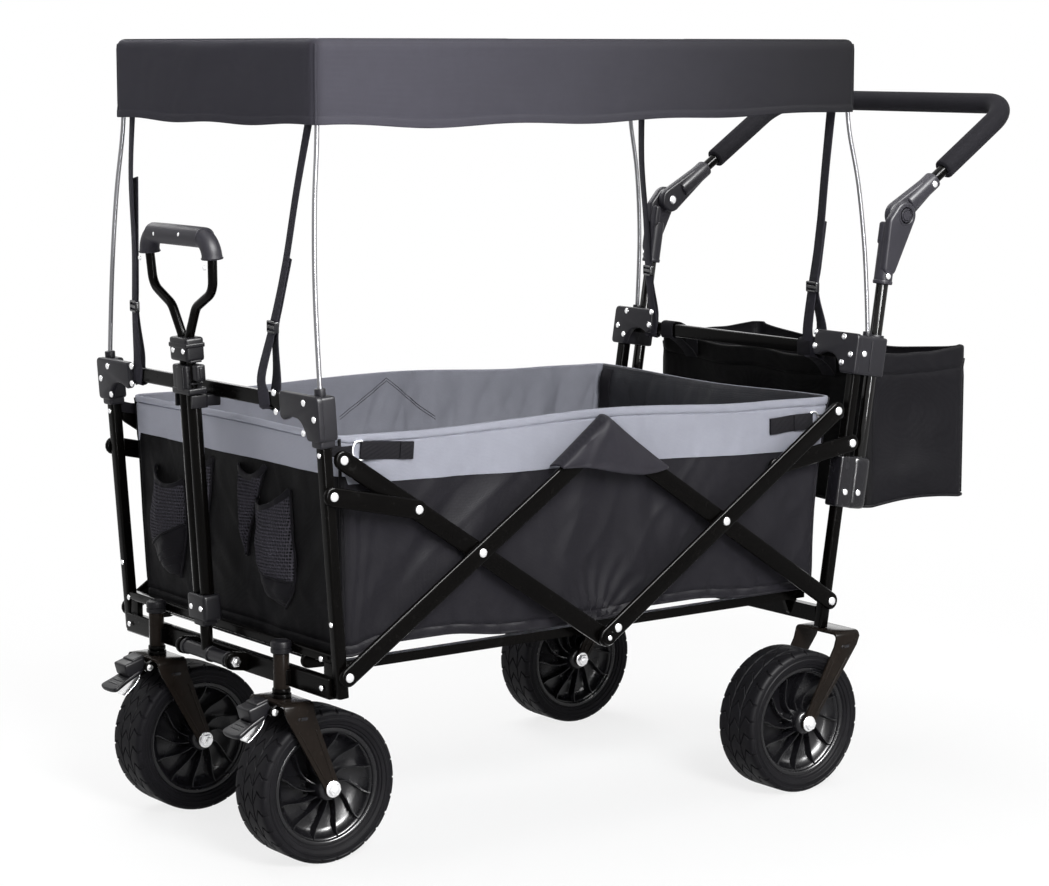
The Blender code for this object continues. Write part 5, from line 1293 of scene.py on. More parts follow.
def push_bar():
    """The poles, the knuckles with their buttons, the bent bar and its foam."""
    knuckle_x, knuckle_z = KNUCKLE
    arm_y = REAR_POST_Y - 0.00675

    def along(distance, y):
        return here(knuckle_x + distance * math.cos(ARM_ANGLE), y, knuckle_z + distance * math.sin(ARM_ANGLE))

    for name, side in SIDES:
        y = side * REAR_POST_Y
        pole = rod(f"push_pole_tube_{name}", REAR.at(POLE_OUT, y, 0.138), REAR.at(POLE_OUT, y, 0.480),
                   0.0085, "pole_coat", 0.001, 32)
        placed(pole, "push_poles", "black_powder_coat", f"push_pole_{name}")
        sleeve = sweep(
            "sleeve", [REAR.at(POLE_OUT, y, up) for up in (0.438, 0.447, 0.475, 0.499)],
            rounded_box(0.0228, 0.0236, 0.0090), "pale_plastic", (0, 1, 0), ends=0.0020,
        )
        lip = sweep("lip", [REAR.at(POLE_OUT, y, up) for up in (0.438, 0.4435)],
                    rounded_box(0.0242, 0.0250, 0.0095), "pale_plastic", (0, 1, 0), ends=0.0015)
        line = [REAR.at(POLE_OUT - 0.0060, y - side * 0.0050, up) for up in (0.492, 0.508, 0.523)]
        outline = rounded_box(0.0108, 0.0128, 0.0040)
        shoulder = sweep("shoulder", line, outline, "pale_plastic", (0, 1, 0), ends=0.0035)
        sleeve_ends = [REAR.at(POLE_OUT, 0, up) for up in (0.462, 0.522)]
        spots = [(spot.x - SCISSOR_X, spot.z - GROUND_Z) for spot in sleeve_ends] + [KNUCKLE]
        cheek = []
        for (x, z), radius in zip(spots, (0.0114, 0.0124, 0.0190)):
            cheek += circle(radius, 40, x, z)
        matrix = Matrix.Translation(here(0, side * (REAR_POST_Y + 0.0069), 0)) @ FACING_SIDE
        shell = slab("cheek", [hull(cheek)], 0.0130, 0.0036, "pale_plastic", matrix)
        face = here(knuckle_x, side * (REAR_POST_Y + 0.0132), knuckle_z)
        ring = [(0.0150, -0.0006), (0.0142, 0.0010), (0.0122, 0.0012), (0.0112, 0.0002), (0.0098, 0.0002),
                (0.0090, 0.0014), (0.0082, 0.0014), (0.0078, -0.0004)]
        dial = turned("dial", ring, face, "pale_plastic", (0, side, 0), 48)
        head = dome("head", REAR.at(POLE_OUT - 0.003, y + side * 0.0128, 0.449), (0, side, 0), 0.0042, 0.0018)
        placed(joined(f"push_knuckle_shell_{name}", [sleeve, lip, shoulder, shell, dial, head]), "push_poles",
               "dark_plastic", f"push_knuckle_{name}")
        profile = [(0.0066, -0.004), (0.0069, 0.0006), (0.0064, 0.0014), (0.003, 0.0018), (0, 0.0018)]
        cap = turned("cap", profile, face, "pale_plastic", (0, side, 0), 32)
        placed(joined(f"knuckle_cap_{name}", [cap]), f"knuckle_button_{name}", "dark_plastic",
               f"knuckle_button_{name}")

    reach, radius = 0.266, 0.045
    corners = [along(0.045, -arm_y), along(reach, -arm_y), along(reach, arm_y), along(0.045, arm_y)]
    pieces = [sweep("tube", rounded_path(corners, radius, 9), circle(0.0080, 24), "coat", ends=0.0006)]
    for name, side in SIDES:
        y = side * arm_y
        outline = circle(0.0182, 40) + circle(0.0118, 24, 0.068)
        turn = Matrix.Rotation(-ARM_ANGLE, 4, "Y")
        matrix = Matrix.Translation(here(knuckle_x, side * (REAR_POST_Y - 0.0069), knuckle_z)) @ turn
        pieces.append(slab("arm_disc", [hull(outline)], 0.0130, 0.0034, "pale_plastic", matrix @ FACING_SIDE))
        pieces.append(sweep("arm_sleeve", [along(s, y) for s in (0.024, 0.040, 0.064, 0.084)],
                            rounded_box(0.0236, 0.0236, 0.0095), "pale_plastic", (0, 1, 0), ends=0.0030))
        pieces.append(dome("head", along(0.073, y + side * 0.0120), (0, side, 0), 0.0046, 0.0020))
        inner = here(knuckle_x, side * (REAR_POST_Y - 0.0134), knuckle_z)
        pieces.append(dome("pivot", inner, (0, -side, 0), 0.0062, 0.0024))
    placed(joined("push_bar_tube", pieces), "push_bar", "black_powder_coat", "push_bar")

    grip_corners = [along(0.106, -arm_y), *corners[1:3], along(0.106, arm_y)]
    line = rounded_path(grip_corners, radius, 16)
    grip = sweep("push_grip_foam", line, circle(0.0145, 32), "foam", ends=0.0030)
    placed(grip, "push_bar", "grip_foam", "push_grip")


def hull(points):
    """The convex outline round a set of points."""
    ordered = sorted(set(points))

    def half(run):
        kept = []
        for point in run:
            while len(kept) > 1:
                (ax, ay), (bx, by) = kept[-2], kept[-1]
                if (bx - ax) * (point[1] - ay) - (by - ay) * (point[0] - ax) > 0:
                    break
                kept.pop()
            kept.append(point)
        return kept[:-1]

    return half(ordered) + half(ordered[::-1])


# Cloth

def smoothstep(low, high, value):
    t = min(max((value - low) / (high - low), 0.0), 1.0)
    return t * t * (3 - 2 * t)


def between(stops, t):
    """A value from (t, value) stops, smoothly between them."""
    for (a, low), (b, high) in zip(stops, stops[1:]):
        if t <= b:
            return low + (high - low) * smoothstep(a, b, t)
    return stops[-1][1]


def box_line(x0, x1, half, radius, long_steps, short_steps, corner_steps):
    """Points round a rectangle with round corners, with each one's outward way and place.

    A place is (wall, share): walls run near side, rear, far side, front."""
    line = []
    walls = [
        ("near", (x0 + radius, -half), (x1 - radius, -half), (0, -1), long_steps),
        ("rear", (x1, -half + radius), (x1, half - radius), (1, 0), short_steps),
        ("far", (x1 - radius, half), (x0 + radius, half), (0, 1), long_steps),
        ("front", (x0, half - radius), (x0, -half + radius), (-1, 0), short_steps),
    ]
    for index, (wall, start, end, way, steps) in enumerate(walls):
        for i in range(steps + 1):
            t = i / steps
            x = start[0] + (end[0] - start[0]) * t
            y = start[1] + (end[1] - start[1]) * t
            line.append((Vector((x, y)), Vector(way), wall, t))
        follow = walls[(index + 1) % 4]
        centre = Vector((end[0] - way[0] * radius, end[1] - way[1] * radius))
        for j in range(1, corner_steps):
            turn = math.radians(90 * j / corner_steps)
            out = Vector(way) * math.cos(turn) + Vector(follow[3]) * math.sin(turn)
            line.append((centre + out * radius, out, "corner", index))
    return line


def drawn_in(level, line, inset, lift):
    """A ring of points moved inward from its walls, and up."""
    return [
        point + Vector((-place[1].x * inset, -place[1].y * inset, lift)) for point, place in zip(level, line)
    ]


def wall_place(wall, t):
    """A place's wall and share; a corner counts as the end of the wall before it."""
    return (wall, t) if wall != "corner" else (("near", "rear", "far", "front")[t], 1)


def folds_away(obj, towards=-0.398):
    """Gives the fabric its own copy of its mesh."""
    tuple(here(towards, 0, 0.4))
    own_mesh(obj)


def top_edge(wall, t):
    """Height of the body's rim along a wall."""
    if wall == "near":
        return between([(0, 0.5475), (0.15, 0.5455), (0.5, 0.5505), (0.85, 0.5395), (1, 0.5375)], t)
    if wall == "far":
        return between([(0, 0.5375), (0.15, 0.5395), (0.5, 0.5505), (0.85, 0.5455), (1, 0.5475)], t)
    if wall == "front":
        return between([(0, 0.5475), (0.5, 0.5500), (1, 0.5475)], t)
    return between([(0, 0.5375), (0.5, 0.5330), (1, 0.5375)], t)


def band_edge(wall, t):
    """Height of the seam between the grey band and the black cloth."""
    if wall in ("near", "far"):
        share = t if wall == "near" else 1 - t
        return between([(0, 0.4890), (0.5, 0.4800), (1, 0.4690)], share)
    return 0.4995 if wall == "front" else 0.4690


def foot_lift(x):
    """How far the tub's foot rises off its floor frames between their ends."""
    front = smoothstep(-0.372, -0.318, x) * (1 - smoothstep(-0.235, -0.130, x))
    rear = smoothstep(0.020, 0.090, x) * (1 - smoothstep(0.165, 0.270, x))
    return 0.0105 * front + 0.0085 * rear


def soft_folds(along, up, seed):
    """Cloth that hangs a little loose: broad upright folds, and creases that slant across them."""
    sway = noise.noise(Vector((along * 3.0, up * 3.0, seed))) * 0.05
    broad = noise.noise(Vector(((along + sway) * 8.5 + up * 2.0, up * 2.4, seed + 4.0)))
    cross = noise.noise(Vector(((along - sway) * 15.0 - up * 11.0, up * 5.0 + along * 3.0, seed + 9.0)))
    fine = noise.noise(Vector((along * 34.0 + up * 9.0, up * 9.0, seed + 2.0)))
    crease = max(1 - abs(cross) * 3.2, 0.0) ** 2
    return broad * 0.0100 + cross * 0.0034 + crease * 0.0020 + fine * 0.0011


# Folds that the near wall shows: place along it, lean, width and depth
NEAR_FOLDS = ((0.068, -0.10, 0.016, 0.0050), (0.100, -0.12, 0.014, -0.0035), (-0.215, 0.62, 0.026, 0.0050),
              (-0.290, 0.75, 0.020, -0.0040), (0.300, 0.05, 0.020, 0.0034), (-0.040, 0.30, 0.018, 0.0030))


def wall_push(wall, t, x, y, z, height):
    """How far the cloth stands out from its flat wall, in metres."""
    loose = math.sin(math.pi * min(max(height * 0.94 + 0.03, 0.0), 1.0)) ** 0.6
    edge = math.sin(math.pi * min(max(t, 0.0), 1.0)) ** 0.35 if wall != "corner" else 0.0
    along = x if wall in ("near", "far") else y
    seed = {"near": 3.1, "far": 8.6, "front": 5.3}.get(wall, 1.7)
    push = soft_folds(along, z, seed) * (0.18 + 0.82 * loose)
    if wall in ("near", "far"):
        for place, lean, width, depth in NEAR_FOLDS:
            share = (x - place - lean * (z - 0.38)) / width
            push += depth * math.exp(-share * share) * loose
        radius = math.hypot(x - 0.004, z - 0.262)
        turn = math.atan2(z - 0.262, x - 0.004)
        fan = math.sin(turn * 21.0 + 3.0 * ripple(x, y, z, 12.0)) * 0.0030
        push += fan * math.exp(-(radius / 0.075) ** 2)
        hem_gather = math.sin(x * 150.0 + 2 * ripple(x, y, z, 30.0))
        push += 0.0015 * hem_gather * math.exp(-((height - 0.05) / 0.05) ** 2)
        gather = 1 - smoothstep(-0.372, -0.325, x)
        push += gather * 0.0030 * math.sin(x * 300.0 + 9.0 * ripple(x, y, z, 7.0)) * (0.4 + 0.6 * loose)
        push -= 0.0050 * math.exp(-((x - 0.004) / 0.07) ** 2) * smoothstep(0.55, 0.95, height)
    elif wall == "front":
        push += 0.0065 * math.exp(-((height - 0.42) / 0.3) ** 2) * edge
        slant = (y + 0.17 + (z - 0.36) * 0.9) / 0.020
        push += (0.0040 * math.exp(-slant * slant) - 0.0030 * math.exp(-(slant - 1.8) ** 2)) * loose
    elif wall == "rear":
        push += 0.0035 * math.sin(y * 21.0 + z * 34.0 + 1.0) * loose - 0.004 * edge * loose
    top = smoothstep(0.70, 0.92, height)
    push = push * (1 - 0.45 * top)
    return min(push * (0.20 + 0.80 * edge), 0.0150 - 0.0095 * min(height, 1.0))


def body_cloth():
    """The wagon's fabric tub: band, black walls, lining and floor in one cloth."""
    rows_black, rows_band = 44, 12
    line_low = box_line(-0.3835, 0.383, 0.2430, 0.014, 200, 110, 5)
    line_high = box_line(-0.392, 0.400, 0.2525, 0.012, 200, 110, 5)
    count = len(line_low)
    foot_z = 0.2768

    def spot(column, height_share, lower, inset, inner):
        (low_xy, way, wall, t) = line_low[column]
        high_xy = line_high[column][0]
        edge_wall, edge_t = wall_place(wall, t)
        seam, top = band_edge(edge_wall, edge_t), top_edge(edge_wall, edge_t)
        foot = foot_z + foot_lift(low_xy.x)
        z = foot + (seam - foot) * height_share if lower else seam + (top - seam) * height_share
        share = (z - foot) / (0.545 - foot)
        xy = low_xy + (high_xy - low_xy) * share
        xy.x -= 0.0085 * math.sin(math.pi * min(max(share, 0.0), 1.0)) * smoothstep(0.30, 0.38, xy.x)
        push = wall_push(wall, t if wall != "corner" else 0, xy.x, xy.y, z, share)
        if not lower:
            push += 0.0012 + 0.0012 * smoothstep(0.86, 0.90, height_share)
            push -= 0.0018 * math.exp(-((height_share - 0.855) / 0.012) ** 2)
        else:
            push += 0.0012 * (1 - smoothstep(0.050, 0.064, height_share))
            push -= 0.0014 * math.exp(-((height_share - 0.060) / 0.010) ** 2)
        if inner:
            along = xy.x if edge_wall in ("near", "far") else xy.y
            own = abs(soft_folds(along * 1.25, z * 1.4, 14.0)) * 1.25
            if wall == "rear":
                shelf = 0.5 + 0.5 * math.sin((0.53 - z) * 62.0 + xy.y * 7.0)
                own += 0.0060 * shelf * smoothstep(0.0, 0.25, t)
            bend = math.sin(math.pi * min(share * 0.93 + 0.02, 1.0)) ** 0.7
            push = push - inset - own * bend * (1.0 if wall != "corner" else 0.1)
        xy = xy + way * push
        return here(xy.x, xy.y, z)

    band, black, lining, dark_lining = range(4)
    levels, slots = [], []

    def add_rows(shares, lower, slot, inset=0):
        for share in shares:
            levels.append([spot(column, share, lower, inset, slot == lining) for column in range(count)])
            slots.append(slot)

    foot_hem, band_hem = [0.052, 0.060, 0.075], [0.035, 0.80, 0.845, 0.855, 0.865, 0.885]
    add_rows(sorted([i / rows_black for i in range(rows_black + 1)] + foot_hem), True, black)
    add_rows(sorted([i / rows_band for i in range(rows_band + 1)] + band_hem), False, band)
    rim = levels[-1]
    for lift, inset in ((0.0016, 0.0008), (0.0020, 0.0018), (0.0014, 0.0028)):
        levels.append(drawn_in(rim, line_low, inset, lift))
        slots.append(band)
    padding = 0.0040
    add_rows([1 - i / 12 for i in range(13)], False, lining, padding)
    add_rows([1 - i / 30 for i in range(1, 31)], True, lining, padding)
    levels.append(drawn_in(levels[-1], line_low, 0.012, 0.0008))
    slots.append(lining)
    tub = lofted("body_cloth", levels, "band", capped=False, sharp=50)
    for finish in ("black", "lining", "dark_lining"):
        tub.data.materials.append(FINISHES[finish])
    for index, polygon in enumerate(tub.data.polygons):
        slot = slots[min(index // count + 1, len(slots) - 1)]
        wall = line_low[index % count][2]
        # The rear wall's lining takes the painted-shade copy of the lining.
        polygon.material_index = dark_lining if slot == lining and wall == "rear" else slot
    placed(tub, "front_frame", "grey_fabric", "body_fabric")
    folds_away(tub)
    mats = [
        floor_mat("floor_mat_front", "floor_front", -0.375, -0.0008, foot_z),
        floor_mat("floor_mat_rear", "floor_rear", 0.0008, 0.375, foot_z),
    ]
    return tub, mats


def floor_mat(name, body, x0, x1, foot_z):
    """Half of the padded floor, which lies on its own floor frame and folds up with it."""
    half = 0.234
    columns, rows = 30, 36

    def skin(lift, sag, drop):
        grid = []
        for i in range(columns + 1):
            x = x0 + (x1 - x0) * i / columns
            row = []
            for j in range(rows + 1):
                y = -half + 2 * half * j / rows
                edge = (1 - abs(2 * i / columns - 1) ** 8) * (1 - abs(2 * j / rows - 1) ** 8)
                z = foot_z + foot_lift(x) + lift + sag * edge * (0.4 + 0.6 * ripple(x, y, 0, 7.0, 2.0) ** 2)
                z += (ripple(x, y, 0, 16.0, 5.0) * 0.0012 - drop) * edge
                row.append(here(x, y, z))
            grid.append(row)
        return grid

    top, low = skin(0.0035, 0.0030, 0.0), skin(0.0006, 0.0, 0.0040)
    points = [p for row in top for p in row] + [p for row in low for p in row]
    wide = rows + 1
    base = wide * (columns + 1)
    faces = []
    for i in range(columns):
        for j in range(rows):
            a = i * wide + j
            faces.append((a, a + wide, a + wide + 1, a + 1))
            faces.append((base + a, base + a + 1, base + a + wide + 1, base + a + wide))
    rim = [i * wide for i in range(columns + 1)]
    rim += [columns * wide + j for j in range(1, rows + 1)]
    rim += [i * wide + rows for i in range(columns - 1, -1, -1)]
    rim += [j for j in range(rows - 1, 0, -1)]
    for k, a in enumerate(rim):
        b = rim[(k + 1) % len(rim)]
        faces.append((a, b, base + b, base + a)[::-1])
    return placed(new_piece(name, points, faces, "lining", 60), body, "grey_fabric")


def surface_of(obj):
    """A finder of the nearest place on a piece, for what is laid on it."""
    return BVHTree.FromObject(obj, bpy.context.evaluated_depsgraph_get())


def laid_on(tree, point, way, lift):
    """The point dropped onto a cloth along way, then lifted off it."""
    way = Vector(way)
    spot = tree.ray_cast(Vector(point) + way * 0.08, -way)[0]
    return (spot if spot is not None else Vector(point)) + way * lift


def ribbon(name, path, across, width, thickness, finish, radius=None, scale=None):
    """A flat strap along a path; across gives its broad way at each point, or one for all."""
    path = [Vector(point) for point in path]
    last = len(path) - 1
    radius = radius or thickness * 0.4
    levels = []
    for i, point in enumerate(path):
        way = (path[min(i + 1, last)] - path[max(i - 1, 0)]).normalized()
        broad = Vector(across[i]) if isinstance(across, list) else Vector(across)
        broad = (broad - way * broad.dot(way)).normalized()
        thin = way.cross(broad)
        own = width * (scale(i / last) if scale else 1.0)
        levels.append([point + broad * u + thin * v for u, v in rounded_box(own, thickness, radius, 2)])
    return lofted(name, levels, finish, sharp=50)


def body_trim(tub, sizes):
    """Binding down the corners, the welt round the floor and a webbing tab at each corner."""
    tree = surface_of(tub)
    pieces = []
    for x0, x1, sx in ((-0.3835, -0.392, -1), (0.383, 0.400, 1)):
        for side in (-1, 1):
            line = []
            for i in range(23):
                t = i / 22
                x = x0 + (x1 - x0) * t - (0.0085 * math.sin(math.pi * t) if sx > 0 else 0)
                y = side * (0.243 + 0.0095 * t)
                z = 0.279 + (0.5445 - 0.279) * t + (-0.0065 * t if sx > 0 else 0.001 * t)
                way = Vector((sx, side, 0)).normalized()
                line.append(laid_on(tree, here(x - sx * 0.003, y - side * 0.003, z), way, 0.0006))
            pieces.append(sweep("binding", line, circle(0.0021, 10), "black", ends=0.0010))
    line = []
    for point, way, _wall, _t in box_line(-0.3835, 0.383, 0.243, 0.014, 60, 30, 4):
        line.append(here(point.x + way.x * 0.0006, point.y + way.y * 0.0006, 0.2780 + foot_lift(point.x)))
    pieces.append(sweep("welt", spaced(line, 0.0004), circle(0.0020, 8), "black", (0, 0, 1), closed=True))
    trim = placed(joined("body_binding", pieces), "front_frame", "black_fabric")
    folds_away(trim)

    rings = []
    tabs = []
    for side in (-1, 1):
        for x0, x1, z0, z1, sx in (
            (-0.3640, -0.2880, 0.5300, 0.5240, -1), (0.3640, 0.2900, 0.5090, 0.5060, 1),
        ):
            way = (0, side, 0)
            line, doubled = [], []
            for i in range(13):
                t = i / 12
                x, z = x0 + (x1 - x0) * t, z0 + (z1 - z0) * t
                puff = 0.0012 + 0.0022 * math.exp(-((t - 0.10) / 0.12) ** 2) + 0.0008 * math.sin(t * 9.0)
                line.append(laid_on(tree, here(x, side * 0.252, z), way, puff))
                if t > 0.74 or t < 0.45:
                    doubled.append((t, laid_on(tree, here(x, side * 0.252, z), way, puff + 0.0017)))
            tabs.append(ribbon("tab", line, (0, 0, 1), sizes.tab_width, 0.0017, "tab"))
            for low, high in ((0.0, 0.46), (0.74, 1.0)):
                part = [p for t, p in doubled if low <= t <= high]
                tabs.append(ribbon("tab", part, (0, 0, 1), sizes.tab_width * 0.97, 0.0016, "tab"))
            eye = line[0] + Vector((sx * -0.0005, side * 0.0010, 0))
            ring = []
            for u, v in smooth_outline([(0, -0.0115), (0, 0.0115), (0.0105, 0.0115, 0.006),
                                        (0.0150, 0.0, 0.006), (0.0105, -0.0115, 0.006)], 0.002, 5):
                ring.append(eye + Vector((sx * (u - 0.002), 0, v)))
            ring = spaced(ring, 0.0002)
            rings.append(sweep("ring", ring, circle(0.0013, 10), "rivet", (0, side, 0.05), closed=True))
            post = FRONT if sx < 0 else REAR
            post_y = FRONT_POST_Y if sx < 0 else REAR_POST_Y
            up = (z0 - LOW) / math.cos(post.lean)
            anchor = post.at(-0.0085, side * (post_y - 0.002), up + 0.004)
            start = eye + Vector((sx * 0.0125, -side * 0.0004, 0))
            loop = curve_through([start, (start + anchor) / 2 + Vector((0, side * 0.001, -0.002)), anchor], 5)
            tabs.append(ribbon("loop", loop, (0, 0, 1), 0.014, 0.0020, "tab"))
    tab = placed(joined("corner_tabs", tabs), "front_frame", "black_fabric")
    folds_away(tab)
    ring = placed(joined("corner_rings", rings), "front_frame", "canopy_rod_steel")
    folds_away(ring)
    return [trim, tab, ring]


def lining_details(tub):
    """What shows inside: the flaps' stitching through the lining and a dark strap in a rear corner."""
    tree = surface_of(tub)
    threads = []
    for side in (-1, 1):
        corners = [(-0.0700, 0.4950), (0.0100, 0.5440), (0.0870, 0.4840)]
        for start, end in zip(corners, corners[1:]):
            for run in range(2):
                line = []
                for i in range(26):
                    t = i / 25
                    x = start[0] + (end[0] - start[0]) * t
                    z = start[1] + (end[1] - start[1]) * t - run * 0.004
                    line.append(laid_on(tree, here(x, side * 0.245, z), (0, -side, 0), 0.0002))
                threads.append(sweep("thread", line, circle(0.0004, 6), "tab"))
    line = []
    for i in range(20):
        z = 0.5330 - 0.140 * i / 19
        line.append(laid_on(tree, here(0.385, 0.2240, z), (-1, 0, 0), 0.0016 + 0.0012 * math.sin(i * 0.7)))
    threads.append(ribbon("strip", line, (0, 1, 0), 0.023, 0.0018, "tab"))
    obj = placed(joined("lining_stitches", threads), "front_frame", "black_fabric")
    folds_away(obj)
    return obj


def side_flap(label, side):
    """The pointed patch of cloth sewn to the band that slips over the scissors' top pivot."""
    sewn = [(-0.0780, 0.4850), (-0.0560, 0.5010), (-0.0300, 0.5205), (-0.0060, 0.5385), (0.0030, 0.5445),
            (0.0120, 0.5390), (0.0380, 0.5180), (0.0700, 0.4920), (0.1000, 0.4690)]
    brow = [(-0.0770, 0.4862), (-0.0580, 0.5000), (-0.0340, 0.5175), (-0.0120, 0.5335), (-0.0020, 0.5400),
            (0.0080, 0.5350), (0.0340, 0.5160), (0.0660, 0.4935), (0.0980, 0.4712)]
    edge = [(-0.0765, 0.4858), (-0.0560, 0.4848), (-0.0340, 0.4825), (-0.0120, 0.4775), (0.0060, 0.4735),
            (0.0260, 0.4695), (0.0500, 0.4662), (0.0760, 0.4660), (0.0975, 0.4700)]
    lines = [curve_through([(u, 0, v) for u, v in line], 6) for line in (sewn, brow, edge)]
    count = len(lines[0])
    levels = []
    for i in range(count):
        s = i / (count - 1)
        root, crown, hem = (line[i] for line in lines)
        full = math.sin(math.pi * s) ** 0.45
        front = 0.2782 - 0.0050 * smoothstep(0.45, 0.9, s)
        level = []
        for t in (0.0, 0.25, 0.5, 0.72, 0.88):
            point = root.lerp(crown, t)
            out = 0.2545 + (front - 0.2545) * t
            level.append(here(point.x, side * out, point.z + 0.0018 * t * (1 - t) * 4))
        for t in (0.04, 0.10, 0.18, 0.28, 0.38, 0.48, 0.58, 0.68, 0.78, 0.86, 0.92, 0.96, 1.0):
            point = crown.lerp(hem, t)
            ridge = math.exp(-((point.x + 0.006 + 0.52 * (0.538 - point.z)) / 0.0065) ** 2)
            fold = 0.0010 * math.sin(point.x * 70 + point.z * 50)
            fold += 0.0012 * ripple(point.x, side, point.z, 26.0)
            bulge = 0.0020 * math.sin(math.pi * t) + 0.0036 * ridge * (1 - 0.35 * t) + fold
            hemmed = 0.0011 * smoothstep(0.90, 0.93, t)
            out = front + 0.0006 + (bulge * min(t * 6, 1) + hemmed) * full
            level.append(here(point.x, side * out, point.z))
        levels.append(level)
    obj = lofted(f"side_flap_{label}", levels, "flap", capped=False, sharp=60, ring=False)
    thickened(obj, 0.0013, 1 if side < 0 else -1)
    obj.data.shade_smooth()
    ends = [tuple(here(x, 0, 0.52)) for x in (-0.030, 0.030)]
    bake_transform(obj)


def front_pocket(seed, tree, left, right, bulge, net_share):
    """A sagging pocket of net over plain cloth, between a left and a right edge of (y, z) points."""
    columns, rows = 30, 34
    sides = []
    for edge in (left, right):
        line = curve_through([(0, y, z) for y, z in edge], 12)
        sides.append([line[round(j * (len(line) - 1) / rows)] for j in range(rows + 1)])
    grid = []
    for j in range(rows + 1):
        t = j / rows
        level = []
        for i in range(columns + 1):
            s = i / columns
            point = sides[0][j].lerp(sides[1][j], s)
            across = math.sin(math.pi * s) ** 0.6
            down = math.sin(math.pi * min(0.16 + t * 0.84, 1.0)) ** 0.7 if t < 1 else 0
            sag = 0.016 * across * (1 - t) ** 3
            puckers = 0.0050 * ripple(0, point.y, point.z, 28.0, seed)
            puckers += 0.0030 * ripple(0, point.y, point.z, 62.0, seed)
            out = (bulge + puckers) * across * max(down, 0.0) + 0.0012
            base = laid_on(tree, here(-0.39, point.y, point.z - sag), (-1, 0, 0), 0)
            level.append(base + Vector((-out, 0, 0)))
        grid.append(level)
    cut = round(rows * net_share)
    net = lofted("net", grid[:cut + 1], "net", capped=False, sharp=60, ring=False)
    plain = lofted("plain", grid[cut:], "pocket", capped=False, sharp=60, ring=False)
    thickened(plain, 0.0012)
    hem = sweep("hem", grid[0], rounded_box(0.0026, 0.0085, 0.0012, 2), "pocket", (0, 0, 1), ends=0.0008)
    seam_line = [point + FORWARD * 0.0006 for point in grid[cut]]
    seam = sweep("seam", seam_line, circle(0.0013, 8), "pocket", ends=0.0006)
    piping = []
    for column in (0, columns):
        line = [level[column] + FORWARD * 0.0006 for level in grid]
        piping.append(sweep("edge", line, circle(0.0017, 8), "pocket", ends=0.0008))
    return [plain, hem, seam, *piping], net


def front_pockets(tub):
    """Two deep pockets and two narrow pointed ones, mirrored about the handle."""
    tree = surface_of(tub)
    outlines = [
        ([(-0.0597, 0.4487), (-0.0745, 0.3695), (-0.0735, 0.3299)],
         [(-0.1407, 0.4703), (-0.1497, 0.3569), (-0.1232, 0.3188)], 0.024, 0.50),
        ([(0.1976, 0.4610), (0.1962, 0.3538), (0.1680, 0.3200)],
         [(0.1200, 0.4500), (0.1098, 0.3952), (0.1360, 0.3184)], 0.024, 0.50),
        ([(-0.0195, 0.4894), (-0.0240, 0.4200), (-0.0270, 0.3720)],
         [(-0.0824, 0.4931), (-0.0540, 0.4330), (-0.0310, 0.3717)], 0.011, 0.94),
        ([(0.1060, 0.4931), (0.0780, 0.4330), (0.0550, 0.3717)],
         [(0.0430, 0.4894), (0.0475, 0.4200), (0.0510, 0.3720)], 0.011, 0.94),
    ]
    cloths, nets = [], []
    for index, (left, right, bulge, share) in enumerate(outlines):
        cloth, net = front_pocket(index * 3.7, tree, left, right, bulge, share)
        cloths += cloth
        nets.append(net)
    made = []
    for name, group in (("front_pocket_cloth", cloths), ("front_pocket_nets", nets)):
        obj = placed(joined(name, group), "front_frame", "black_fabric")
        folds_away(obj)
        made.append(obj)
    cloth, nets = made


# Canopy

def canopy_hem(wall, t):
    if wall == "near":
        return between([(0, 0.9175), (0.19, 0.9125), (0.42, 0.9145), (1, 0.9215)], t)
    if wall == "far":
        return between([(0, 0.9215), (0.58, 0.9150), (0.81, 0.9125), (1, 0.9175)], t)
    if wall == "front":
        return between([(0, 0.9175), (0.5, 0.9150), (1, 0.9175)], t)
    return 0.9215


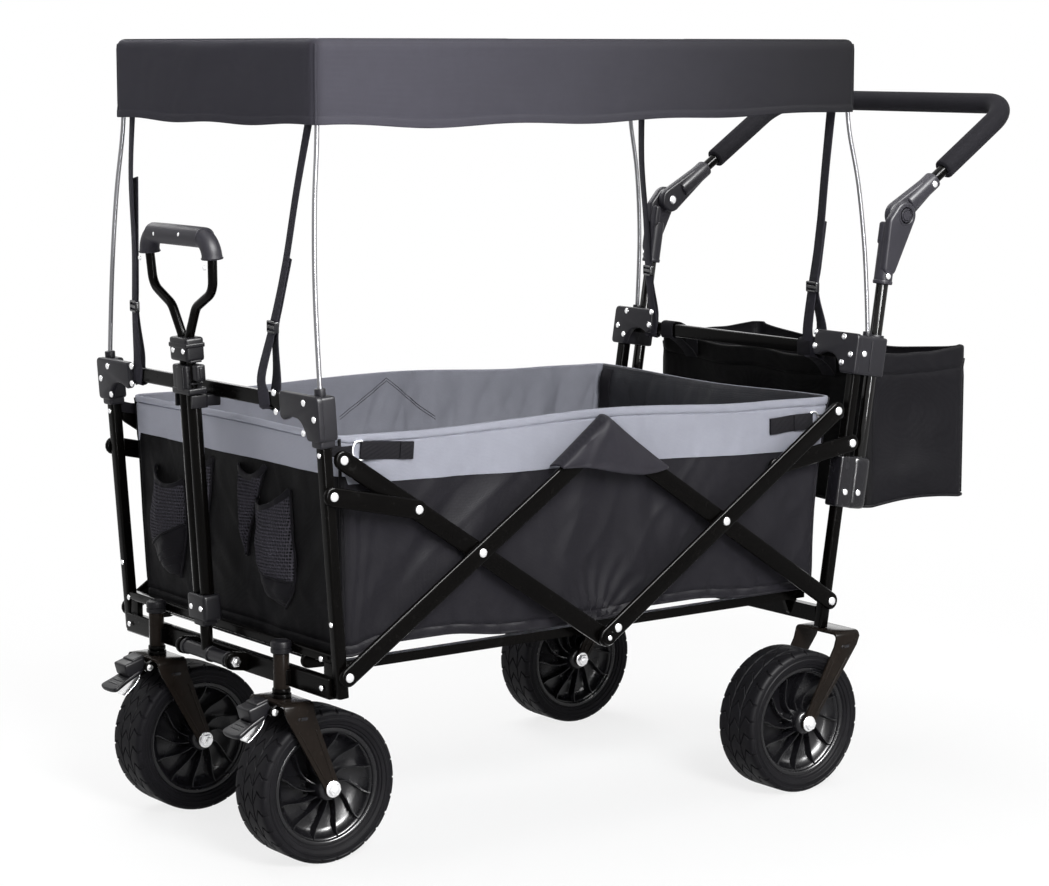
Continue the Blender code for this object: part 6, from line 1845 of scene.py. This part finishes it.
def canopy_cloth():
    """The roof: a flat top that dips between its rods, and a skirt with a stitched hem."""
    x0, x1, half, top_z = -0.4165, 0.4465, 0.2445, 1.0185
    radius = 0.014
    line = box_line(x0, x1, half, radius, 120, 64, 5)
    levels = []
    hem_shares = [0, 0.02, 0.05, 0.085, 0.10, 0.115, 0.13, 0.18]
    for share in hem_shares + [0.25, 0.34, 0.43, 0.52, 0.61, 0.70, 0.79, 0.88, 0.95, 1]:
        level = []
        for point, way, wall, t in line:
            hem = canopy_hem(*wall_place(wall, t))
            z = hem + (top_z - 0.012 - hem) * share
            edge = math.sin(math.pi * t) ** 0.5 if wall != "corner" else 0.0
            push = ripple(point.x, point.y, z * 0.5, 5.0, 11.0) * 0.0045 * (1 - share * 0.5)
            push += ripple(point.x, point.y, z, 17.0, 4.0) * 0.0012
            push += 0.0022 * math.sin(point.x * 11.0 + 0.8) * (1 - share)
            push = push * edge
            push += 0.0009 * (1 - smoothstep(0.085, 0.13, share))
            push -= 0.0007 * math.exp(-((share - 0.115) / 0.02) ** 2)
            z += 0.0018 * math.sin(point.x * 26.0 + point.y * 31.0) * (1 - share) * edge
            level.append(here(point.x + way.x * push, point.y + way.y * push, z))
        levels.append(level)
    for turn in (22, 45, 68, 90):
        a = math.radians(turn)
        inset = 0.010 * (1 - math.cos(a))
        level = []
        for point, way, wall, t in line:
            level.append(here(point.x - way.x * inset, point.y - way.y * inset,
                              top_z - 0.010 + 0.010 * math.sin(a)))
        levels.append(level)
    for share in (0.03, 0.07, 0.12, 0.2, 0.3, 0.42, 0.54, 0.66, 0.78, 0.88, 0.95, 0.985):
        level = []
        for point, way, wall, t in line:
            y = point.y * (1 - share)
            off = point.x - (x0 + x1) / 2
            spine = (x1 - x0) / 2 - half
            held = min(max(off, -spine), spine)
            x = (x0 + x1) / 2 + held + (off - held) * (1 - share)
            long_share = (x - x0) / (x1 - x0)
            cross = 1 - (y / half) ** 2
            dip = 0.016 * math.sin(math.pi * min(max(long_share, 0), 1)) ** 0.8 * (0.35 + 0.65 * cross)
            dip += 0.0022 * ripple(x, y, 0, 6.0, 2.0) * cross
            level.append(here(x, y, top_z - dip * smoothstep(0.0, 0.16, share)))
        levels.append(level)
    roof = lofted("canopy_cloth", levels, "canopy", capped=False, sharp=60)
    close_last_ring(roof, line, len(levels))
    thickened(roof, 0.0014)
    seams = corner_seams(roof, x0, x1, half, 0.004, (0.9175, top_z - 0.006, 14), circle(0.0015, 10), "canopy")
    obj = joined("canopy_cloth", [roof, *seams])
    placed(obj, "front_frame", "black_fabric", "canopy")
    folds_away(obj, -0.4085)


def corner_seams(cloth, x0, x1, half, inset, rise, outline, finish):
    """The piped seams up a cloth box's four corners; rise is its foot, its top and how many points."""
    mesh = cloth.data
    tree = BVHTree.FromPolygons([v.co for v in mesh.vertices], [p.vertices[:] for p in mesh.polygons])
    low, high, count = rise
    seams = []
    for sx, x in ((-1, x0), (1, x1)):
        for side in (-1, 1):
            way = Vector((sx, side, 0)).normalized()
            path = []
            for i in range(count):
                z = low + (high - low) * i / (count - 1)
                path.append(laid_on(tree, here(x - sx * inset, side * (half - inset), z), way, 0.0004))
            seams.append(sweep("seam", path, outline, finish, ends=0.0008))
    return seams


def close_last_ring(obj, line, count):
    """Fill the roof's innermost ring: strips across it, and its two ends."""
    bm = bmesh.new()
    bm.from_mesh(obj.data)
    bm.verts.ensure_lookup_table()
    size = len(line)
    base = (count - 1) * size
    near = [i for i, place in enumerate(line) if place[2] == "near"]
    far = [i for i, place in enumerate(line) if place[2] == "far"][::-1]
    for (a, b), (c, d) in zip(zip(near, near[1:]), zip(far, far[1:])):
        bm.faces.new([bm.verts[base + i] for i in (a, b, d, c)])
    ends = [list(range(near[-1], far[-1] + 1)), [*range(far[0], size), near[0]]]
    for end in ends:
        bm.faces.new([bm.verts[base + i] for i in end])
    bmesh.ops.recalc_face_normals(bm, faces=bm.faces)
    bm.to_mesh(obj.data)
    bm.free()
    obj.data.shade_smooth()


def canopy_rods():
    """The two grey rods that rise from the corner brackets and run across under the roof."""
    for label, end, out, y, top, canopy_x, bow, body in (
        ("front", FRONT, 0.0, FRONT_POST_Y, FRONT_TOP, -0.4165, 0.006, "front_frame"),
        ("rear", REAR, 0.0155, REAR_POST_Y, REAR_TOP, 0.4465, 0.012, "rear_frame"),
    ):
        top += BRACKET_HEIGHT - BRACKET_OVERLAP
        seat = top - 0.0137
        inset = 0.009
        rod_z = 1.019 - 0.003 - 0.003 - 0.002
        rod_x, rod_y, skirt_z = canopy_x - end.sign * inset, 0.2445 - inset, 0.916
        offset = Vector((SCISSOR_X, 0, GROUND_Z))
        half = []
        for share, bulge in ((0.0, 0.0), (0.12, 0.0), (0.4, 1.0), (0.7, 0.9), (0.92, 0.2)):
            base = end.at(out, y, seat) - offset
            if share == 0.12:
                spot = end.at(out, y, top + 0.004) - offset
                half.append((spot.x, spot.y, spot.z))
                continue
            z = base.z + (skirt_z - base.z) * share
            x = base.x + (rod_x - base.x) * share + end.sign * bow * bulge
            half.append((x, base.y + (rod_y - base.y) * share, z))
        half.append((rod_x, rod_y, skirt_z + 0.012))
        near = curve_through([here(*p) for p in half], 6)
        corner = rounded_path([near[-1], here(rod_x, rod_y, rod_z), here(rod_x, 0, rod_z)], 0.022, 7)
        side_line = near[:-1] + corner
        mirrored = [Vector((p.x, -p.y, p.z)) for p in reversed(side_line[:-1])]
        obj = sweep(f"canopy_rod_{label}", side_line + mirrored, circle(0.0030, 14), "rod")
        placed(obj, body, "canopy_rod_steel", f"canopy_hoop_{label}")


def strap_line(start, bar, foot_y, side, tail):
    """A strap's way down, round the crossbar and up its own back to the tail's end."""
    front, back = Vector((-0.0056, 0, 0)), Vector((0.0056, 0, 0))
    foot = Vector((bar.x, side * foot_y, bar.z))
    outward = Vector((0, side * 0.012, 0))
    slider = start.lerp(foot + front, 0.74) + Vector((-0.003, 0, 0))
    down = curve_through([
        start, start.lerp(slider, 0.34) + Vector((-0.002, side * 0.003, 0)),
        start.lerp(slider, 0.7) + Vector((0.001, side * 0.002, 0)), slider,
        foot + front + Vector((-0.0015, 0, 0.030)), foot + front + Vector((0, 0, 0.009)),
    ], 6)
    under = [foot + front + outward * 0.3 + Vector((0, 0, -0.009))]
    for a in (30, 60, 90, 120, 150):
        turn = math.radians(a)
        under.append(foot + front * math.cos(turn) + outward * (0.3 + a / 450)
                     + Vector((0, 0, -0.009 - 0.0035 * math.sin(turn))))
    up = curve_through([
        foot + back + outward * 0.8 + Vector((0, 0, -0.009)), foot + back + outward + Vector((0, 0, 0.010)),
        foot + back + outward * 1.05 + Vector((0.001, 0, 0.034)),
        slider + Vector((0.0030, side * 0.0006, -0.004)),
        slider.lerp(start, 0.12) + Vector((0.0026, side * 0.001, 0)),
        slider.lerp(start, tail) + Vector((0.0032, side * 0.0014, 0)),
    ], 6)
    return slider, down + under + up


def canopy_straps(sizes):
    """A webbing strap at each corner: round the crossbar and back up through its slider."""
    front_bar, rear_bar = bar_middle(FRONT), bar_middle(REAR)
    spots = (
        ("front_left", -1, "front_frame", (-0.4010, 0.2085, 0.925), front_bar, 0.135, 12, 0.34),
        ("front_right", 1, "front_frame", (-0.4010, 0.2240, 0.925), front_bar, 0.178, 14, 0.66),
        ("rear_left", -1, "rear_frame", (0.4330, 0.2090, 0.925), rear_bar, 0.159, 14, 0.38),
        ("rear_right", 1, "rear_frame", (0.4330, 0.2010, 0.925), rear_bar, 0.184, 18, 0.30),
    )
    width = sizes.strap_width
    for name, side, body, top, bar, foot_y, twist, tail in spots:
        start = here(top[0], side * top[1], top[2])
        slider, path = strap_line(start, bar, foot_y, side, tail)
        across = []
        for i in range(len(path)):
            t = i / (len(path) - 1)
            turn = math.radians(twist * (1 - smoothstep(0.34, 0.52, t) + smoothstep(0.66, 0.8, t))
                                + 4 * math.sin(t * 11.0))
            across.append(Vector((math.sin(turn), math.cos(turn), 0)))
        strap = ribbon("strap", path, across, width, 0.0016, "strap")
        placed(joined(f"canopy_strap_{name}", [strap]), body, "black_fabric")
        loops = [rounded_box(width + 0.0050, 0.0150, 0.0022)]
        hole = rounded_box(width + 0.0006, 0.0026, 0.0008)
        loops += [[(u, v + way * 0.0034) for u, v in hole] for way in (-1, 1)]
        matrix = Matrix.Translation(slider) @ Matrix.Rotation(-math.radians(twist), 4, "Z") @ FACING_FRONT
        frame_ring = slab("slider", loops, 0.0062, 0.0010, "gloss_plastic", matrix)
        ring = placed(joined(f"strap_slider_{name}", [frame_ring]), body, "dark_plastic")


# Rear bag

def rear_bag():
    """The bag behind the wagon: soft walls, a deep stitched hem and a slack rim."""
    x0, x1, half = 0.491, 0.687, 0.2255
    foot_z, top_z = 0.3735, 0.586
    line = box_line(x0, x1, half, 0.015, 80, 100, 6)

    def rim_z(wall, t):
        ripples = 0.0022 * math.sin(t * 15.0 + 0.6) * math.sin(math.pi * t) ** 2
        if wall in ("near", "far"):
            return top_z - 0.0045 * math.sin(math.pi * t) + ripples * 0.3
        if wall == "rear":
            return top_z - 0.013 * math.sin(math.pi * t) ** 0.6 + ripples
        return top_z - 0.002 - 0.010 * math.sin(math.pi * t) ** 0.6 + ripples * 1.4

    def spot(place, share, inset, inner):
        point, way, wall, t = place
        edge_wall, edge_t = wall_place(wall, t)
        top = rim_z(edge_wall, edge_t)
        bow = 0.010 * math.sin(math.pi * edge_t)
        z = foot_z + (top - foot_z) * share + bow * (1 - share) * 0.6
        edge = math.sin(math.pi * t) ** 0.5 if wall != "corner" else 0.0
        loose = math.sin(math.pi * min(share * 0.9 + 0.05, 1.0)) ** 0.6
        push = ripple(point.x, point.y, z, 7.0, 31.0) * 0.0060
        push += ripple(point.x, point.y, z, 19.0, 9.0) * 0.0016
        push *= edge * loose
        push -= 0.0060 * edge * math.exp(-((share - 0.55) / 0.28) ** 2)
        push += 0.0040 * edge * math.exp(-((share - 0.16) / 0.10) ** 2)
        if wall == "rear":
            push -= 0.010 * edge * smoothstep(0.5, 1.0, share)
            push += 0.0032 * math.sin(point.y * 46.0 + z * 30.0) * edge * loose
        if wall == "front":
            push += 0.0030 * math.sin(point.y * 38.0 - z * 25.0) * edge * loose
        if share > 0.872:
            push += 0.0011
        push -= 0.0010 * math.exp(-((share - 0.868) / 0.008) ** 2)
        if inner:
            push -= inset + abs(ripple(point.x, point.y, z, 9.0, 3.0)) * 0.004 * loose
        return here(point.x + way.x * push, point.y + way.y * push, z)

    shares = [i / 22 * 0.86 for i in range(23)] + [0.866, 0.872, 0.88, 0.90, 0.93, 0.96, 0.985, 1.0]
    levels = [[spot(place, share, 0, False) for place in line] for share in shares]
    rim = levels[-1]
    for lift, inset in ((0.0020, 0.0010), (0.0028, 0.0028), (0.0018, 0.0046)):
        levels.append(drawn_in(rim, line, inset, lift))
    levels += [[spot(place, 1 - i / 16, 0.0034, True) for place in line] for i in range(17)]
    for inset, lift in ((0.010, 0.0005), (0.05, 0.0), (0.10, 0.0)):
        ring = []
        for point, way, wall, t in line:
            x = point.x + ((x0 + x1) / 2 - point.x) * min(inset / ((x1 - x0) / 2), 0.98)
            y = point.y * (1 - min(inset / half, 0.98)) if inset < 0.1 else point.y * 0.56
            ring.append(here(x, y, foot_z + 0.0035 + lift + 0.002 * ripple(x, y, 0, 14.0)))
        levels.append(ring)
    shell = lofted("bag_shell", levels, "bag", sharp=60)
    lift = 0.0008
    foot_line = [point + Vector((place[1].x * lift, place[1].y * lift, lift))
                 for point, place in zip(levels[0], line)]
    welt = sweep("welt", spaced(foot_line, 0.0004), circle(0.0022, 8), "bag", (0, 0, 1), closed=True)
    rise = (foot_z + 0.004, top_z - 0.016, 16)
    seams = corner_seams(shell, x0, x1, half, 0.005, rise, circle(0.0014, 8), "bag")
    bag = joined("rear_bag_cloth", [shell, welt, *seams])
    placed(bag, "rear_frame", "black_fabric", "rear_bag")
    bar = bar_middle(REAR)
    round_bar = ((0.020, 0.006), (0.006, 0.0118), (-0.0052, 0.0105), (-0.0066, -0.004),
                 (-0.0045, -0.0112), (0.006, -0.0112))
    loops = []
    for y in (-0.150, 0.150):
        path = [here(x0 + x, y, top_z + z) for x, z in ((0.001, -0.030), (-0.001, -0.010), (-0.008, 0.002))]
        path += [Vector((bar.x + x, y, bar.z + z)) for x, z in round_bar]
        path += [here(x0 + x, y, top_z + z) for x, z in ((-0.012, -0.020), (-0.001, -0.034))]
        loops.append(ribbon("loop", curve_through(path, 4), (0, 1, 0), 0.026, 0.0016, "tab"))
    loop = placed(joined("bag_loops", loops), "rear_frame", "black_fabric")


# Stage

def lamp(name, place, target, size, power, gloss_only=False):
    """A soft rectangular lamp; a gloss_only one is mirrored but lights nothing else."""
    light = bpy.data.lights.new(name, "AREA")
    light.shape = "RECTANGLE"
    light.size, light.size_y = size
    light.energy = power
    obj = bpy.data.objects.new(name, light)
    bpy.context.scene.collection.objects.link(obj)
    obj.location = place
    obj.visible_diffuse = not gloss_only
    obj.rotation_euler = (Vector(target) - obj.location).to_track_quat("-Z", "Y").to_euler()


def white_behind(light):
    """The studio's world: white where it is looked at, and dim where it lights."""
    world = bpy.data.worlds.new("pale_studio")
    bpy.context.scene.world = world
    studio = Nodes(world)
    ground = world.node_tree.nodes["Background"]
    ground.inputs["Color"].default_value = (1, 1, 1, 1)
    strength = studio.node("ShaderNodeMix", None, {0: studio.seen_or_mirrored(), 2: light.ambient, 3: 1.0})
    studio.tree.links.new(strength.socket, ground.inputs["Strength"])


def pale_floor(light):
    """A matt floor that keeps the wagon's shadow and turns to plain white further out."""
    material = bpy.data.materials.new("pale_floor")
    floor = Nodes(material)
    floor.tree.nodes.clear()
    matt = floor.node("ShaderNodeBsdfDiffuse", None, {"Color": (0.92, 0.92, 0.92, 1)})
    place = floor.node("ShaderNodeNewGeometry", output="Position")
    away = floor.node("ShaderNodeVectorMath", {"operation": "LENGTH"}, {0: place}, "Value")
    stops = {"From Min": light.floor_near, "From Max": light.floor_far, "To Min": light.floor_glow}
    far = floor.node("ShaderNodeMapRange", {"interpolation_type": "SMOOTHSTEP"}, {"Value": away, **stops})
    white = floor.node("ShaderNodeEmission")
    mask = floor.seen_or_mirrored() * far
    surface = floor.node("ShaderNodeMixShader", None, {0: mask, 1: matt, 2: white})
    floor.node("ShaderNodeOutputMaterial", None, {"Surface": surface})
    half = 20.0
    corners = [(-half, -half, 0), (half, -half, 0), (half, half, 0), (-half, half, 0)]
    mesh = bpy.data.meshes.new("studio_floor")
    mesh.from_pydata(corners, [], [(0, 1, 2, 3)])
    mesh.materials.append(material)
    plane = bpy.data.objects.new("studio_floor", mesh)
    bpy.context.scene.collection.objects.link(plane)


def set_stage(light):
    scene = bpy.context.scene
    scene.view_settings.view_transform = "Standard"
    white_behind(light)
    pale_floor(light)
    middle = (0, 0, 0.5)
    lamp("key_light", (-0.9, -2.9, 2.1), middle, (1.1, 1.1), light.key)
    lamp("edge_light", (0.1, -2.6, 3.0), middle, (2.6, 0.8), light.edge, True)
    lamp("streak_light", (-0.4, -3.4, 1.0), middle, (0.12, 1.8), light.streak, True)
    lamp("fill_light", (-3.2, 2.3, 1.9), middle, (1.2, 1.2), light.fill)
    lamp("top_light", (0.0, 0.6, 4.2), middle, (3.0, 3.0), light.top)
    lamp("rear_light", (0.4, 3.6, 3.1), middle, (2.2, 1.3), light.rear)

    data = bpy.data.cameras.new("photo_camera")
    camera = bpy.data.objects.new("photo_camera", data)
    scene.collection.objects.link(camera)
    data.sensor_fit = "HORIZONTAL"
    data.sensor_width = 36.0
    data.lens = light.lens
    camera.location = light.camera_place
    yaw, pitch = light.camera_yaw, light.camera_pitch
    forward = Vector((math.cos(yaw) * math.cos(pitch), math.sin(yaw) * math.cos(pitch), -math.sin(pitch)))
    camera.rotation_euler = forward.to_track_quat("-Z", "Y").to_euler()
    scene.camera = camera


# Add-on

def length(name, description, default):
    least, most = 0.0005, 0.05
    return FloatProperty(
        name=name, description=description, default=default, min=least, max=most, unit="LENGTH"
    )


def power(name, description, default):
    return FloatProperty(name=name, description=description, default=default, min=0.0, unit="POWER")


def colour(name, description, default):
    return FloatVectorProperty(
        name=name, description=description, default=default, size=3, min=0.0, max=1.0, subtype="COLOR"
    )


class WagonSizes(bpy.types.PropertyGroup):
    rivet: length("Rivet head", "Diameter of the domed heads on the side bars", 0.0115)
    bar_edge: length("Bar edge", "Radius of the side bars' edges", 0.0028)
    tube_corner: length("Tube corner", "Radius of the square posts' corners", 0.0032)
    tread_depth: length("Tread depth", "Depth of the grooves in the tyres", 0.0016)
    tab_width: length("Tab width", "Width of the webbing tabs on the band", 0.0220)
    strap_width: length("Strap width", "Width of the canopy's straps", 0.0240)
    tread_blocks: IntProperty(name="Tread blocks", description="Grooves round each tyre", default=26, min=8)


class WagonColours(bpy.types.PropertyGroup):
    coat: colour("Metal coat", "Powder coat of the frame", (0.0013, 0.0011, 0.0010))
    fork: colour("Fork coat", "Powder coat of the forks and stems", (0.0100, 0.0076, 0.0062))
    plastic: colour("Plastic", "Moulded corners, collars and knuckles", (0.024, 0.023, 0.029))
    rubber: colour("Tyre", "Rubber of the tyres", (0.0095, 0.0090, 0.0110))
    rod: colour("Canopy rods", "Steel of the canopy's rods", (0.20, 0.20, 0.21))
    grey_cloth: colour("Grey cloth", "The body's band", (0.330, 0.338, 0.392))
    black_cloth: colour("Black cloth", "The body's walls and the bag", (0.0140, 0.0132, 0.0168))
    canopy_cloth: colour("Canopy cloth", "The roof and its straps", (0.052, 0.050, 0.064))


class WagonLight(bpy.types.PropertyGroup):
    ambient: FloatProperty(name="Ambient", description="Strength of the studio's own light", default=0.20)
    floor_glow: FloatProperty(name="Floor", description="How far the floor keeps white", default=0.80)
    floor_near: FloatProperty(
        name="Near", description="Where the floor starts to whiten", default=0.7, unit="LENGTH"
    )
    floor_far: FloatProperty(name="Far", description="Where the floor is white", default=2.0, unit="LENGTH")
    key: power("Key", "Power of the key light", 112.0)
    fill: power("Fill", "Power of the fill light", 13.0)
    edge: power("Edge", "Power of the light that only gloss shows", 1150.0)
    streak: power("Streak", "Power of the strip that upright tubes mirror", 130.0)
    top: power("Top", "Power of the top light", 90.0)
    rear: power("Rear", "Power of the rear light", 70.0)
    lens: FloatProperty(name="Lens", description="Focal length in millimetres", default=96.71)
    camera_place: FloatVectorProperty(
        name="Camera", description="Where the camera stands", default=(-2.32469, -3.05788, 1.00255),
        subtype="TRANSLATION",
    )
    camera_yaw: FloatProperty(name="Yaw", description="Turn from +X", default=0.93422, subtype="ANGLE")
    camera_pitch: FloatProperty(name="Pitch", description="Tip downward", default=0.13941, subtype="ANGLE")


class WagonStep:
    """What every operator of the wagon shares."""

    bl_options = {"REGISTER", "UNDO"}

    def execute(self, context):
        self.build(context.scene.wagon_sizes)
        return {"FINISHED"}


class WAGON_OT_finishes(WagonStep, bpy.types.Operator):
    """Make the wagon's finishes and give them to the CAD pieces that stay"""

    bl_idname = "wagon.finishes"
    bl_label = "Finishes"

    def execute(self, context):
        make_finishes(context.scene.wagon_colours)
        slots = {
            "black_powder_coat": "coat", "dark_plastic": "plastic", "tyre_rubber": "rubber",
            "grip_foam": "foam", "canopy_rod_steel": "rod", "black_fabric": "black", "grey_fabric": "band",
        }
        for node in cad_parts.values():
            for place in node.material_slots:
                name = place.material.name if place.material else ""
                place.material = FINISHES[slots.get(name.split(".")[0], "coat")]
        return {"FINISHED"}


class WAGON_OT_scissors(WagonStep, bpy.types.Operator):
    """Side bars, short links and their rivets"""

    bl_idname = "wagon.scissors"
    bl_label = "Side scissors"

    def build(self, sizes):
        side_scissors(sizes)


class WAGON_OT_front_frame(WagonStep, bpy.types.Operator):
    """Front posts, corners, crossbar and lower weldment"""

    bl_idname = "wagon.front_frame"
    bl_label = "Front frame"

    def build(self, sizes):
        front_frame(sizes)


class WAGON_OT_rear_frame(WagonStep, bpy.types.Operator):
    """Rear posts, corners, crossbar and pole sleeves"""

    bl_idname = "wagon.rear_frame"
    bl_label = "Rear frame"

    def build(self, sizes):
        rear_frame(sizes)


class WAGON_OT_wheels(WagonStep, bpy.types.Operator):
    """Tyres with their tread, and dished rims"""

    bl_idname = "wagon.wheels"
    bl_label = "Wheels"

    def build(self, sizes):
        wheels(sizes)


class WAGON_OT_casters(WagonStep, bpy.types.Operator):
    """Forks, axle nuts and brake pedals"""

    bl_idname = "wagon.casters"
    bl_label = "Forks and brakes"

    def build(self, sizes):
        casters()


class WAGON_OT_pull_handle(WagonStep, bpy.types.Operator):
    """The telescopic pull handle"""

    bl_idname = "wagon.pull_handle"
    bl_label = "Pull handle"

    def build(self, sizes):
        pull_handle()


class WAGON_OT_push_bar(WagonStep, bpy.types.Operator):
    """Poles, knuckles, push bar and its foam"""

    bl_idname = "wagon.push_bar"
    bl_label = "Push bar"

    def build(self, sizes):
        push_bar()


class WAGON_OT_canopy(WagonStep, bpy.types.Operator):
    """The roof, its rods and its straps"""

    bl_idname = "wagon.canopy"
    bl_label = "Canopy"

    def build(self, sizes):
        canopy_rods()
        canopy_cloth()
        canopy_straps(sizes)


class WAGON_OT_body(WagonStep, bpy.types.Operator):
    """The fabric tub with its trim, pockets and side flaps"""

    bl_idname = "wagon.body"
    bl_label = "Fabric body"

    def build(self, sizes):
        tub, mats = body_cloth()
        sewn_on = [*mats, *body_trim(tub, sizes), lining_details(tub)]
        front_pockets(tub)
        for name, side in SIDES:
            side_flap(name, side)


class WAGON_OT_bag(WagonStep, bpy.types.Operator):
    """The rear bag and its loops"""

    bl_idname = "wagon.bag"
    bl_label = "Rear bag"

    def build(self, sizes):
        rear_bag()


class WAGON_OT_stage(WagonStep, bpy.types.Operator):
    """The pale floor, the studio's lights and the camera"""

    bl_idname = "wagon.stage"
    bl_label = "Stage"

    def execute(self, context):
        set_stage(context.scene.wagon_light)
        return {"FINISHED"}


STEPS = (
    WAGON_OT_stage, WAGON_OT_finishes, WAGON_OT_scissors, WAGON_OT_front_frame, WAGON_OT_rear_frame,
    WAGON_OT_wheels, WAGON_OT_casters, WAGON_OT_pull_handle, WAGON_OT_push_bar, WAGON_OT_canopy,
    WAGON_OT_body, WAGON_OT_bag,
)


class WAGON_PT_panel(bpy.types.Panel):
    """The wagon's steps, sizes and colours"""

    bl_idname = "WAGON_PT_panel"
    bl_label = "Folding wagon"
    bl_space_type = "VIEW_3D"
    bl_region_type = "UI"
    bl_category = "Wagon"

    def draw(self, context):
        for group in (context.scene.wagon_sizes, context.scene.wagon_colours, context.scene.wagon_light):
            box = self.layout.box()
            for name in group.__annotations__:
                box.prop(group, name)
        for step in STEPS:
            self.layout.operator(step.bl_idname)


GROUPS = {"wagon_sizes": WagonSizes, "wagon_colours": WagonColours, "wagon_light": WagonLight}


def register():
    for group in GROUPS.values():
        bpy.utils.register_class(group)
    for step in STEPS:
        bpy.utils.register_class(step)
    bpy.utils.register_class(WAGON_PT_panel)
    for name, group in GROUPS.items():
        setattr(bpy.types.Scene, name, PointerProperty(type=group))


def unregister():
    for name in GROUPS:
        delattr(bpy.types.Scene, name)
    for made in (WAGON_PT_panel, *STEPS, *GROUPS.values()):
        bpy.utils.unregister_class(made)


def plain(box):
    return [[float(value) for value in corner] for corner in box]


def main():
    register()
    for step in STEPS:
        group, name = step.bl_idname.split(".")
        getattr(getattr(bpy.ops, group), name)()


if __name__ == "__main__":
    main()
